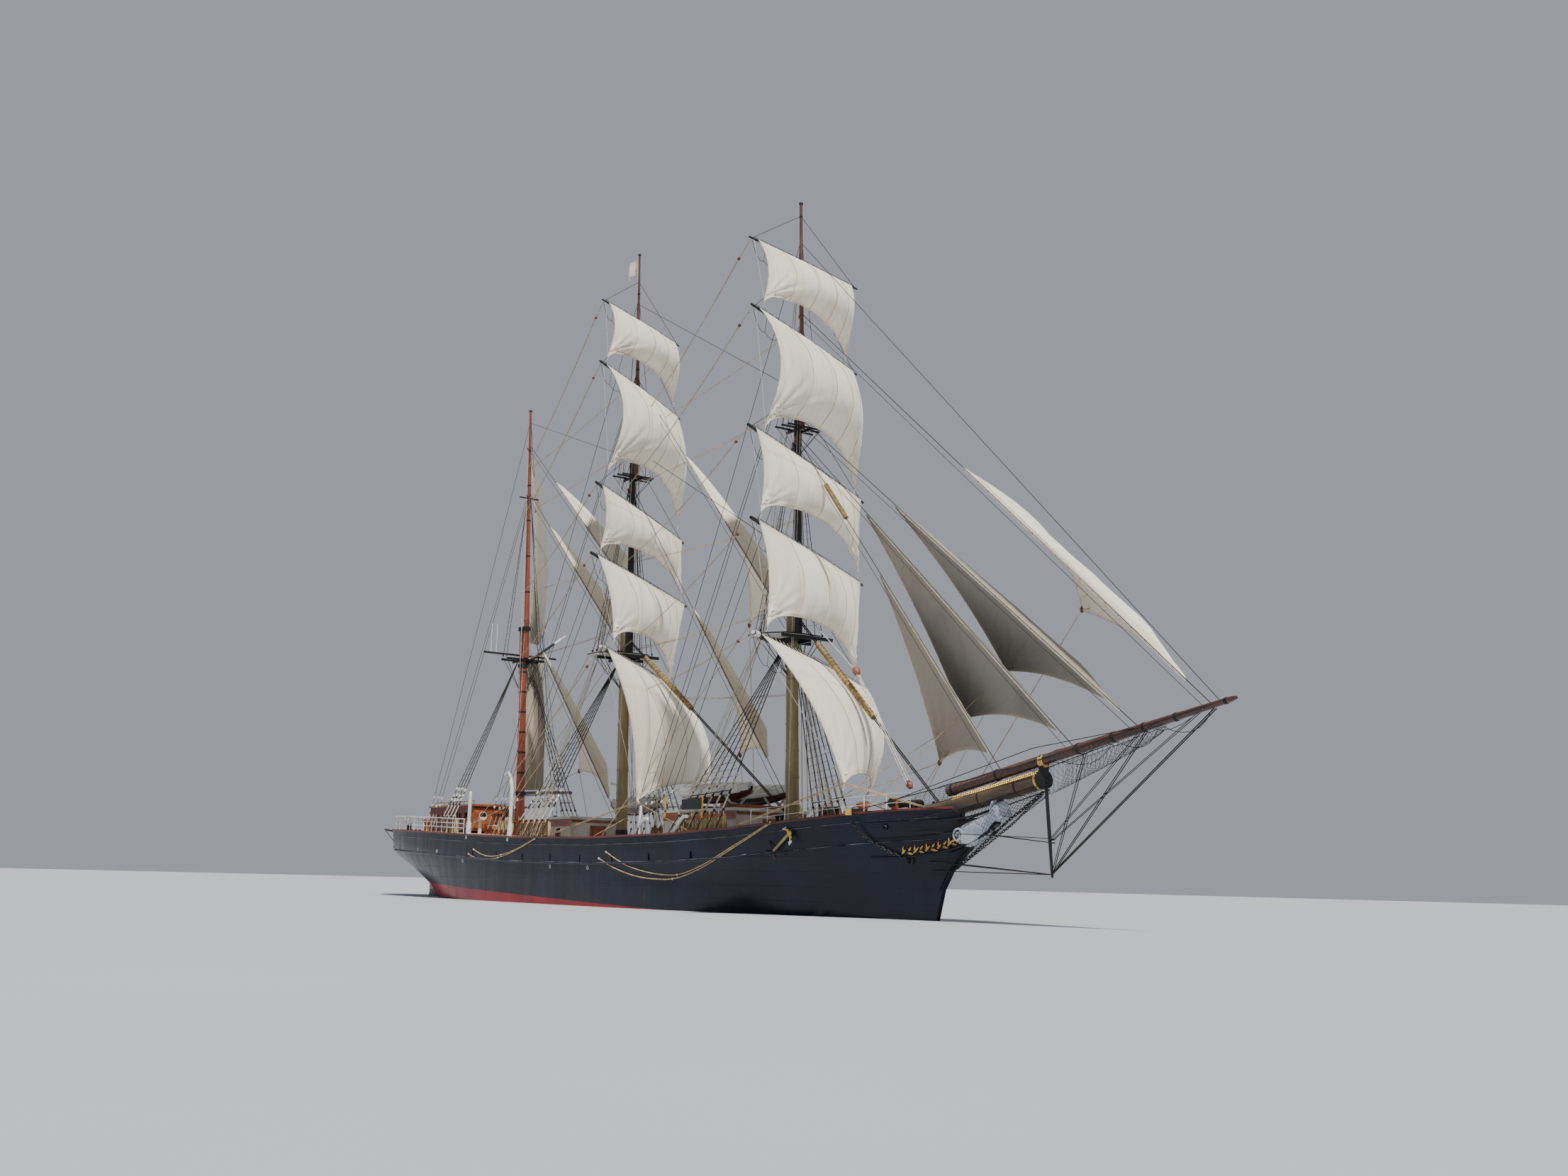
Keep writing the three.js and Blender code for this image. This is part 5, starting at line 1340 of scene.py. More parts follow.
# Backstays: height and spar of the head, foot along the rail
BACKSTAYS = {
    "fore": [(11.2, "upper", 5.6), (11.9, "upper", 5.3), (14.0, "pole", 4.95), (14.1, "pole", 4.7),
             (16.2, "pole", 4.4)],
    "main": [(11.5, "upper", -2.35), (12.2, "upper", -2.65), (14.7, "pole", -2.95), (14.8, "pole", -3.2),
             (17.0, "pole", -3.5)],
    "mizzen": [(12.3, "upper", -7.55), (12.5, "upper", -7.85), (14.8, "upper", -8.15)],
}
# Step of the ratlines, deadeyes above the rail and above each other
RATLINE = 0.19
DEADEYE_FOOT, DEADEYE_GAP = 0.5, 0.4


def rail_point(x, side, out=0.0, up=0.0):
    """A point on the rail."""
    return vec(x, side * (rail_half(x) + out), sheer_at(x) + up)


def ratline_rungs(ropes, lines, start, end, r=0.0045):
    """Rungs across a gang of shrouds, each line from foot to head."""
    pitch = RATLINE / (lines[0][1] - lines[0][0]).length
    for k in range(int(1 / pitch)):
        share = k * pitch
        if start < share < end:
            ropes.run(*[low.lerp(high, share) - UP * (0.006 * (i % 2)) for i, (low, high) in enumerate(lines)], r=r)


def belaying_pin():
    """A pin that ropes are made fast to."""
    profile = [(0, 0.008), (0.5, 0.009), (0.55, 0.018), (0.8, 0.016), (0.97, 0.02), (1, 0.01)]
    return turned_model(-0.1, 0.12, profile, "rope_white", 7)


def rope_coil():
    """A rope's spare length, wound and hung from a pin."""
    coil = Shape()
    for turn, (w, h) in enumerate(((0.05, 0.19), (0.035, 0.16), (0.06, 0.215))):
        coil.tube(circle(vec(0, 0.016 * (turn - 1), -0.9 * h), vec(w, 0, 0), UP * h, 11), 0.02, "rope_hemp", 4,
                  ends=False)
    return coil


def build_shrouds(k, side_name, side):
    """Lower shrouds with ratlines, deadeyes and the shrouds above them, on one side of a mast."""
    hounds, feet = SHROUDS[k]
    m = MASTS[k]
    wires, ratlines, lanyards, boards = Ropes(), Ropes(), Ropes(), Shape()
    deadeyes, seizings, pins, coils = Copies(), Copies(), Copies(), Copies()
    rng = np.random.default_rng(5)
    flat = aim(vec(0, side, 0))
    lines = []
    for i, x in enumerate(feet):
        foot = rail_point(x, side, -0.07, 0.03)
        head = mast_at(k, "lower", hounds - 0.03 * i) + vec(0.06 - 0.03 * i, side * 0.11, 0)
        run = (head - foot).normalized()
        low, upper = foot + run * DEADEYE_FOOT, foot + run * (DEADEYE_FOOT + DEADEYE_GAP)
        wires.run(foot, low, r=0.011)
        wires.run(upper, head, r=0.0115)
        wires.run(upper + run * 0.02, upper + run * 0.3, r=0.0165)
        for eye in (low, upper):
            deadeyes.put(eye, flat)
        for far in (1.02, 1.16, 1.36):
            seizings.put(foot + run * (far + 0.06 * rng.random()), aim(run), (1, 1, 0.8 + 0.5 * rng.random()))
        for turn in (-0.022, 0, 0.022):
            lanyards.run(low + vec(turn, side * 0.015, 0.02), upper + vec(turn, side * 0.015, -0.02), r=0.0105)
        lines.append((foot, head))
    inside = vec(0, -side * 0.05, 0)
    rail = [low.lerp(high, 0.075) + inside for low, high in (lines[0], lines[-1])]
    boards.tube(rail, 0.034, "house_teak", 6)
    count = int((rail[0] - rail[1]).length / 0.16)
    for n in range(count + 1):
        p = rail[0].lerp(rail[1], n / count)
        pins.put(p)
        size = 0.85 + 0.4 * rng.random()
        coils.put(p + inside * 0.6, (0, 0, (rng.random() - 0.5) * 0.9), (0.8, 1, size))
    ratline_rungs(ratlines, lines, 0.24, 0.93)
    wires.run(*[low.lerp(high, 0.195) for low, high in lines], r=0.012)
    for z, part, x in BACKSTAYS[k]:
        foot = rail_point(x, side, -0.07, 0.03)
        head = mast_at(k, part, z) + vec(0, side * mast_radius(k, part, z) * 0.9, 0)
        run = (head - foot).normalized()
        wires.run(foot, foot + run * 0.16, r=0.009)
        foot = foot + run * 0.16
        upper = foot + run * DEADEYE_GAP
        wires.run(upper, head, r=0.0065)
        for far in (0.62, 0.85):
            seizings.put(foot + run * (far + 0.05 * rng.random()), aim(run), 0.8)
        for eye in (foot, upper):
            deadeyes.put(eye, flat, 0.85)
        for turn in (-0.02, 0, 0.02):
            lanyards.run(foot + vec(turn, side * 0.015, 0.02), upper + vec(turn, side * 0.015, 0), r=0.004)
    rim_z = m["upper"][1] - 0.03
    if k == "mizzen":
        head_z, spreads = 12.35, [(-0.15, 0.6), (0.1, 0.6)]
    else:
        head_z, spreads = m["pole"][1] - 0.1, [(-0.45, 0.76), (-0.15, 0.8), (0.12, 0.8)]
    low = mast_at(k, "lower", rim_z - 0.95)
    low += vec(0, side * mast_radius(k, "lower", low.z) * 0.9, 0)
    upper_lines = []
    for i, (dx, y) in enumerate(spreads):
        rim = mast_at(k, "lower", rim_z) + vec(dx, side * y, 0)
        head = mast_at(k, "upper", head_z - 0.03 * i) + vec(0.02 - 0.02 * i, side * 0.06, 0)
        wires.run(rim, head, r=0.008)
        wires.run(rim, low, r=0.009)
        deadeyes.put(rim + UP * 0.08, flat, 0.8)
        upper_lines.append((rim, head))
    ratline_rungs(ratlines, upper_lines, 0.05, 0.93, 0.004)
    if k != "mizzen":
        tree_z = m["pole"][1] + 0.05
        low = mast_at(k, "upper", tree_z - 0.6) + vec(0, side * 0.08, 0)
        tops = []
        for dx, y, z in ((-0.14, 0.53, 14.0), (0.12, 0.53, 14.05), (0.31, 0.48, 16.1)):
            rim = mast_at(k, "upper", tree_z) + vec(dx, side * y, 0)
            head = mast_at(k, "pole", z + (0 if k == "fore" else 0.75)) + vec(0, side * 0.045, 0)
            wires.run(rim, head, r=0.0065)
            tops.append((rim, head))
            wires.run(rim, low, r=0.006)
        ratline_rungs(ratlines, tops[:2], 0.05, 0.95, 0.0035)
    name = f"{k}_shrouds_{side_name}"
    wires.piece(f"{name}_wires", SHIP, "rope_tarred", 6, (name,))
    ratlines.piece(f"{name}_ratlines", SHIP, "rope_tarred", 3)
    lanyards.piece(f"{name}_lanyards", SHIP, "rope_white", 3)
    eye = turned_model(-0.02, 0.02, [(0, 0.026), (0.2, 0.036), (0.8, 0.036), (1, 0.026)], "rope_tarred", 10)
    deadeyes.piece(f"{name}_deadeyes", SHIP, eye, "rope_tarred", slot="rigging")
    band = turned_model(-0.05, 0.05, [(0, 0.014), (0.15, 0.032), (0.85, 0.032), (1, 0.014)], "rope_white", 7)
    seizings.piece(f"{name}_seizings", SHIP, band, "rope_white", slot="rigging")
    pins.piece(f"{name}_pins", SHIP, belaying_pin(), "rope_white", slot="varnish")
    coils.piece(f"{name}_coils", SHIP, rope_coil(), "rope_hemp", slot="rigging")
    if k == "fore":
        x, y = 6.72, side * (rail_half(6.7) - 0.2)
        boards.box((x - 0.42, y, 2.3), (x + 0.42, y + side * 0.03, 2.54), "black_spar")
        for end in (-1.2, 0.44):
            boards.tube([(x + end, y, 2.1), (x + end, y, 2.6)], 0.022, "yellow_paint", 7)
    boards.piece(f"{name}_pin_rail", SHIP, slot="varnish")


def sleeve(ropes, top, end, a, b, r):
    """Wrapping round a stay from the share a of its length to the share b."""
    run = (end - top).normalized()
    for i in range(44):
        p = top.lerp(end, a + (b - a) * i / 44)
        ropes.run(p - run * 0.025, p + run * 0.045, r=r + 0.012 * (i % 2))


def build_stays():
    """The forestay and mainstay with their chafing sleeves, and the stays that carry no sail."""
    stays, sleeves = Ropes(), Ropes()
    for k, z, end, share in (("fore", 6.76, vec(13.3, 0, 2.236), (0.14, 0.55)),
                             ("main", 7.11, vec(7.925, 0, 2.15), (0.11, 0.42))):
        top = mast_at(k, "upper", z) + vec(0.08, 0, 0)
        for y in (-0.03, 0.03):
            stays.run(top + vec(0, y, 0), end + vec(0, y, 0), r=0.015)
        sleeve(sleeves, top, end, *share, 0.062)
    row = next(row for row in STAYSAILS if row[0] == "fore_topmast_staysail")
    sleeve(sleeves, *sail_stay(row)[:2], 0.16, 0.27, 0.045)
    for start, end, r in (
        (mast_at("fore", "pole", 16.25), (20.45, 0, 3.93), 0.007),
        (mast_at("main", "pole", 16.95), mast_at("fore", "pole", 12.35), 0.007),
        (mast_at("main", "pole", 12.6), mast_at("fore", "upper", 8.3), 0.008),
        (mast_at("mizzen", "upper", 14.9), mast_at("main", "pole", 12.3), 0.006),
    ):
        stays.run(start, end, r=r)
    stays.piece("lower_stays", SHIP, "rope_tarred", 7, ("forestay", "mainstay"))
    sleeves.piece("chafing_sleeves", SHIP, "sleeve_hemp", 8)


# Running rigging

# Braces: mast, spar and height of the fixed end; the main course's is on the rail
BRACES = {
    "fore_royal": ("main", "pole", 13.1), "fore_topgallant": ("main", "upper", 11.6),
    "fore_upper_topsail": ("main", "upper", 9.4), "fore_lower_topsail": ("main", "lower", 6.9),
    "fore_course": ("main", "lower", 5.6), "main_royal": ("mizzen", "upper", 13.4),
    "main_topgallant": ("mizzen", "upper", 12.0), "main_upper_topsail": ("mizzen", "upper", 9.4),
    "main_lower_topsail": ("mizzen", "lower", 7.3), "main_course": None,
}
BRACE_SAG = 0.14


def build_braces(yard):
    """The ropes that swing a yard, from each yardarm to the mast or rail behind it."""
    place = BRACES[yard.node]
    for side_name, side in (("starboard", 1), ("port", -1)):
        arm = yard.at(side * yard.long / 2 * 0.95, -yard.radius(yard.long / 2) - 0.01, 0)
        if place:
            fixed = mast_at(*place) - vec(0, side * (mast_radius(*place) + 0.01), 0)
        else:
            fixed = rail_point(-4.6, -side, 0.0, 0.12)
        rope = Ropes()
        block = arm.lerp(fixed, 0.09)
        rope.run(arm, block, r=0.009)
        sag = BRACE_SAG * 4 * (block - fixed).length / 9
        for shift in (-0.014, 0.014):
            shares = [k / 7 for k in range(8)]
            rope.run(*[block.lerp(fixed, t) + UP * (shift - sag * t * (1 - t)) for t in shares], r=0.0065)
        lump = rope.piece(f"{yard.node}_brace_{side_name}", SHIP, "rope_hemp", 4, ride=False)
        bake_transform(lump)
        knob, run = Shape(), (block - fixed).normalized() * 0.05
        knob.turned(block - run, block + run, [(0, 0.012), (0.2, 0.034), (0.5, 0.04), (0.8, 0.034), (1, 0.012)],
                    "block_wood", 8)
        knob.piece(f"{yard.node}_brace_block_{side_name}", yard.node, slot="rigging")


def build_sheets(yard):
    """Sheets and tacks from the clews of a course to the deck."""
    for corner, (side_name, side) in zip(sail_corners(yard), SIDES):
        for name, reach in (("tack", 3.1), ("sheet", -3.4)):
            fixed = rail_point(min(corner.x + reach, 13.2), side, -0.02, 0.06)
            rope = Ropes()
            for shift in (-0.012, 0.012):
                rope.run(corner + UP * shift, fixed + UP * shift, r=0.009)
            lump = rope.piece(f"{yard.node}_{name}_{side_name}", SHIP, "rope_hemp", 4, ride=False)
            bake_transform(lump)


def pin_row():
    """A ring of belaying pins round each mast."""
    pins = Copies()
    for k in MASTS:
        at = mast_at(k, "lower", deck_at(MASTS[k]["x"]) + 0.45)
        for p in circle(at, vec(0.42, 0, 0), vec(0, 0.42, 0), 13)[:-1]:
            pins.put(p, size=1.1)
    pins.piece("belaying_pins", SHIP, belaying_pin(), "rope_white", slot="varnish")


def build_halyards():
    """Halyards, buntline falls and downhauls that come down to the deck, with their blocks."""
    white, hemp, blocks = Ropes(), Ropes(), Copies()
    rng = np.random.default_rng(7)
    for k, lift in (("fore", 0), ("main", 0.35)):
        heel = MASTS[k]["upper"][1]
        for part, z, spread in (("pole", 15.6, 0.05), ("pole", 13.6, 0.07), ("upper", 11.1, 0.09),
                                ("upper", 9.6, 0.1), ("lower", 7.6, 0.16)):
            for side in (-1, 1):
                for n in range(2):
                    head = mast_at(k, part, z + lift) + vec(-0.05, side * spread, 0)
                    foot = rail_point(MASTS[k]["x"] - 0.5 - 0.2 * n - rng.random() * 1.4, side, -0.12, 0.02)
                    lead = mast_at(k, "lower", heel) + vec(-0.5, side * (0.5 + 0.1 * n), 0)
                    (white if n else hemp).run(head, lead, foot, r=0.0055)
                    blocks.put(head, aim(lead - head), 0.9)
    for row in STAYSAILS:
        top, corner = sail_stay(row)[2], Vector(row[5])
        foot_x = MASTS[row[1][0]]["x"] + 0.3
        white.run(top + vec(0.02, -0.06, -0.1), (foot_x, -0.36, deck_at(foot_x) + 0.5), r=0.005)
        blocks.put(top + vec(0.03, -0.07, -0.12))
        for side in (-1, 1):
            x = corner.x - (2.3 if corner.x > 8 else 1.5)
            hemp.run(corner, rail_point(max(x, -12), side, -0.08, 0.06), r=0.007)
        blocks.put(corner, size=1.2)
    tackle_top, tackle_low = vec(10.35, -0.05, 5.35), vec(12.6, -0.35, 2.75)
    for turn in range(4):
        shift = vec(0.012 * (turn % 2), 0.022 * (turn - 1.5), 0)
        white.run(tackle_top + shift, tackle_low + shift * 2, r=0.009)
    white.run(tackle_top, mast_at("fore", "lower", 7.2) + vec(0.15, 0, 0), r=0.011)
    for p, size in ((tackle_top, 2.3), (tackle_low, 1.9)):
        blocks.put(p, aim(tackle_low - tackle_top), size)
    white.piece("halyards", SHIP, "rope_white", 4)
    hemp.piece("buntline_falls", SHIP, "rope_hemp", 4)
    profile = [(0, 0.012), (0.15, 0.03), (0.5, 0.04), (0.85, 0.03), (1, 0.012)]
    block = turned_model(-0.055, 0.055, profile, "block_wood", 8)
    blocks.piece("halyard_blocks", SHIP, block, "block_wood", slot="varnish")


# Bow

# Outline of the knee of the head: x and z
KNEE = [(13.0, 0.2), (13.3, 0.62), (13.57, 1.005), (14.0, 1.355), (14.55, 1.7), (14.93, 1.92), (14.9, 2.0),
        (14.3, 2.05), (13.5, 2.02), (13.0, 1.9)]
# Ends of the jibboom's axis, lower end of the striker
JIBBOOM = (vec(13.45, 0, 2.61), vec(20.81, 0, 3.955))
STRIKER_FOOT = vec(16.4, 0, 0.93)

# The figurehead's body from hem to neck: x, z, half-width, half-depth
FIGURE = [(13.86, 1.62, 0.14, 0.15), (14.1, 1.7, 0.23, 0.25), (14.35, 1.8, 0.23, 0.24), (14.6, 1.93, 0.18, 0.19),
          (14.8, 2.06, 0.15, 0.15), (14.95, 2.18, 0.18, 0.15), (15.05, 2.27, 0.14, 0.11), (15.12, 2.33, 0.06, 0.06)]


def jibboom_at(x, y=0.0, up=0.0):
    """A point beside the axis of the jibboom."""
    a, b = JIBBOOM
    p = a.lerp(b, (x - a.x) / (b.x - a.x))
    return p + vec(0, y, up)


def build_head():
    """Knee of the head, cheeks, head rails and gilded leaves."""
    head = Shape()
    for half, grow in ((0.065, 0.0), (0.082, -0.04)):
        outline = [vec(x + grow * (1 if z < 2 else 0), -half, z) for x, z in KNEE]
        head.slab(outline, (0, 2 * half, 0), "hull_paint")
    for side in (-1, 1):
        for z0, z1, r in ((1.24, 1.78, 0.028), (1.62, 2.02, 0.022), (1.95, 2.19, 0.022)):
            path = [side_point(x, z0 + (z1 - z0) * ((x - 11.9) / 2.9) ** 2, 0.012, side)
                    for x in np.linspace(11.9, 13.35, 9)]
            last, tip = path[-1], vec(14.75, side * 0.085, z1)
            path += [last.lerp(tip, t) - UP * (0.06 * 4 * t * (1 - t)) for t in np.linspace(0.12, 1, 8)]
            head.tube(path, r, "hull_paint", 7)
        spiral = []
        for t in np.linspace(0, 1, 34):
            r, turn = 0.145 * (1 - t) ** 0.8 + 0.012, 11 * t - 0.6
            spiral.append((13.98 + r * cos(turn), side * (0.235 + 0.01 * t), 1.7 + r * sin(turn)))
        head.tube(spiral, [0.026 - 0.012 * k / 33 for k in range(34)], "skin_white", 7)
    head.piece("head_knee", SHIP, slot="iron")

    leaves, beads = Copies(), Copies()
    for side in (-1, 1):
        for k in range(13):
            t = k / 12
            x, z = 12.6 + 1.5 * t, 1.34 + 0.3 * t ** 1.4
            p = side_point(x, z, 0.03, side) if x < 13.4 else vec(x, side * (0.1 + (14.1 - x) * 0.11), z)
            tilt = 0.5 if k % 2 else -0.3
            leaves.put(p, (0, tilt + 1.25, 0), (1, 1, 1 + 0.25 * (k % 3)))
            leaves.put(p + vec(0.03, side * 0.01, 0.05), (0, tilt + 0.35, 0), 0.8)
        for k in range(46):
            p = vec(13.7, 0, 2.3).lerp(vec(16.1, 0, 2.72), k / 45)
            for y, up in ((0.135, 0.125), (0.09, 0.17)):
                beads.put(p + vec(0, side * y, up), size=(1.25, 1, 1))
    leaf = turned_model(-0.02, 0.13, [(0, 0.008), (0.25, 0.026), (0.6, 0.022), (1, 0.003)], "gold_leaf", 5)
    leaves.piece("gilded_leaves", SHIP, leaf, "gold_leaf", slot="ochre")
    bead = turned_model(-0.02, 0.022, [(0, 0.012), (0.4, 0.028), (1, 0.01)], "gold_leaf", 6)
    beads.piece("bowsprit_beading", SHIP, bead, "gold_leaf", slot="ochre")


def build_figurehead():
    """A plain robed figure that leans forward under the bowsprit."""
    body = Shape()
    rings, turns = [], [2 * pi * k / 40 for k in range(40)]
    xs, zs, wide, deep = zip(*FIGURE)
    for s in np.linspace(0, 7, 36):
        x, z = (float(np.interp(s, range(8), row)) for row in (xs, zs))
        a, b = (float(smooth_at(range(8), row, s)) for row in (wide, deep))
        fold = 0.02 * max(0.0, 1 - s / 4.2)
        swell = [1 + fold / a * sin(11 * t + s * 0.8) for t in turns]
        rings.append([vec(x, 0, z) + vec(-0.5, 0, 0.86) * (b * r * cos(t)) + vec(0, a * r * sin(t), 0)
                      for r, t in zip(swell, turns)])
    body.loft(rings, "skin_white")
    for side in (-1, 1):
        arm = [(15.0, 0.13, 2.24), (15.06, 0.17, 2.13), (15.1, 0.15, 2.03), (15.14, 0.07, 2.04), (15.15, 0.015, 2.07)]
        body.tube([(x, side * y, z) for x, y, z in arm], [0.042, 0.045, 0.038, 0.032, 0.026], "skin_white", 10)
        for n in range(3):
            lock = [(14.98 - 0.02 * n, 0.05 + 0.03 * n, 2.42 - 0.02 * n), (14.9, 0.1 + 0.02 * n, 2.33),
                    (14.83, 0.1 + 0.03 * n, 2.24 - 0.02 * n)]
            body.tube([(x, side * y, z) for x, y, z in lock], [0.03, 0.035, 0.01], "skin_white", 8)
    centre, out, up = vec(15.16, 0, 2.43), vec(0.93, 0, 0.36).normalized(), vec(-0.36, 0, 0.93).normalized()
    face = []
    for i in range(17):
        theta = pi * (i + 0.02) / 16.04
        height, turn = cos(theta), sin(theta)
        ring = []
        for k in range(28):
            phi = 2 * pi * k / 28
            bearing = phi if phi < 3.2 else phi - 2 * pi
            front = max(0.0, cos(phi)) ** 3 * turn
            nose = exp(-bearing ** 2 / 0.04) * exp(-((height + 0.08) / 0.22) ** 2)
            eyes = sum(exp(-(bearing - e) ** 2 / 0.05) for e in (-0.42, 0.42))
            r = 0.088 + 0.012 * height + 0.022 * nose * turn - 0.008 * eyes * exp(-((height - 0.12) / 0.14) ** 2)
            r += 0.008 * front * exp(-((height + 0.62) / 0.2) ** 2)
            side = vec(0, 0.86 * sin(phi), 0) + out * cos(phi)
            ring.append(centre + up * (r * 1.12 * height) + side * (r * turn))
        face.append(ring)
    body.loft(face, "skin_white")
    body.ball(centre - out * 0.085 + up * 0.04, 0.07, "skin_white", 12)
    body.tube(circle(centre + up * 0.07, out * 0.09, vec(0, 0.081, 0), 21), 0.014, "skin_white", 6, ends=False)
    body.piece("figurehead_carving", SHIP, ("figurehead",), "white_paint", 50)


def diagonal_net(net, place, count, rows):
    """Crossing lines over a patch: its places, the meshes along it and the rows across it."""
    for way in (-1, 1):
        for k in range(-rows, count + 1):
            steps = [((k + j if way > 0 else k + rows - j) / count, j / rows) for j in range(rows + 1)]
            path = [place(min(max(s, 0), 1), t) for s, t in steps if -0.001 <= s <= 1.001]
            if len(path) > 1:
                net.run(*path, r=0.0032)
    for t in (0, 1):
        net.run(*[place(k / 12, t) for k in range(13)], r=0.006)


def chain_links(chains, path, size):
    """Chain links along a path, every other one turned."""
    path = [Vector(p) for p in path]
    step, carry, n = 0.062 * size, 0.0, 0
    for a, b in zip(path[:-1], path[1:]):
        long = (b - a).length
        while carry < long:
            chains.put(a.lerp(b, carry / long), aim(b - a, pi / 2 * (n % 2)), size)
            carry += step
            n += 1
        carry -= long


def build_head_rigging():
    """Bobstays, martingale stays, guys, footropes and the netting under the jibboom."""
    wires, chains, net = Ropes(), Copies(), Ropes()
    foot = STRIKER_FOOT
    for side in (-1, 1):
        def up_from(height, x=0.0, y=0.02, side=side):
            """A point on the dolphin striker."""
            return foot + vec(x, side * y, height)

        for x, z in ((13.1, 1.0), (13.1, 1.18)):
            wires.run(up_from(0.03, -0.01), side_point(x, z, 0.0, side), r=0.01)
        wires.run(up_from(0.62), (14.3, side * 0.09, 1.75), r=0.008)
        wires.run(up_from(0.7), side_point(12.9, 1.78, 0.0, side), r=0.008)
        for height, x, drop, r in (
            (0.05, 20.35, -0.07, 0.011), (0.05, 18.8, -0.07, 0.009), (0.05, 17.3, -0.07, 0.008),
            (0.66, 20.0, -0.05, 0.007), (0.72, 18.6, -0.08, 0.007),
        ):
            wires.run(up_from(height), jibboom_at(x, side * 0.03, drop), r=r)
        wires.run(rail_point(11.9, side, 0.02, 0.1), (16.2, side * 0.32, 3.05), jibboom_at(20.3, side * 0.05, 0.01),
                  r=0.009)
        wires.run(rail_point(12.3, side, 0.02, 0.14), (16.2, side * 0.3, 3.32), jibboom_at(18.6, side * 0.08, 0.02),
                  r=0.008)
        wires.run((12.9, side * 0.62, 1.98), (16.15, side * 0.17, 2.55), r=0.011)
        for a, b in ((16.4, 17.9), (17.9, 19.0), (19.0, 20.2)):
            p, q = jibboom_at(a, side * 0.13, -0.02), jibboom_at(b, side * 0.1, -0.02)
            wires.run(*[p.lerp(q, t) + vec(0, side * 0.16, -0.24) * (4 * t * (1 - t)) for t in np.linspace(0, 1, 7)],
                      r=0.006)
    for z in (0.62, 0.68):
        wires.run(foot + vec(0, -0.07, z), foot + vec(0, 0.07, z), r=0.014)

    def under(s, t):
        """A point of the net under the jibboom."""
        t = 2 * t - 1
        wide, deep = 0.42 * (1 - s) + 0.06, 0.52 * (1 - s) ** 0.7 + 0.08
        return jibboom_at(16.3 + 2.9 * s, t * wide, 0.0) - UP * (0.08 + deep * (1 - t * t) ** 0.6)

    diagonal_net(net, under, 26, 7)
    for side in (-1, 1):
        def beside(s, t, side=side):
            """A point of the net between the bowsprit and its hand line."""
            low = vec(13.2, side * 0.42, 2.3).lerp(vec(16.15, side * 0.18, 2.78), s)
            high = vec(12.8, side * 0.62, 2.5).lerp(vec(16.2, side * 0.26, 3.1), s)
            return low.lerp(high, t) - UP * (0.03 * sin(9 * s) ** 2 * t)

        def below(s, t, side=side):
            """A point of the net between the bobstay and the bowsprit."""
            low = vec(13.75, side * 0.09, 1.2).lerp(vec(16.2, side * 0.06, 2.42), s)
            high = vec(13.9, side * 0.16, 2.2).lerp(vec(16.15, side * 0.14, 2.62), s)
            return low.lerp(high, t) + vec(0, side * 0.08 * sin(pi * t), 0)

        diagonal_net(net, beside, 24, 4)
        diagonal_net(net, below, 22, 7)
    net.piece("head_netting", SHIP, "rope_tarred", 3)
    wires.piece("head_stays", SHIP, "rope_tarred", 6)

    chain_links(chains, [(13.55, 0, 0.98), (14.2, 0, 1.36), (15.2, 0, 1.98), (16.16, 0, 2.5)], 1.3)
    chain_links(chains, [(13.7, 0, 1.05), (15.3, 0, 1.9), (16.14, 0, 2.46)], 1.0)
    for side in (-1, 1):
        cathead = vec(11.75, side * 1.2, 1.98)
        middle, hawse = side_point(12.1, 1.52, 0.06, side), side_point(12.72, 1.22, 0.03, side)
        chain_links(chains, [cathead, cathead.lerp(middle, 0.5) - UP * 0.06, middle,
                             middle.lerp(hawse, 0.5) + vec(0, side * 0.02, -0.03), hawse], 1.25)
    link = Shape()
    ring = [(0.02 * cos(t), 0, 0.03 * sin(t) + 0.012 * (1 if sin(t) > 0 else -1)) for t in np.linspace(0, 2 * pi, 9)]
    link.tube(ring, 0.008, "black_iron", 4, ends=False)
    chains.piece("anchor_chains", SHIP, link, "black_iron", slot="iron")


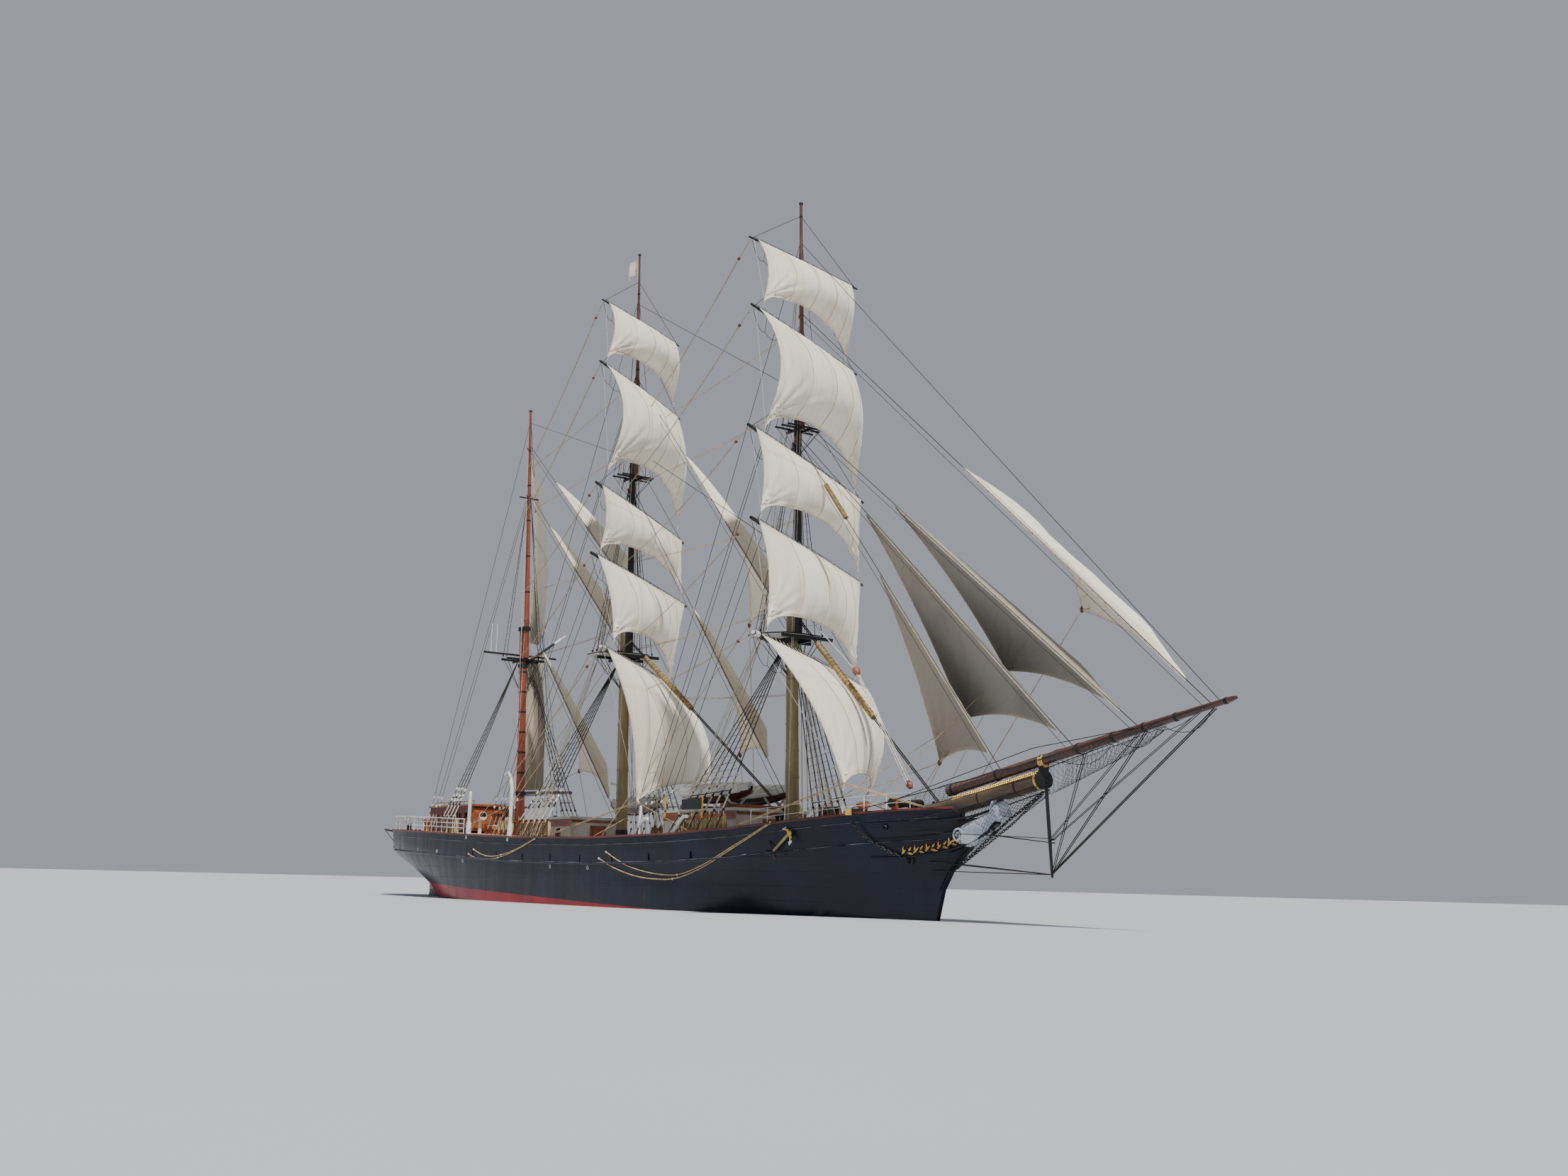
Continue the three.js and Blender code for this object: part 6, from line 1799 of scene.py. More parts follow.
def build_anchors():
    """Catheads, anchors stowed against the bow, hawse pipes, windlass and capstans."""
    iron = Shape()
    for side in (-1, 1):
        outboard = vec(0, side, 0)
        a, b = vec(11.45, side * 0.6, 2.22), vec(11.78, side * 1.3, 2.17)
        turn = Matrix.Translation(a) @ (b - a).to_track_quat("X", "Z").to_matrix().to_4x4()
        long = (b - a).length
        iron.box((0, -0.055, -0.06), (long, 0.055, 0.06), "black_spar", turn)
        iron.box((long - 0.02, -0.065, -0.07), (long + 0.02, 0.065, 0.07), "gold_leaf", turn)
        crown, low = side_point(10.16, 1.74, 0.1, side), side_point(9.66, 1.36, 0.1, side)
        iron.tube([crown, low], [0.036, 0.028], "mast_tan", 10)
        axis = (low - crown).normalized()
        wing = axis.cross(outboard).normalized()
        for way in (-1, 1):
            arm = [crown + axis * 0.02 + wing * (way * w) + axis * d for w, d in ((0, 0), (0.09, 0), (0.17, 0.07))]
            iron.tube(arm, [0.034, 0.03, 0.016], "yellow_paint", 8)
            fluke = arm[2]
            iron.slab([fluke - outboard * 0.045, fluke + wing * (way * 0.03) + axis * 0.07, fluke + outboard * 0.045,
                       fluke - axis * 0.06], wing * (0.016 * way), "skin_white")
        iron.ball(crown, 0.05, "yellow_paint", 10)
        iron.tube([low + outboard * 0.2, low - outboard * 0.03], 0.017, "black_iron", 8)
        iron.tube([low + wing * 0.26, low - wing * 0.26], 0.016, "black_iron", 8)
        iron.tube(circle(low + axis * 0.06, axis * 0.04, wing * 0.045, 13), 0.009, "black_iron", 6, ends=False)
        for x, z, r in ((12.72, 1.2, 0.075), (12.35, 1.86, 0.05)):
            p = side_point(x, z, 0.0, side)
            across, up = across_of((side_point(x, z, 0.1, side) - p).normalized())
            iron.tube(circle(p + outboard * 0.02, across * r, up * r, 17), 0.022, "black_iron", 8, ends=False)
    deck = sheer_at(12.0)
    for y in (-0.3, 0.3):
        iron.box((12.0, y - 0.04, deck), (12.14, y + 0.04, deck + 0.34), "house_teak")
    iron.turned((12.07, -0.42, deck + 0.24), (12.07, 0.42, deck + 0.24),
                [(0, 0.1), (0.1, 0.06), (0.3, 0.1), (0.5, 0.07), (0.7, 0.1), (0.9, 0.06), (1, 0.1)], "black_iron", 16)
    for x in (10.6, -13.2):
        z = sheer_at(x)
        iron.post((x, 0, z), 0.42, [(0, 0.16), (0.08, 0.16), (0.1, 0.11), (0.5, 0.085), (0.75, 0.11), (0.78, 0.15),
                                    (0.95, 0.15), (1, 0.1)], "house_teak", 20)
        iron.post((x, 0, z + 0.4), 0.04, [(0, 0.12), (1, 0.08)], "brass_work", 20)
    for x, y in ((12.75, 0.28), (9.3, 1.3), (-12.9, 0.75), (-5.6, 2.0)):
        for side in (-y, y):
            for dx in (-0.09, 0.09):
                iron.post((x + dx, side, sheer_at(x)), 0.24,
                          [(0, 0.05), (0.1, 0.04), (0.75, 0.04), (0.8, 0.055), (1, 0.045)], "black_iron", 12)
    iron.piece("ground_tackle", SHIP, slot="iron")


# Deck

# Deckhouses: two ends, half-width, floor, height, roof, paint
HOUSES = {
    "fore_deckhouse": (3.9, 7.1, 1.0, 1.143, 1.17, 0.07, "white_paint"),
    "main_deckhouse": (-3.9, -1.3, 0.85, 1.149, 1.12, 0.07, "white_paint"),
    "poop_deckhouse": (-10.9, -7.7, 0.85, 2.012, 0.76, 0.06, "house_teak"),
}
WINDOW = (0.23, 0.26)
WINDOW_PITCH = 0.56

# Boats: x of the stern, y, height of the keel, length, half-breadth, depth
BOATS = [(3.97, -0.56, 2.56, 3.06, 0.41, 0.21), (3.97, 0.56, 2.56, 3.06, 0.41, 0.21),
         (-4.3, 2.12, 2.55, 2.7, 0.36, 0.25)]

# Davits above their foot: steps aft, inboard and up
DAVIT_BENDS = {
    "aft": [(0, 0, 1.25), (-0.02, 0, 1.5), (-0.12, 0, 1.75), (-0.27, 0, 1.87), (-0.44, 0, 1.82)],
    "in": [(0, 0, 1.15), (0, 0.02, 1.4), (0, 0.12, 1.62), (0, 0.28, 1.76), (0, 0.46, 1.8)],
    "": [(0, 0, 1.0), (0, 0, 1.3)],
}

# Boarding ropes along the plating: x and z
SIDE_ROPES = (
    ((-4.47, 1.27), (-3.9, 1.16), (-3.1, 1.13), (-2.3, 1.2), (-1.3, 1.4), (-0.33, 1.66)),
    ((-4.13, 1.4), (-3.6, 1.27), (-2.9, 1.21), (-2.2, 1.26), (-1.3, 1.42), (-0.33, 1.68)),
    ((3.16, 1.165), (4.0, 0.92), (5.0, 0.74), (6.0, 0.7), (7.2, 0.95), (8.4, 1.42), (9.57, 1.95)),
    ((3.5, 1.32), (4.3, 1.05), (5.2, 0.87), (6.2, 0.8), (7.3, 1.03), (8.4, 1.46), (9.57, 1.97)),
)


def build_house_trim(name):
    """Frames, panes, battens, skirting, doors and hand rails of a deckhouse."""
    x0, x1, half, z0, high, roof, paint = HOUSES[name]
    trim = Shape()
    dark = "house_teak" if paint == "white_paint" else "rail_wood"
    count = int((x1 - x0 - 0.5) / WINDOW_PITCH)
    middle, wz = (x0 + x1) / 2, z0 + high * 0.55
    w, h = WINDOW[0] / 2, WINDOW[1] / 2
    frame_w, frame_h, top = w + 0.03, h + 0.03, z0 + high
    places = [middle + (i - (count - 1) / 2) * WINDOW_PITCH for i in range(count)]
    for side in (-1, 1):
        y = side * half
        for x in places:
            for a, b, c, d in ((-frame_w, frame_w, h, frame_h), (-frame_w, frame_w, -frame_h, -h),
                               (-frame_w, -w, -h, h), (w, frame_w, -h, h)):
                trim.box((x + a, y, wz + c), (x + b, y + side * 0.018, wz + d), dark)
            pane = y - side * 0.035
            trim.box((x - w, pane - 0.004, wz - h), (x + w, pane + 0.004, wz + h), "window_glass")
            trim.box((x - 0.008, y, wz - h), (x + 0.008, y - side * 0.02, wz + h), dark)
        for x in [x0] + [(a + b) / 2 for a, b in zip(places[:-1], places[1:])] + [x1]:
            trim.box((x - 0.025, y, z0), (x + 0.025, y + side * 0.014, top), paint)
        for z, t in ((z0, 0.1), (z0 + high * 0.3, 0.03), (top - 0.19, 0.18)):
            trim.box((x0 - 0.02, y, z), (x1 + 0.02, y + side * 0.02, z + t), dark)
        if name == "poop_deckhouse":
            rail = [(x, side * (half - 0.06), top + roof + 0.1) for x in np.linspace(x0 + 0.1, x1 - 0.1, 9)]
            trim.tube(rail, 0.012, "brass_work", 6)
            for x, y, z in rail:
                trim.tube([(x, y, z - 0.1), (x, y, z)], 0.009, "brass_work", 6)
    for x, way in ((x0, -1), (x1, 1)):
        for out, wide, low, up, finish in (
            (0.02, half, z0, z0 + 0.1, dark), (0.02, half, top - 0.08, top - 0.02, dark),
            (0.024, 0.24, z0 + 0.06, z0 + high * 0.86, "house_teak"),
            (0.034, 0.18, z0 + high * 0.12, z0 + high * 0.4, dark),
            (0.034, 0.18, z0 + high * 0.46, z0 + high * 0.74, dark),
        ):
            trim.box((x, -wide, low), (x + way * out, wide, up), finish)
        trim.ball((x + way * 0.05, 0.19, z0 + high * 0.42), 0.02, "brass_work", 8)
    for k in range(int((x1 - x0 + 0.1) / 0.16)):
        x = x0 - 0.05 + k * 0.16
        trim.box((x, -half - 0.063, top + 0.012), (x + 0.01, half + 0.063, top + roof - 0.004), dark)
    trim.piece(f"{name}_trim", SHIP, slot="teak")


def boat_rings(x0, long, y0, keel, half, deep, n=18):
    """Rings of a boat's hull from keel to gunwale."""
    rings = []
    for t in (k / n for k in range(n + 1)):
        full = sin(pi * (0.008 + 0.984 * t)) ** 0.5
        gunwale = keel + deep + 0.13 * abs(2 * t - 1) ** 2.5
        rings.append([(x0 + long * t, y0 - half * full * cos(a),
                       gunwale - deep * sin(a) ** 0.75 * (0.55 + 0.45 * full)) for a in np.linspace(0, pi, 13)])
    return rings


def build_boats():
    """Covered boats on skids over the fore house, one on the port quarter, davits and ventilators."""
    boats = Shape()
    for x0, y0, keel, long, half, deep in BOATS:
        rings = boat_rings(x0, long, y0, keel, half, deep)
        boats.loft(rings, "varnish_spar" if y0 < 1 else "white_paint")
        cover = []
        for ring in rings:
            a, b = Vector(ring[0]), Vector(ring[-1])
            ridge = 0.24 * max(0.15, sin(pi * (ring[0][0] - x0) / long)) ** 0.5
            cover.append([a.lerp(b, s) + vec(0, (s - 0.5) * 0.05, ridge * (1 - abs(2 * s - 1)) ** 0.7
                                             + (0.015 if 0 < s < 1 else -0.09))
                          for s in (0, 0.04, 0.25, 0.5, 0.75, 0.96, 1)])
        boats.loft(cover, "deck_cover")
        for end in (0, -1):
            boats.tube([Vector(ring[end]) - UP * 0.035 for ring in rings], 0.02, "white_paint", 6)
            boats.tube([Vector(ring[end]) - UP * 0.1 for ring in rings[1:-1]], 0.012, "white_paint", 6)
        boats.tube([Vector(ring[6]) - UP * 0.015 for ring in rings], 0.022, "rail_wood", 6)
        for ring in cover[1:18:2]:
            boats.tube([p + UP * 0.004 for p in ring[1:-1]], 0.005, "rope_hemp", 4)
    for x in (4.62, 6.42):
        boats.box((x - 0.05, -0.97, 2.383), (x + 0.05, 0.97, 2.5), "house_teak")
        for y0 in (-0.56, 0.56):
            for side in (-1, 1):
                boats.tube([(x, y0 + side * 0.12, 2.49), (x, y0 + side * 0.3, 2.68)], 0.03, "white_paint", 8)
    boats.piece("boats_on_skids", SHIP, ("boats",), "white_paint", 40)

    davits = Shape()
    for side, x, bend in ((-1, -2.0, "aft"), (-1, -4.75, ""), (1, -2.1, "in"), (1, -3.95, "in")):
        y, z = side * (rail_half(x) - 0.06), sheer_at(x) - 0.1
        path = [(x, y, z)] + [(x + dx, y - side * dy, z + dz) for dx, dy, dz in DAVIT_BENDS[bend]]
        davits.tube(path, [0.056, 0.05, 0.048, 0.044, 0.038, 0.03][:len(path)], "white_paint", 12)
        davits.post((x, y, z), 0.5, [(0, 0.078), (0.9, 0.074), (1, 0.052)], "white_paint", 12)
        davits.ball(path[-1], 0.05, "white_paint", 10)
    for side in (-1, 1):
        for x in (4.5, 6.1):
            y, top = side * (rail_half(x) - 0.14), sheer_at(x) + 0.42
            bends = ((0, -0.5), (0.12, -0.3), (0.3, -0.1), (0.45, -0.01), (0.6, 0))
            path = [(x, y, deck_at(x))] + [(x + dx, y, top + dz) for dx, dz in bends]
            davits.tube(path, 0.042, "white_paint", 10)
        davits.post((4.75, side * (rail_half(4.75) - 0.14), sheer_at(4.75) - 0.4), 1.13,
                    [(0, 0.05), (0.5, 0.046), (0.95, 0.036), (1, 0.02)], "white_paint", 10)
    for x, y in ((-6.4, -1.2), (-6.4, 1.2), (-3.0, 1.35), (3.3, -1.3), (3.3, 1.3)):
        z = deck_at(x)
        bends = ((0, 0), (0, 0.38), (0.02, 0.48), (0.1, 0.56), (0.19, 0.57))
        davits.tube([(x + dx, y, z + dz) for dx, dz in bends], [0.055, 0.055, 0.066, 0.09, 0.125], "white_paint", 14)
        # A dark disc in each ventilator's mouth: painted shade of the hollow cowl
        davits.tube([(x + 0.188, y, z + 0.57), (x + 0.194, y, z + 0.57)], 0.11, "window_glass", 14)
    davits.piece("davits_and_vents", SHIP, slot="white_paint")


def build_deck_fittings():
    """Hatches, skylight, fife rails, binnacle, pumps and ladders."""
    deck = Shape()
    for x, w, h, top in ((2.0, 0.85, 0.7, 0.2), (9.55, 0.4, 0.4, 0.16), (-7.45, 0.3, 0.45, 0.3)):
        z = deck_at(x) - 0.02
        deck.box((x - w, -h, z), (x + w, h, z + top), "house_teak")
        deck.box((x - w + 0.04, -h + 0.04, z + top), (x + w - 0.04, h - 0.04, z + top + 0.03), "deck_cover")
        for k in range(4):
            bar = x - w + (k + 0.5) * w / 2
            deck.box((bar - 0.02, -h - 0.01, z + top + 0.03), (bar + 0.02, h + 0.01, z + top + 0.045), "black_iron")
    x, z = -5.55, sheer_at(-5.55)
    skylight = ((-0.45, 0), (0.45, 0), (0.45, 0.22), (0.36, 0.42), (-0.36, 0.42), (-0.45, 0.22))
    deck.loft([[(x + dx, y, z + dz) for dx, dz in skylight] for y in (-0.4, 0.4)], "house_teak")
    for m in MASTS.values():
        x, z = m["x"], deck_at(m["x"])
        for y in (-0.42, 0.42):
            for dx in (-0.42, 0.42):
                deck.post((x + dx, y, z), 0.5, [(0, 0.045), (0.2, 0.03), (0.5, 0.045), (0.8, 0.03), (1, 0.045)],
                          "house_teak", 10)
            deck.box((x - 0.48, y - 0.05, z + 0.42), (x + 0.48, y + 0.05, z + 0.47), "house_teak")
        deck.box((x + 0.37, -0.42, z + 0.42), (x + 0.47, 0.42, z + 0.47), "house_teak")
    x, z = -11.15, sheer_at(-11.15)
    deck.post((x, 0, z), 0.5, [(0, 0.1), (0.1, 0.07), (0.6, 0.06), (0.7, 0.1), (1, 0.1)], "house_teak", 14)
    deck.ball((x, 0, z + 0.54), 0.085, "brass_work", 14)
    for side in (-1, 1):
        deck.ball((x, side * 0.13, z + 0.46), 0.04, "mizzen_red", 10)
        for end, way in ((WAIST[0], 1), (WAIST[1], -1)):
            low = vec(end + way * 0.36, side * 1.55, deck_at(end + way * 0.5))
            high = vec(end + way * 0.02, side * 1.55, sheer_at(end))
            for dy in (-0.17, 0.17):
                deck.tube([low + vec(0, dy, 0), high + vec(0, dy, 0.02)], 0.022, "house_teak", 6)
            for k in range(1, 5):
                p, half = low.lerp(high, k / 5), vec(0.05, 0.16, 0.01)
                deck.box(p - half, p + half, "house_teak")
    for x in (0.55, -4.4):
        z = deck_at(x)
        deck.post((x, 0, z), 0.36, [(0, 0.1), (0.2, 0.06), (0.8, 0.05), (1, 0.07)], "black_iron", 12)
        deck.tube(circle(vec(x, 0.2, z + 0.3), vec(0, 0.16, 0), UP * 0.16, 19), 0.012, "black_iron", 6, ends=False)
    deck.piece("deck_fittings", SHIP, slot="teak")


def build_railings():
    """White rails round the poop, wires round the forecastle, and coils on the pins."""
    posts, coils = Copies(), Copies()
    rails = Ropes()
    poop = list(np.arange(-13.9, WAIST[0] + 0.05, 0.42))
    forecastle = list(np.arange(WAIST[1] + 0.15, 13.0, 0.5))
    for xs, size in ((poop, 1.0), (forecastle, 0.8)):
        for x in xs:
            for side in (-1, 1):
                posts.put(rail_point(x, side, -0.05, 0.04), size=size)
    for y in np.linspace(-0.5, 0.5, 4):
        posts.put((poop[0], y, sheer_at(poop[0]) + 0.04))
    for h in (0.16, 0.29, 0.42):
        path = [rail_point(x, -1, -0.05, 0.04 + h) for x in poop[::-1]]
        rails.run(*path, *[rail_point(x, 1, -0.05, 0.04 + h) for x in poop], r=0.012 if h < 0.4 else 0.017)
    for side in (-1, 1):
        for h in (0.14, 0.33):
            rails.run(*[rail_point(x, side, -0.05, 0.04 + h) for x in forecastle], r=0.006)
    rng = np.random.default_rng(3)
    for m in MASTS.values():
        at = vec(m["x"], 0, deck_at(m["x"]) + 0.44)
        for y in (-0.46, 0.46):
            for x in np.linspace(-0.4, 0.4, 6):
                coils.put(at + vec(x, y, 0), (0, 0, (rng.random() - 0.5)), (1, 1, 0.8 + 0.5 * rng.random()))
    post = turned_model(0, 0.42, [(0, 0.018), (0.05, 0.012), (1, 0.012)], "white_paint", 6)
    posts.piece("rail_stanchions", SHIP, post, "white_paint", slot="white_paint")
    rails.piece("poop_rails", SHIP, "white_paint", 6, slot="white_paint")
    coils.piece("rope_coils", SHIP, rope_coil(), "rope_hemp", slot="rigging")


def build_side_ropes():
    """Boarding ropes made fast against the plating, with ports and scuppers."""
    ropes, ports = Ropes(), Shape()
    for side in (-1, 1):
        for points in SIDE_ROPES:
            stations, heights = zip(*points)
            xs = np.linspace(stations[0], stations[-1], 26)
            path = [side_point(x, z, 0.018, side) for x, z in zip(xs, smooth_at(stations, heights, xs))]
            ropes.run(*path, r=0.014)
            for k in (0, 12, 25):
                ports.ball(path[k], 0.026, "rope_white", 8)
        for x in (-12.6, -12.0, -10.9, -8.6, -6.9, -4.9, 0.6, 2.6):
            p = side_point(x, sheer_at(x) - (0.72 if x > -5.5 else 0.52), 0.0, side)
            half, up = vec(0.045, 0, 0), UP * 0.04
            ports.tube(circle(p + vec(0, side * 0.006, 0), half, up, 15), 0.01, "white_paint", 6, ends=False)
            ports.slab(circle(p + vec(0, side * 0.002, 0), half, up, 14)[:-1], (0, side * 0.006, 0), "window_glass")
        for x in np.arange(-4.4, 8.4, 1.6):
            z = deck_at(x) + 0.12
            p = side_point(x, z, 0.002, side)
            ports.box((p.x - 0.16, p.y, z - 0.07), (p.x + 0.16, p.y + side * 0.012, z + 0.09), "hull_paint")
    ropes.piece("side_ropes", SHIP, "rope_hemp", 6)
    ports.piece("ports_and_scuppers", SHIP, slot="white_paint")


def build_stern():
    """Rudder, boomkins, wheel and the flag at the main truck."""
    rudder = Shape()
    rings = []
    for z, t, shift in ((-1.7, 0.04, 0.12), (-1.2, 0.045, 0), (-0.4, 0.045, 0.072), (0.2, 0.045, 0.312)):
        tail = -12.9 + shift
        rings.append([(-12.24, -t, z), (tail, -t * 0.5, z), (tail - 0.04, 0, z), (tail, t * 0.5, z), (-12.24, t, z)])
    rudder.loft(rings, "hull_paint")
    rudder.tube([(-12.3, 0, -1.66), (-12.3, 0, 0.235)], 0.045, "hull_paint", 12)
    for z in (-1.4, -0.8, -0.2):
        rudder.box((-12.75, -0.05, z - 0.035), (-12.25, 0.05, z + 0.035), "black_iron")
    rudder.piece("rudder_blade", "rudder", ("rudder",), "iron")
    stern = Shape()
    for side in (-1, 1):
        stern.tube([rail_point(-13.4, side, -0.05, -0.05), (-14.25, side * 1.05, 2.13)], [0.035, 0.028],
                   "black_spar", 8)
        stern.tube([(-14.22, side * 1.04, 2.1), side_point(-13.3, 1.5, 0.02, side)], 0.011, "black_iron", 6)
    stern.piece("boomkins", SHIP, slot="iron")
    low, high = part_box("steering_wheel")
    centre = (low + high) / 2
    radius = (high.z - low.z) / 2
    wheel = Shape()
    for r, thick in ((radius * 0.72, 0.022), (radius * 0.6, 0.012)):
        rim = circle(vec(centre.x, 0, centre.z), vec(0, r, 0), UP * r, 33)
        wheel.tube(rim, thick, "varnish_spar", 8, ends=False)
    spoke = [(0, 0.014), (0.3, 0.02), (0.55, 0.013), (0.72, 0.017), (0.78, 0.01), (0.9, 0.019), (1, 0.01)]
    for k in range(8):
        out = vec(0, cos(pi / 4 * k), sin(pi / 4 * k))
        wheel.turned(centre + out * 0.03, centre + out * (radius - 0.004), spoke, "varnish_spar", 8)
    hub = vec(0.06, 0, 0)
    wheel.turned(centre - hub, centre + hub, [(0, 0.03), (0.2, 0.06), (0.8, 0.06), (1, 0.03)], "brass_work", 14)
    wheel.piece("wheel_with_spokes", "steering_wheel", ("steering_wheel",), "varnish")
    top = np.array(mast_at("main", "pole", 18.2))
    us, vs = np.linspace(0, 1, 14), np.linspace(0, 1, 8)
    grid = np.array([[top + np.array((-0.03 - 0.62 * u, 0.1 * sin(7 * u) * u, 0.2 - 0.42 * v - 0.1 * u)) for v in vs]
                     for u in us])
    metres = np.stack(np.meshgrid(us * 0.62, vs * 0.42, indexing="ij"), axis=-1)
    cloth = cloth_piece("truck_flag", SHIP, grid, metres, hem_of(us, vs, us[1], vs[1]), "canvas", 0.003)


# Add-on


class BarqueSettings(bpy.types.PropertyGroup):
    """Sizes and colours that the builders read."""
    rope_scale: bpy.props.FloatProperty(
        name="Rope thickness", description="Factor on the thickness of every rope", default=1.0, min=0.2, max=3)
    cloth_width: bpy.props.FloatProperty(
        name="Cloth width", description="Width of the strips a sail is sewn from", default=0.3, unit="LENGTH")
    hull_colour: bpy.props.FloatVectorProperty(
        name="Topsides", description="Paint of the sides", subtype="COLOR", size=4, default=rgb(15, 18, 30))
    boot_colour: bpy.props.FloatVectorProperty(
        name="Boot-top", description="Paint of the bottom", subtype="COLOR", size=4, default=rgb(142, 22, 28))
    canvas_colour: bpy.props.FloatVectorProperty(
        name="Canvas", description="Colour of the sails", subtype="COLOR", size=4, default=rgb(238, 230, 208))


class BuildStep(bpy.types.Operator):
    """Part of a build: runs the builders in its list"""
    bl_options = {"REGISTER", "UNDO"}
    bl_label = "Step"
    steps = ()

    def execute(self, context):
        before = len(context.scene.objects)
        for step in self.steps:
            step()
        if len(context.scene.objects) == before:
            raise RuntimeError(f"{self.bl_label} made no object")
        return {"FINISHED"}


class BARQUE_OT_hull(BuildStep):
    """Build the hull shell, its rails and mouldings"""
    bl_idname, bl_label = "barque.hull", "Hull"
    steps = (build_hull, build_rails)


class BARQUE_OT_masts(BuildStep):
    """Build the three masts with their tops and caps"""
    bl_idname, bl_label = "barque.masts", "Masts"
    steps = tuple((lambda mast=mast: build_mast(mast)) for mast in MASTS)


class BARQUE_OT_yards(BuildStep):
    """Build the ten yards with their footropes"""
    bl_idname, bl_label = "barque.yards", "Yards"
    steps = tuple((lambda yard=yard: build_yard(yard)) for yard in RIG.values())


class BARQUE_OT_square_sails(BuildStep):
    """Build the ten square sails"""
    bl_idname, bl_label = "barque.square_sails", "Square sails"
    steps = tuple((lambda yard=yard: build_square_sail(yard)) for yard in RIG.values())


class BARQUE_OT_stay_sails(BuildStep):
    """Build the nine sails that are set on stays"""
    bl_idname, bl_label = "barque.stay_sails", "Stay sails"
    steps = tuple((lambda row=row: build_stay_sail(row)) for row in STAYSAILS)


class BARQUE_OT_spanker(BuildStep):
    """Build the boom, gaff, spanker and gaff topsail"""
    bl_idname, bl_label = "barque.spanker", "Spanker"
    steps = (build_spanker,)


class BARQUE_OT_bowsprit(BuildStep):
    """Build the bowsprit and jibboom"""
    bl_idname, bl_label = "barque.bowsprit", "Bowsprit"
    steps = (build_bowsprit,)


class BARQUE_OT_shrouds(BuildStep):
    """Build the shrouds, ratlines, deadeyes and backstays"""
    bl_idname, bl_label = "barque.shrouds", "Shrouds"
    steps = tuple((lambda k=k, row=row: build_shrouds(k, *row)) for k in SHROUDS for row in SIDES)


class BARQUE_OT_stays(BuildStep):
    """Build the forestay, the mainstay and the stays above them"""
    bl_idname, bl_label = "barque.stays", "Stays"
    steps = (build_stays,)


class BARQUE_OT_braces(BuildStep):
    """Build the braces of every yard, and the tacks and sheets of the courses"""
    bl_idname, bl_label = "barque.braces", "Braces"
    steps = (
        *((lambda yard=yard: build_braces(yard)) for yard in RIG.values()),
        *((lambda yard=RIG[name]: build_sheets(yard)) for name in ("fore_course", "main_course")),
    )


class BARQUE_OT_halyards(BuildStep):
    """Build the halyards, falls, blocks and belaying pins"""
    bl_idname, bl_label = "barque.halyards", "Halyards"
    steps = (build_halyards, pin_row)


class BARQUE_OT_head(BuildStep):
    """Build the knee of the head, figurehead, netting and head stays"""
    bl_idname, bl_label = "barque.head", "Head"
    steps = (build_head, build_figurehead, build_head_rigging, build_anchors)


class BARQUE_OT_deck(BuildStep):
    """Build the deckhouses, boats, fittings and railings"""
    bl_idname, bl_label = "barque.deck", "Deck"
    steps = (
        *((lambda name=name: build_house_trim(name)) for name in HOUSES),
        build_boats, build_deck_fittings, build_railings,
    )


class BARQUE_OT_sides(BuildStep):
    """Build what is on the hull's sides and stern"""
    bl_idname, bl_label = "barque.sides", "Sides and stern"
    steps = (build_side_ropes, build_stern)


# Stage

# The camera that was fitted to the photograph: place, axes, lens and sensor
CAMERA_PLACE = (38.728411, -21.902222, 0.707606)
CAMERA_AXES = ((0.576288, 0.816903, 0.023697), (0.132272, -0.121847, 0.983696), (0.806472, -0.563757, -0.178272))
CAMERA_LENS = 37.2358
SENSOR = 36
FLOOR_HALF = 220


def build_stage():
    """Camera at the photo's angle, a pale floor at the waterline and soft studio light."""
    scene = bpy.context.scene
    camera = bpy.data.objects.new("camera", bpy.data.cameras.new("camera"))
    camera.data.lens, camera.data.sensor_width = CAMERA_LENS, SENSOR
    camera.data.clip_end = 500
    turn = Matrix(CAMERA_AXES).transposed().to_4x4()
    camera.matrix_world = Matrix.Translation(CAMERA_PLACE) @ turn
    scene.collection.objects.link(camera)
    scene.camera = camera

    mesh = bpy.data.meshes.new("floor")
    mesh.from_pydata([(x * FLOOR_HALF, y * FLOOR_HALF, 0) for x, y in ((-1, -1), (1, -1), (1, 1), (-1, 1))], [],
                     [[0, 1, 2, 3]])
    mesh.materials.append(FINISHES["floor_grey"])
    ground = bpy.data.objects.new("floor", mesh)
    scene.collection.objects.link(ground)

    world = bpy.data.worlds.new("studio")
    world.use_nodes = True
    sky = world.node_tree.nodes["Background"]
    sky.inputs["Color"].default_value = (0.86, 0.9, 1.0, 1)
    sky.inputs["Strength"].default_value = 0.4
    scene.world = world
    sun = bpy.data.objects.new("key", bpy.data.lights.new("key", "SUN"))
    sun.data.energy, sun.data.angle = 5.0, radians(3)
    sun.matrix_world = vec(-0.5, 0.1, -0.86).to_track_quat("-Z", "Y").to_matrix().to_4x4()
    scene.collection.objects.link(sun)


class BARQUE_OT_stage(BuildStep):
    """Set up the camera, the floor and the light"""
    bl_idname, bl_label = "barque.stage", "Stage"
    steps = (build_stage,)


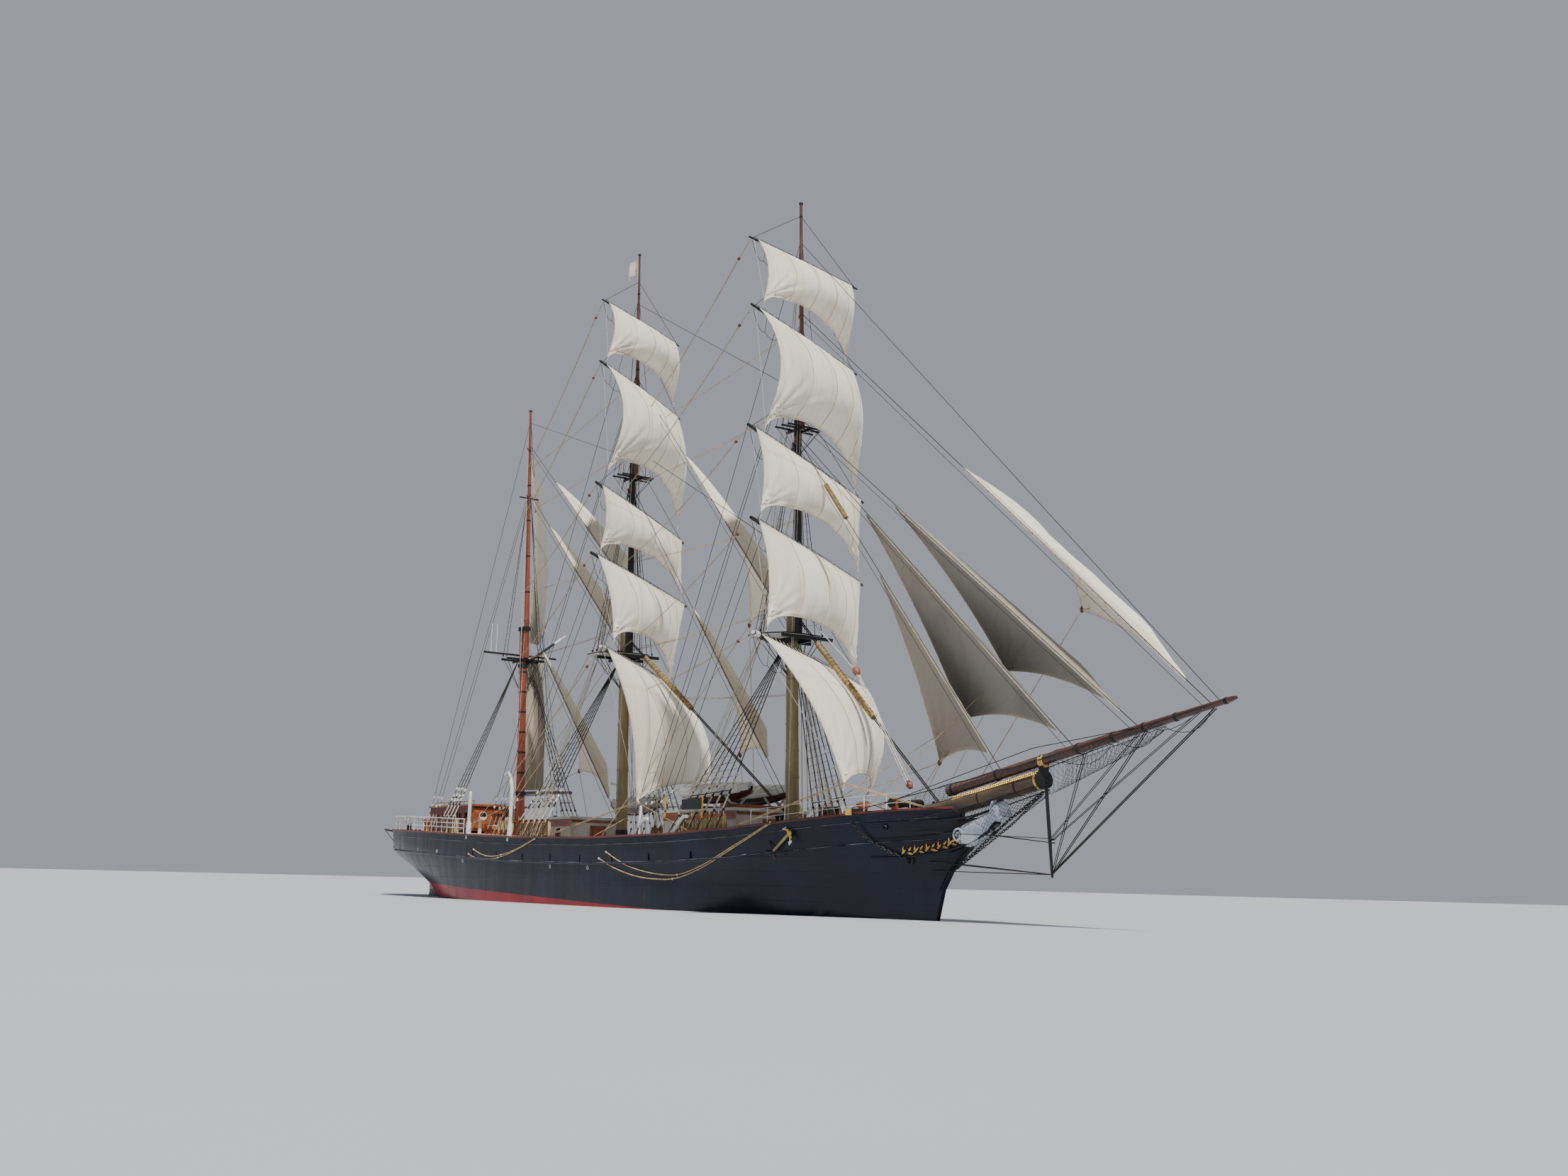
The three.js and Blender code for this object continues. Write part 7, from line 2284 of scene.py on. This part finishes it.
STEPS = (
    BARQUE_OT_hull, BARQUE_OT_masts, BARQUE_OT_yards, BARQUE_OT_square_sails, BARQUE_OT_stay_sails,
    BARQUE_OT_spanker, BARQUE_OT_bowsprit, BARQUE_OT_shrouds, BARQUE_OT_stays, BARQUE_OT_braces,
    BARQUE_OT_halyards, BARQUE_OT_head, BARQUE_OT_deck, BARQUE_OT_sides, BARQUE_OT_stage,
)


class BARQUE_PT_panel(bpy.types.Panel):
    """Lists the builders in the sidebar"""
    bl_label = "Barque under sail"
    bl_idname = "BARQUE_PT_panel"
    bl_space_type = "VIEW_3D"
    bl_region_type = "UI"
    bl_category = "Barque"

    def draw(self, context):
        for name in ("rope_scale", "cloth_width", "hull_colour", "boot_colour", "canvas_colour"):
            self.layout.prop(context.scene.barque, name)
        for step in STEPS:
            self.layout.operator(step.bl_idname)


CLASSES = (BarqueSettings, *STEPS, BARQUE_PT_panel)


def register():
    """Registers the classes and the settings of the scene."""
    for one in CLASSES:
        bpy.utils.register_class(one)
    bpy.types.Scene.barque = bpy.props.PointerProperty(type=BarqueSettings)


def unregister():
    """Takes them away again."""
    del bpy.types.Scene.barque
    for one in reversed(CLASSES):
        bpy.utils.unregister_class(one)


def dress_cad_nodes():
    """Gives a procedural finish to every CAD node that still shows."""
    paints = {"iron": "hull_paint", "varnish": "varnish_spar", "black_paint": "black_spar", "teak": "house_teak",
              "white_paint": "white_paint", "ochre": "ochre_paint", "rigging": "rope_tarred", "tan_paint": "mast_tan",
              "canvas": "canvas", "shaded_canvas": "canvas_old"}
    for node in list(bpy.context.scene.objects):
        if node.type != "MESH" or node.hide_render or node.name.startswith("floor"):
            continue
        for place in node.material_slots:
            if place.material and place.material.name in paints:
                place.material = FINISHES[paints[place.material.name]]


def main():
    """Builds the ship step by step."""
    register()
    make_finishes(settings())
    floor = Finish("floor_grey", Roughness=0.7)
    floor.feed(Base_Color=floor.mix(floor.noise(0.2), rgb(180, 183, 188), rgb(190, 192, 196)))
    TREES["rope"], TREES["copies"] = rope_tree(), copies_tree()
    for step in STEPS:
        group, name = step.bl_idname.split(".")
        getattr(getattr(bpy.ops, group), name)()
    dress_cad_nodes()


if __name__ == "__main__":
    main()
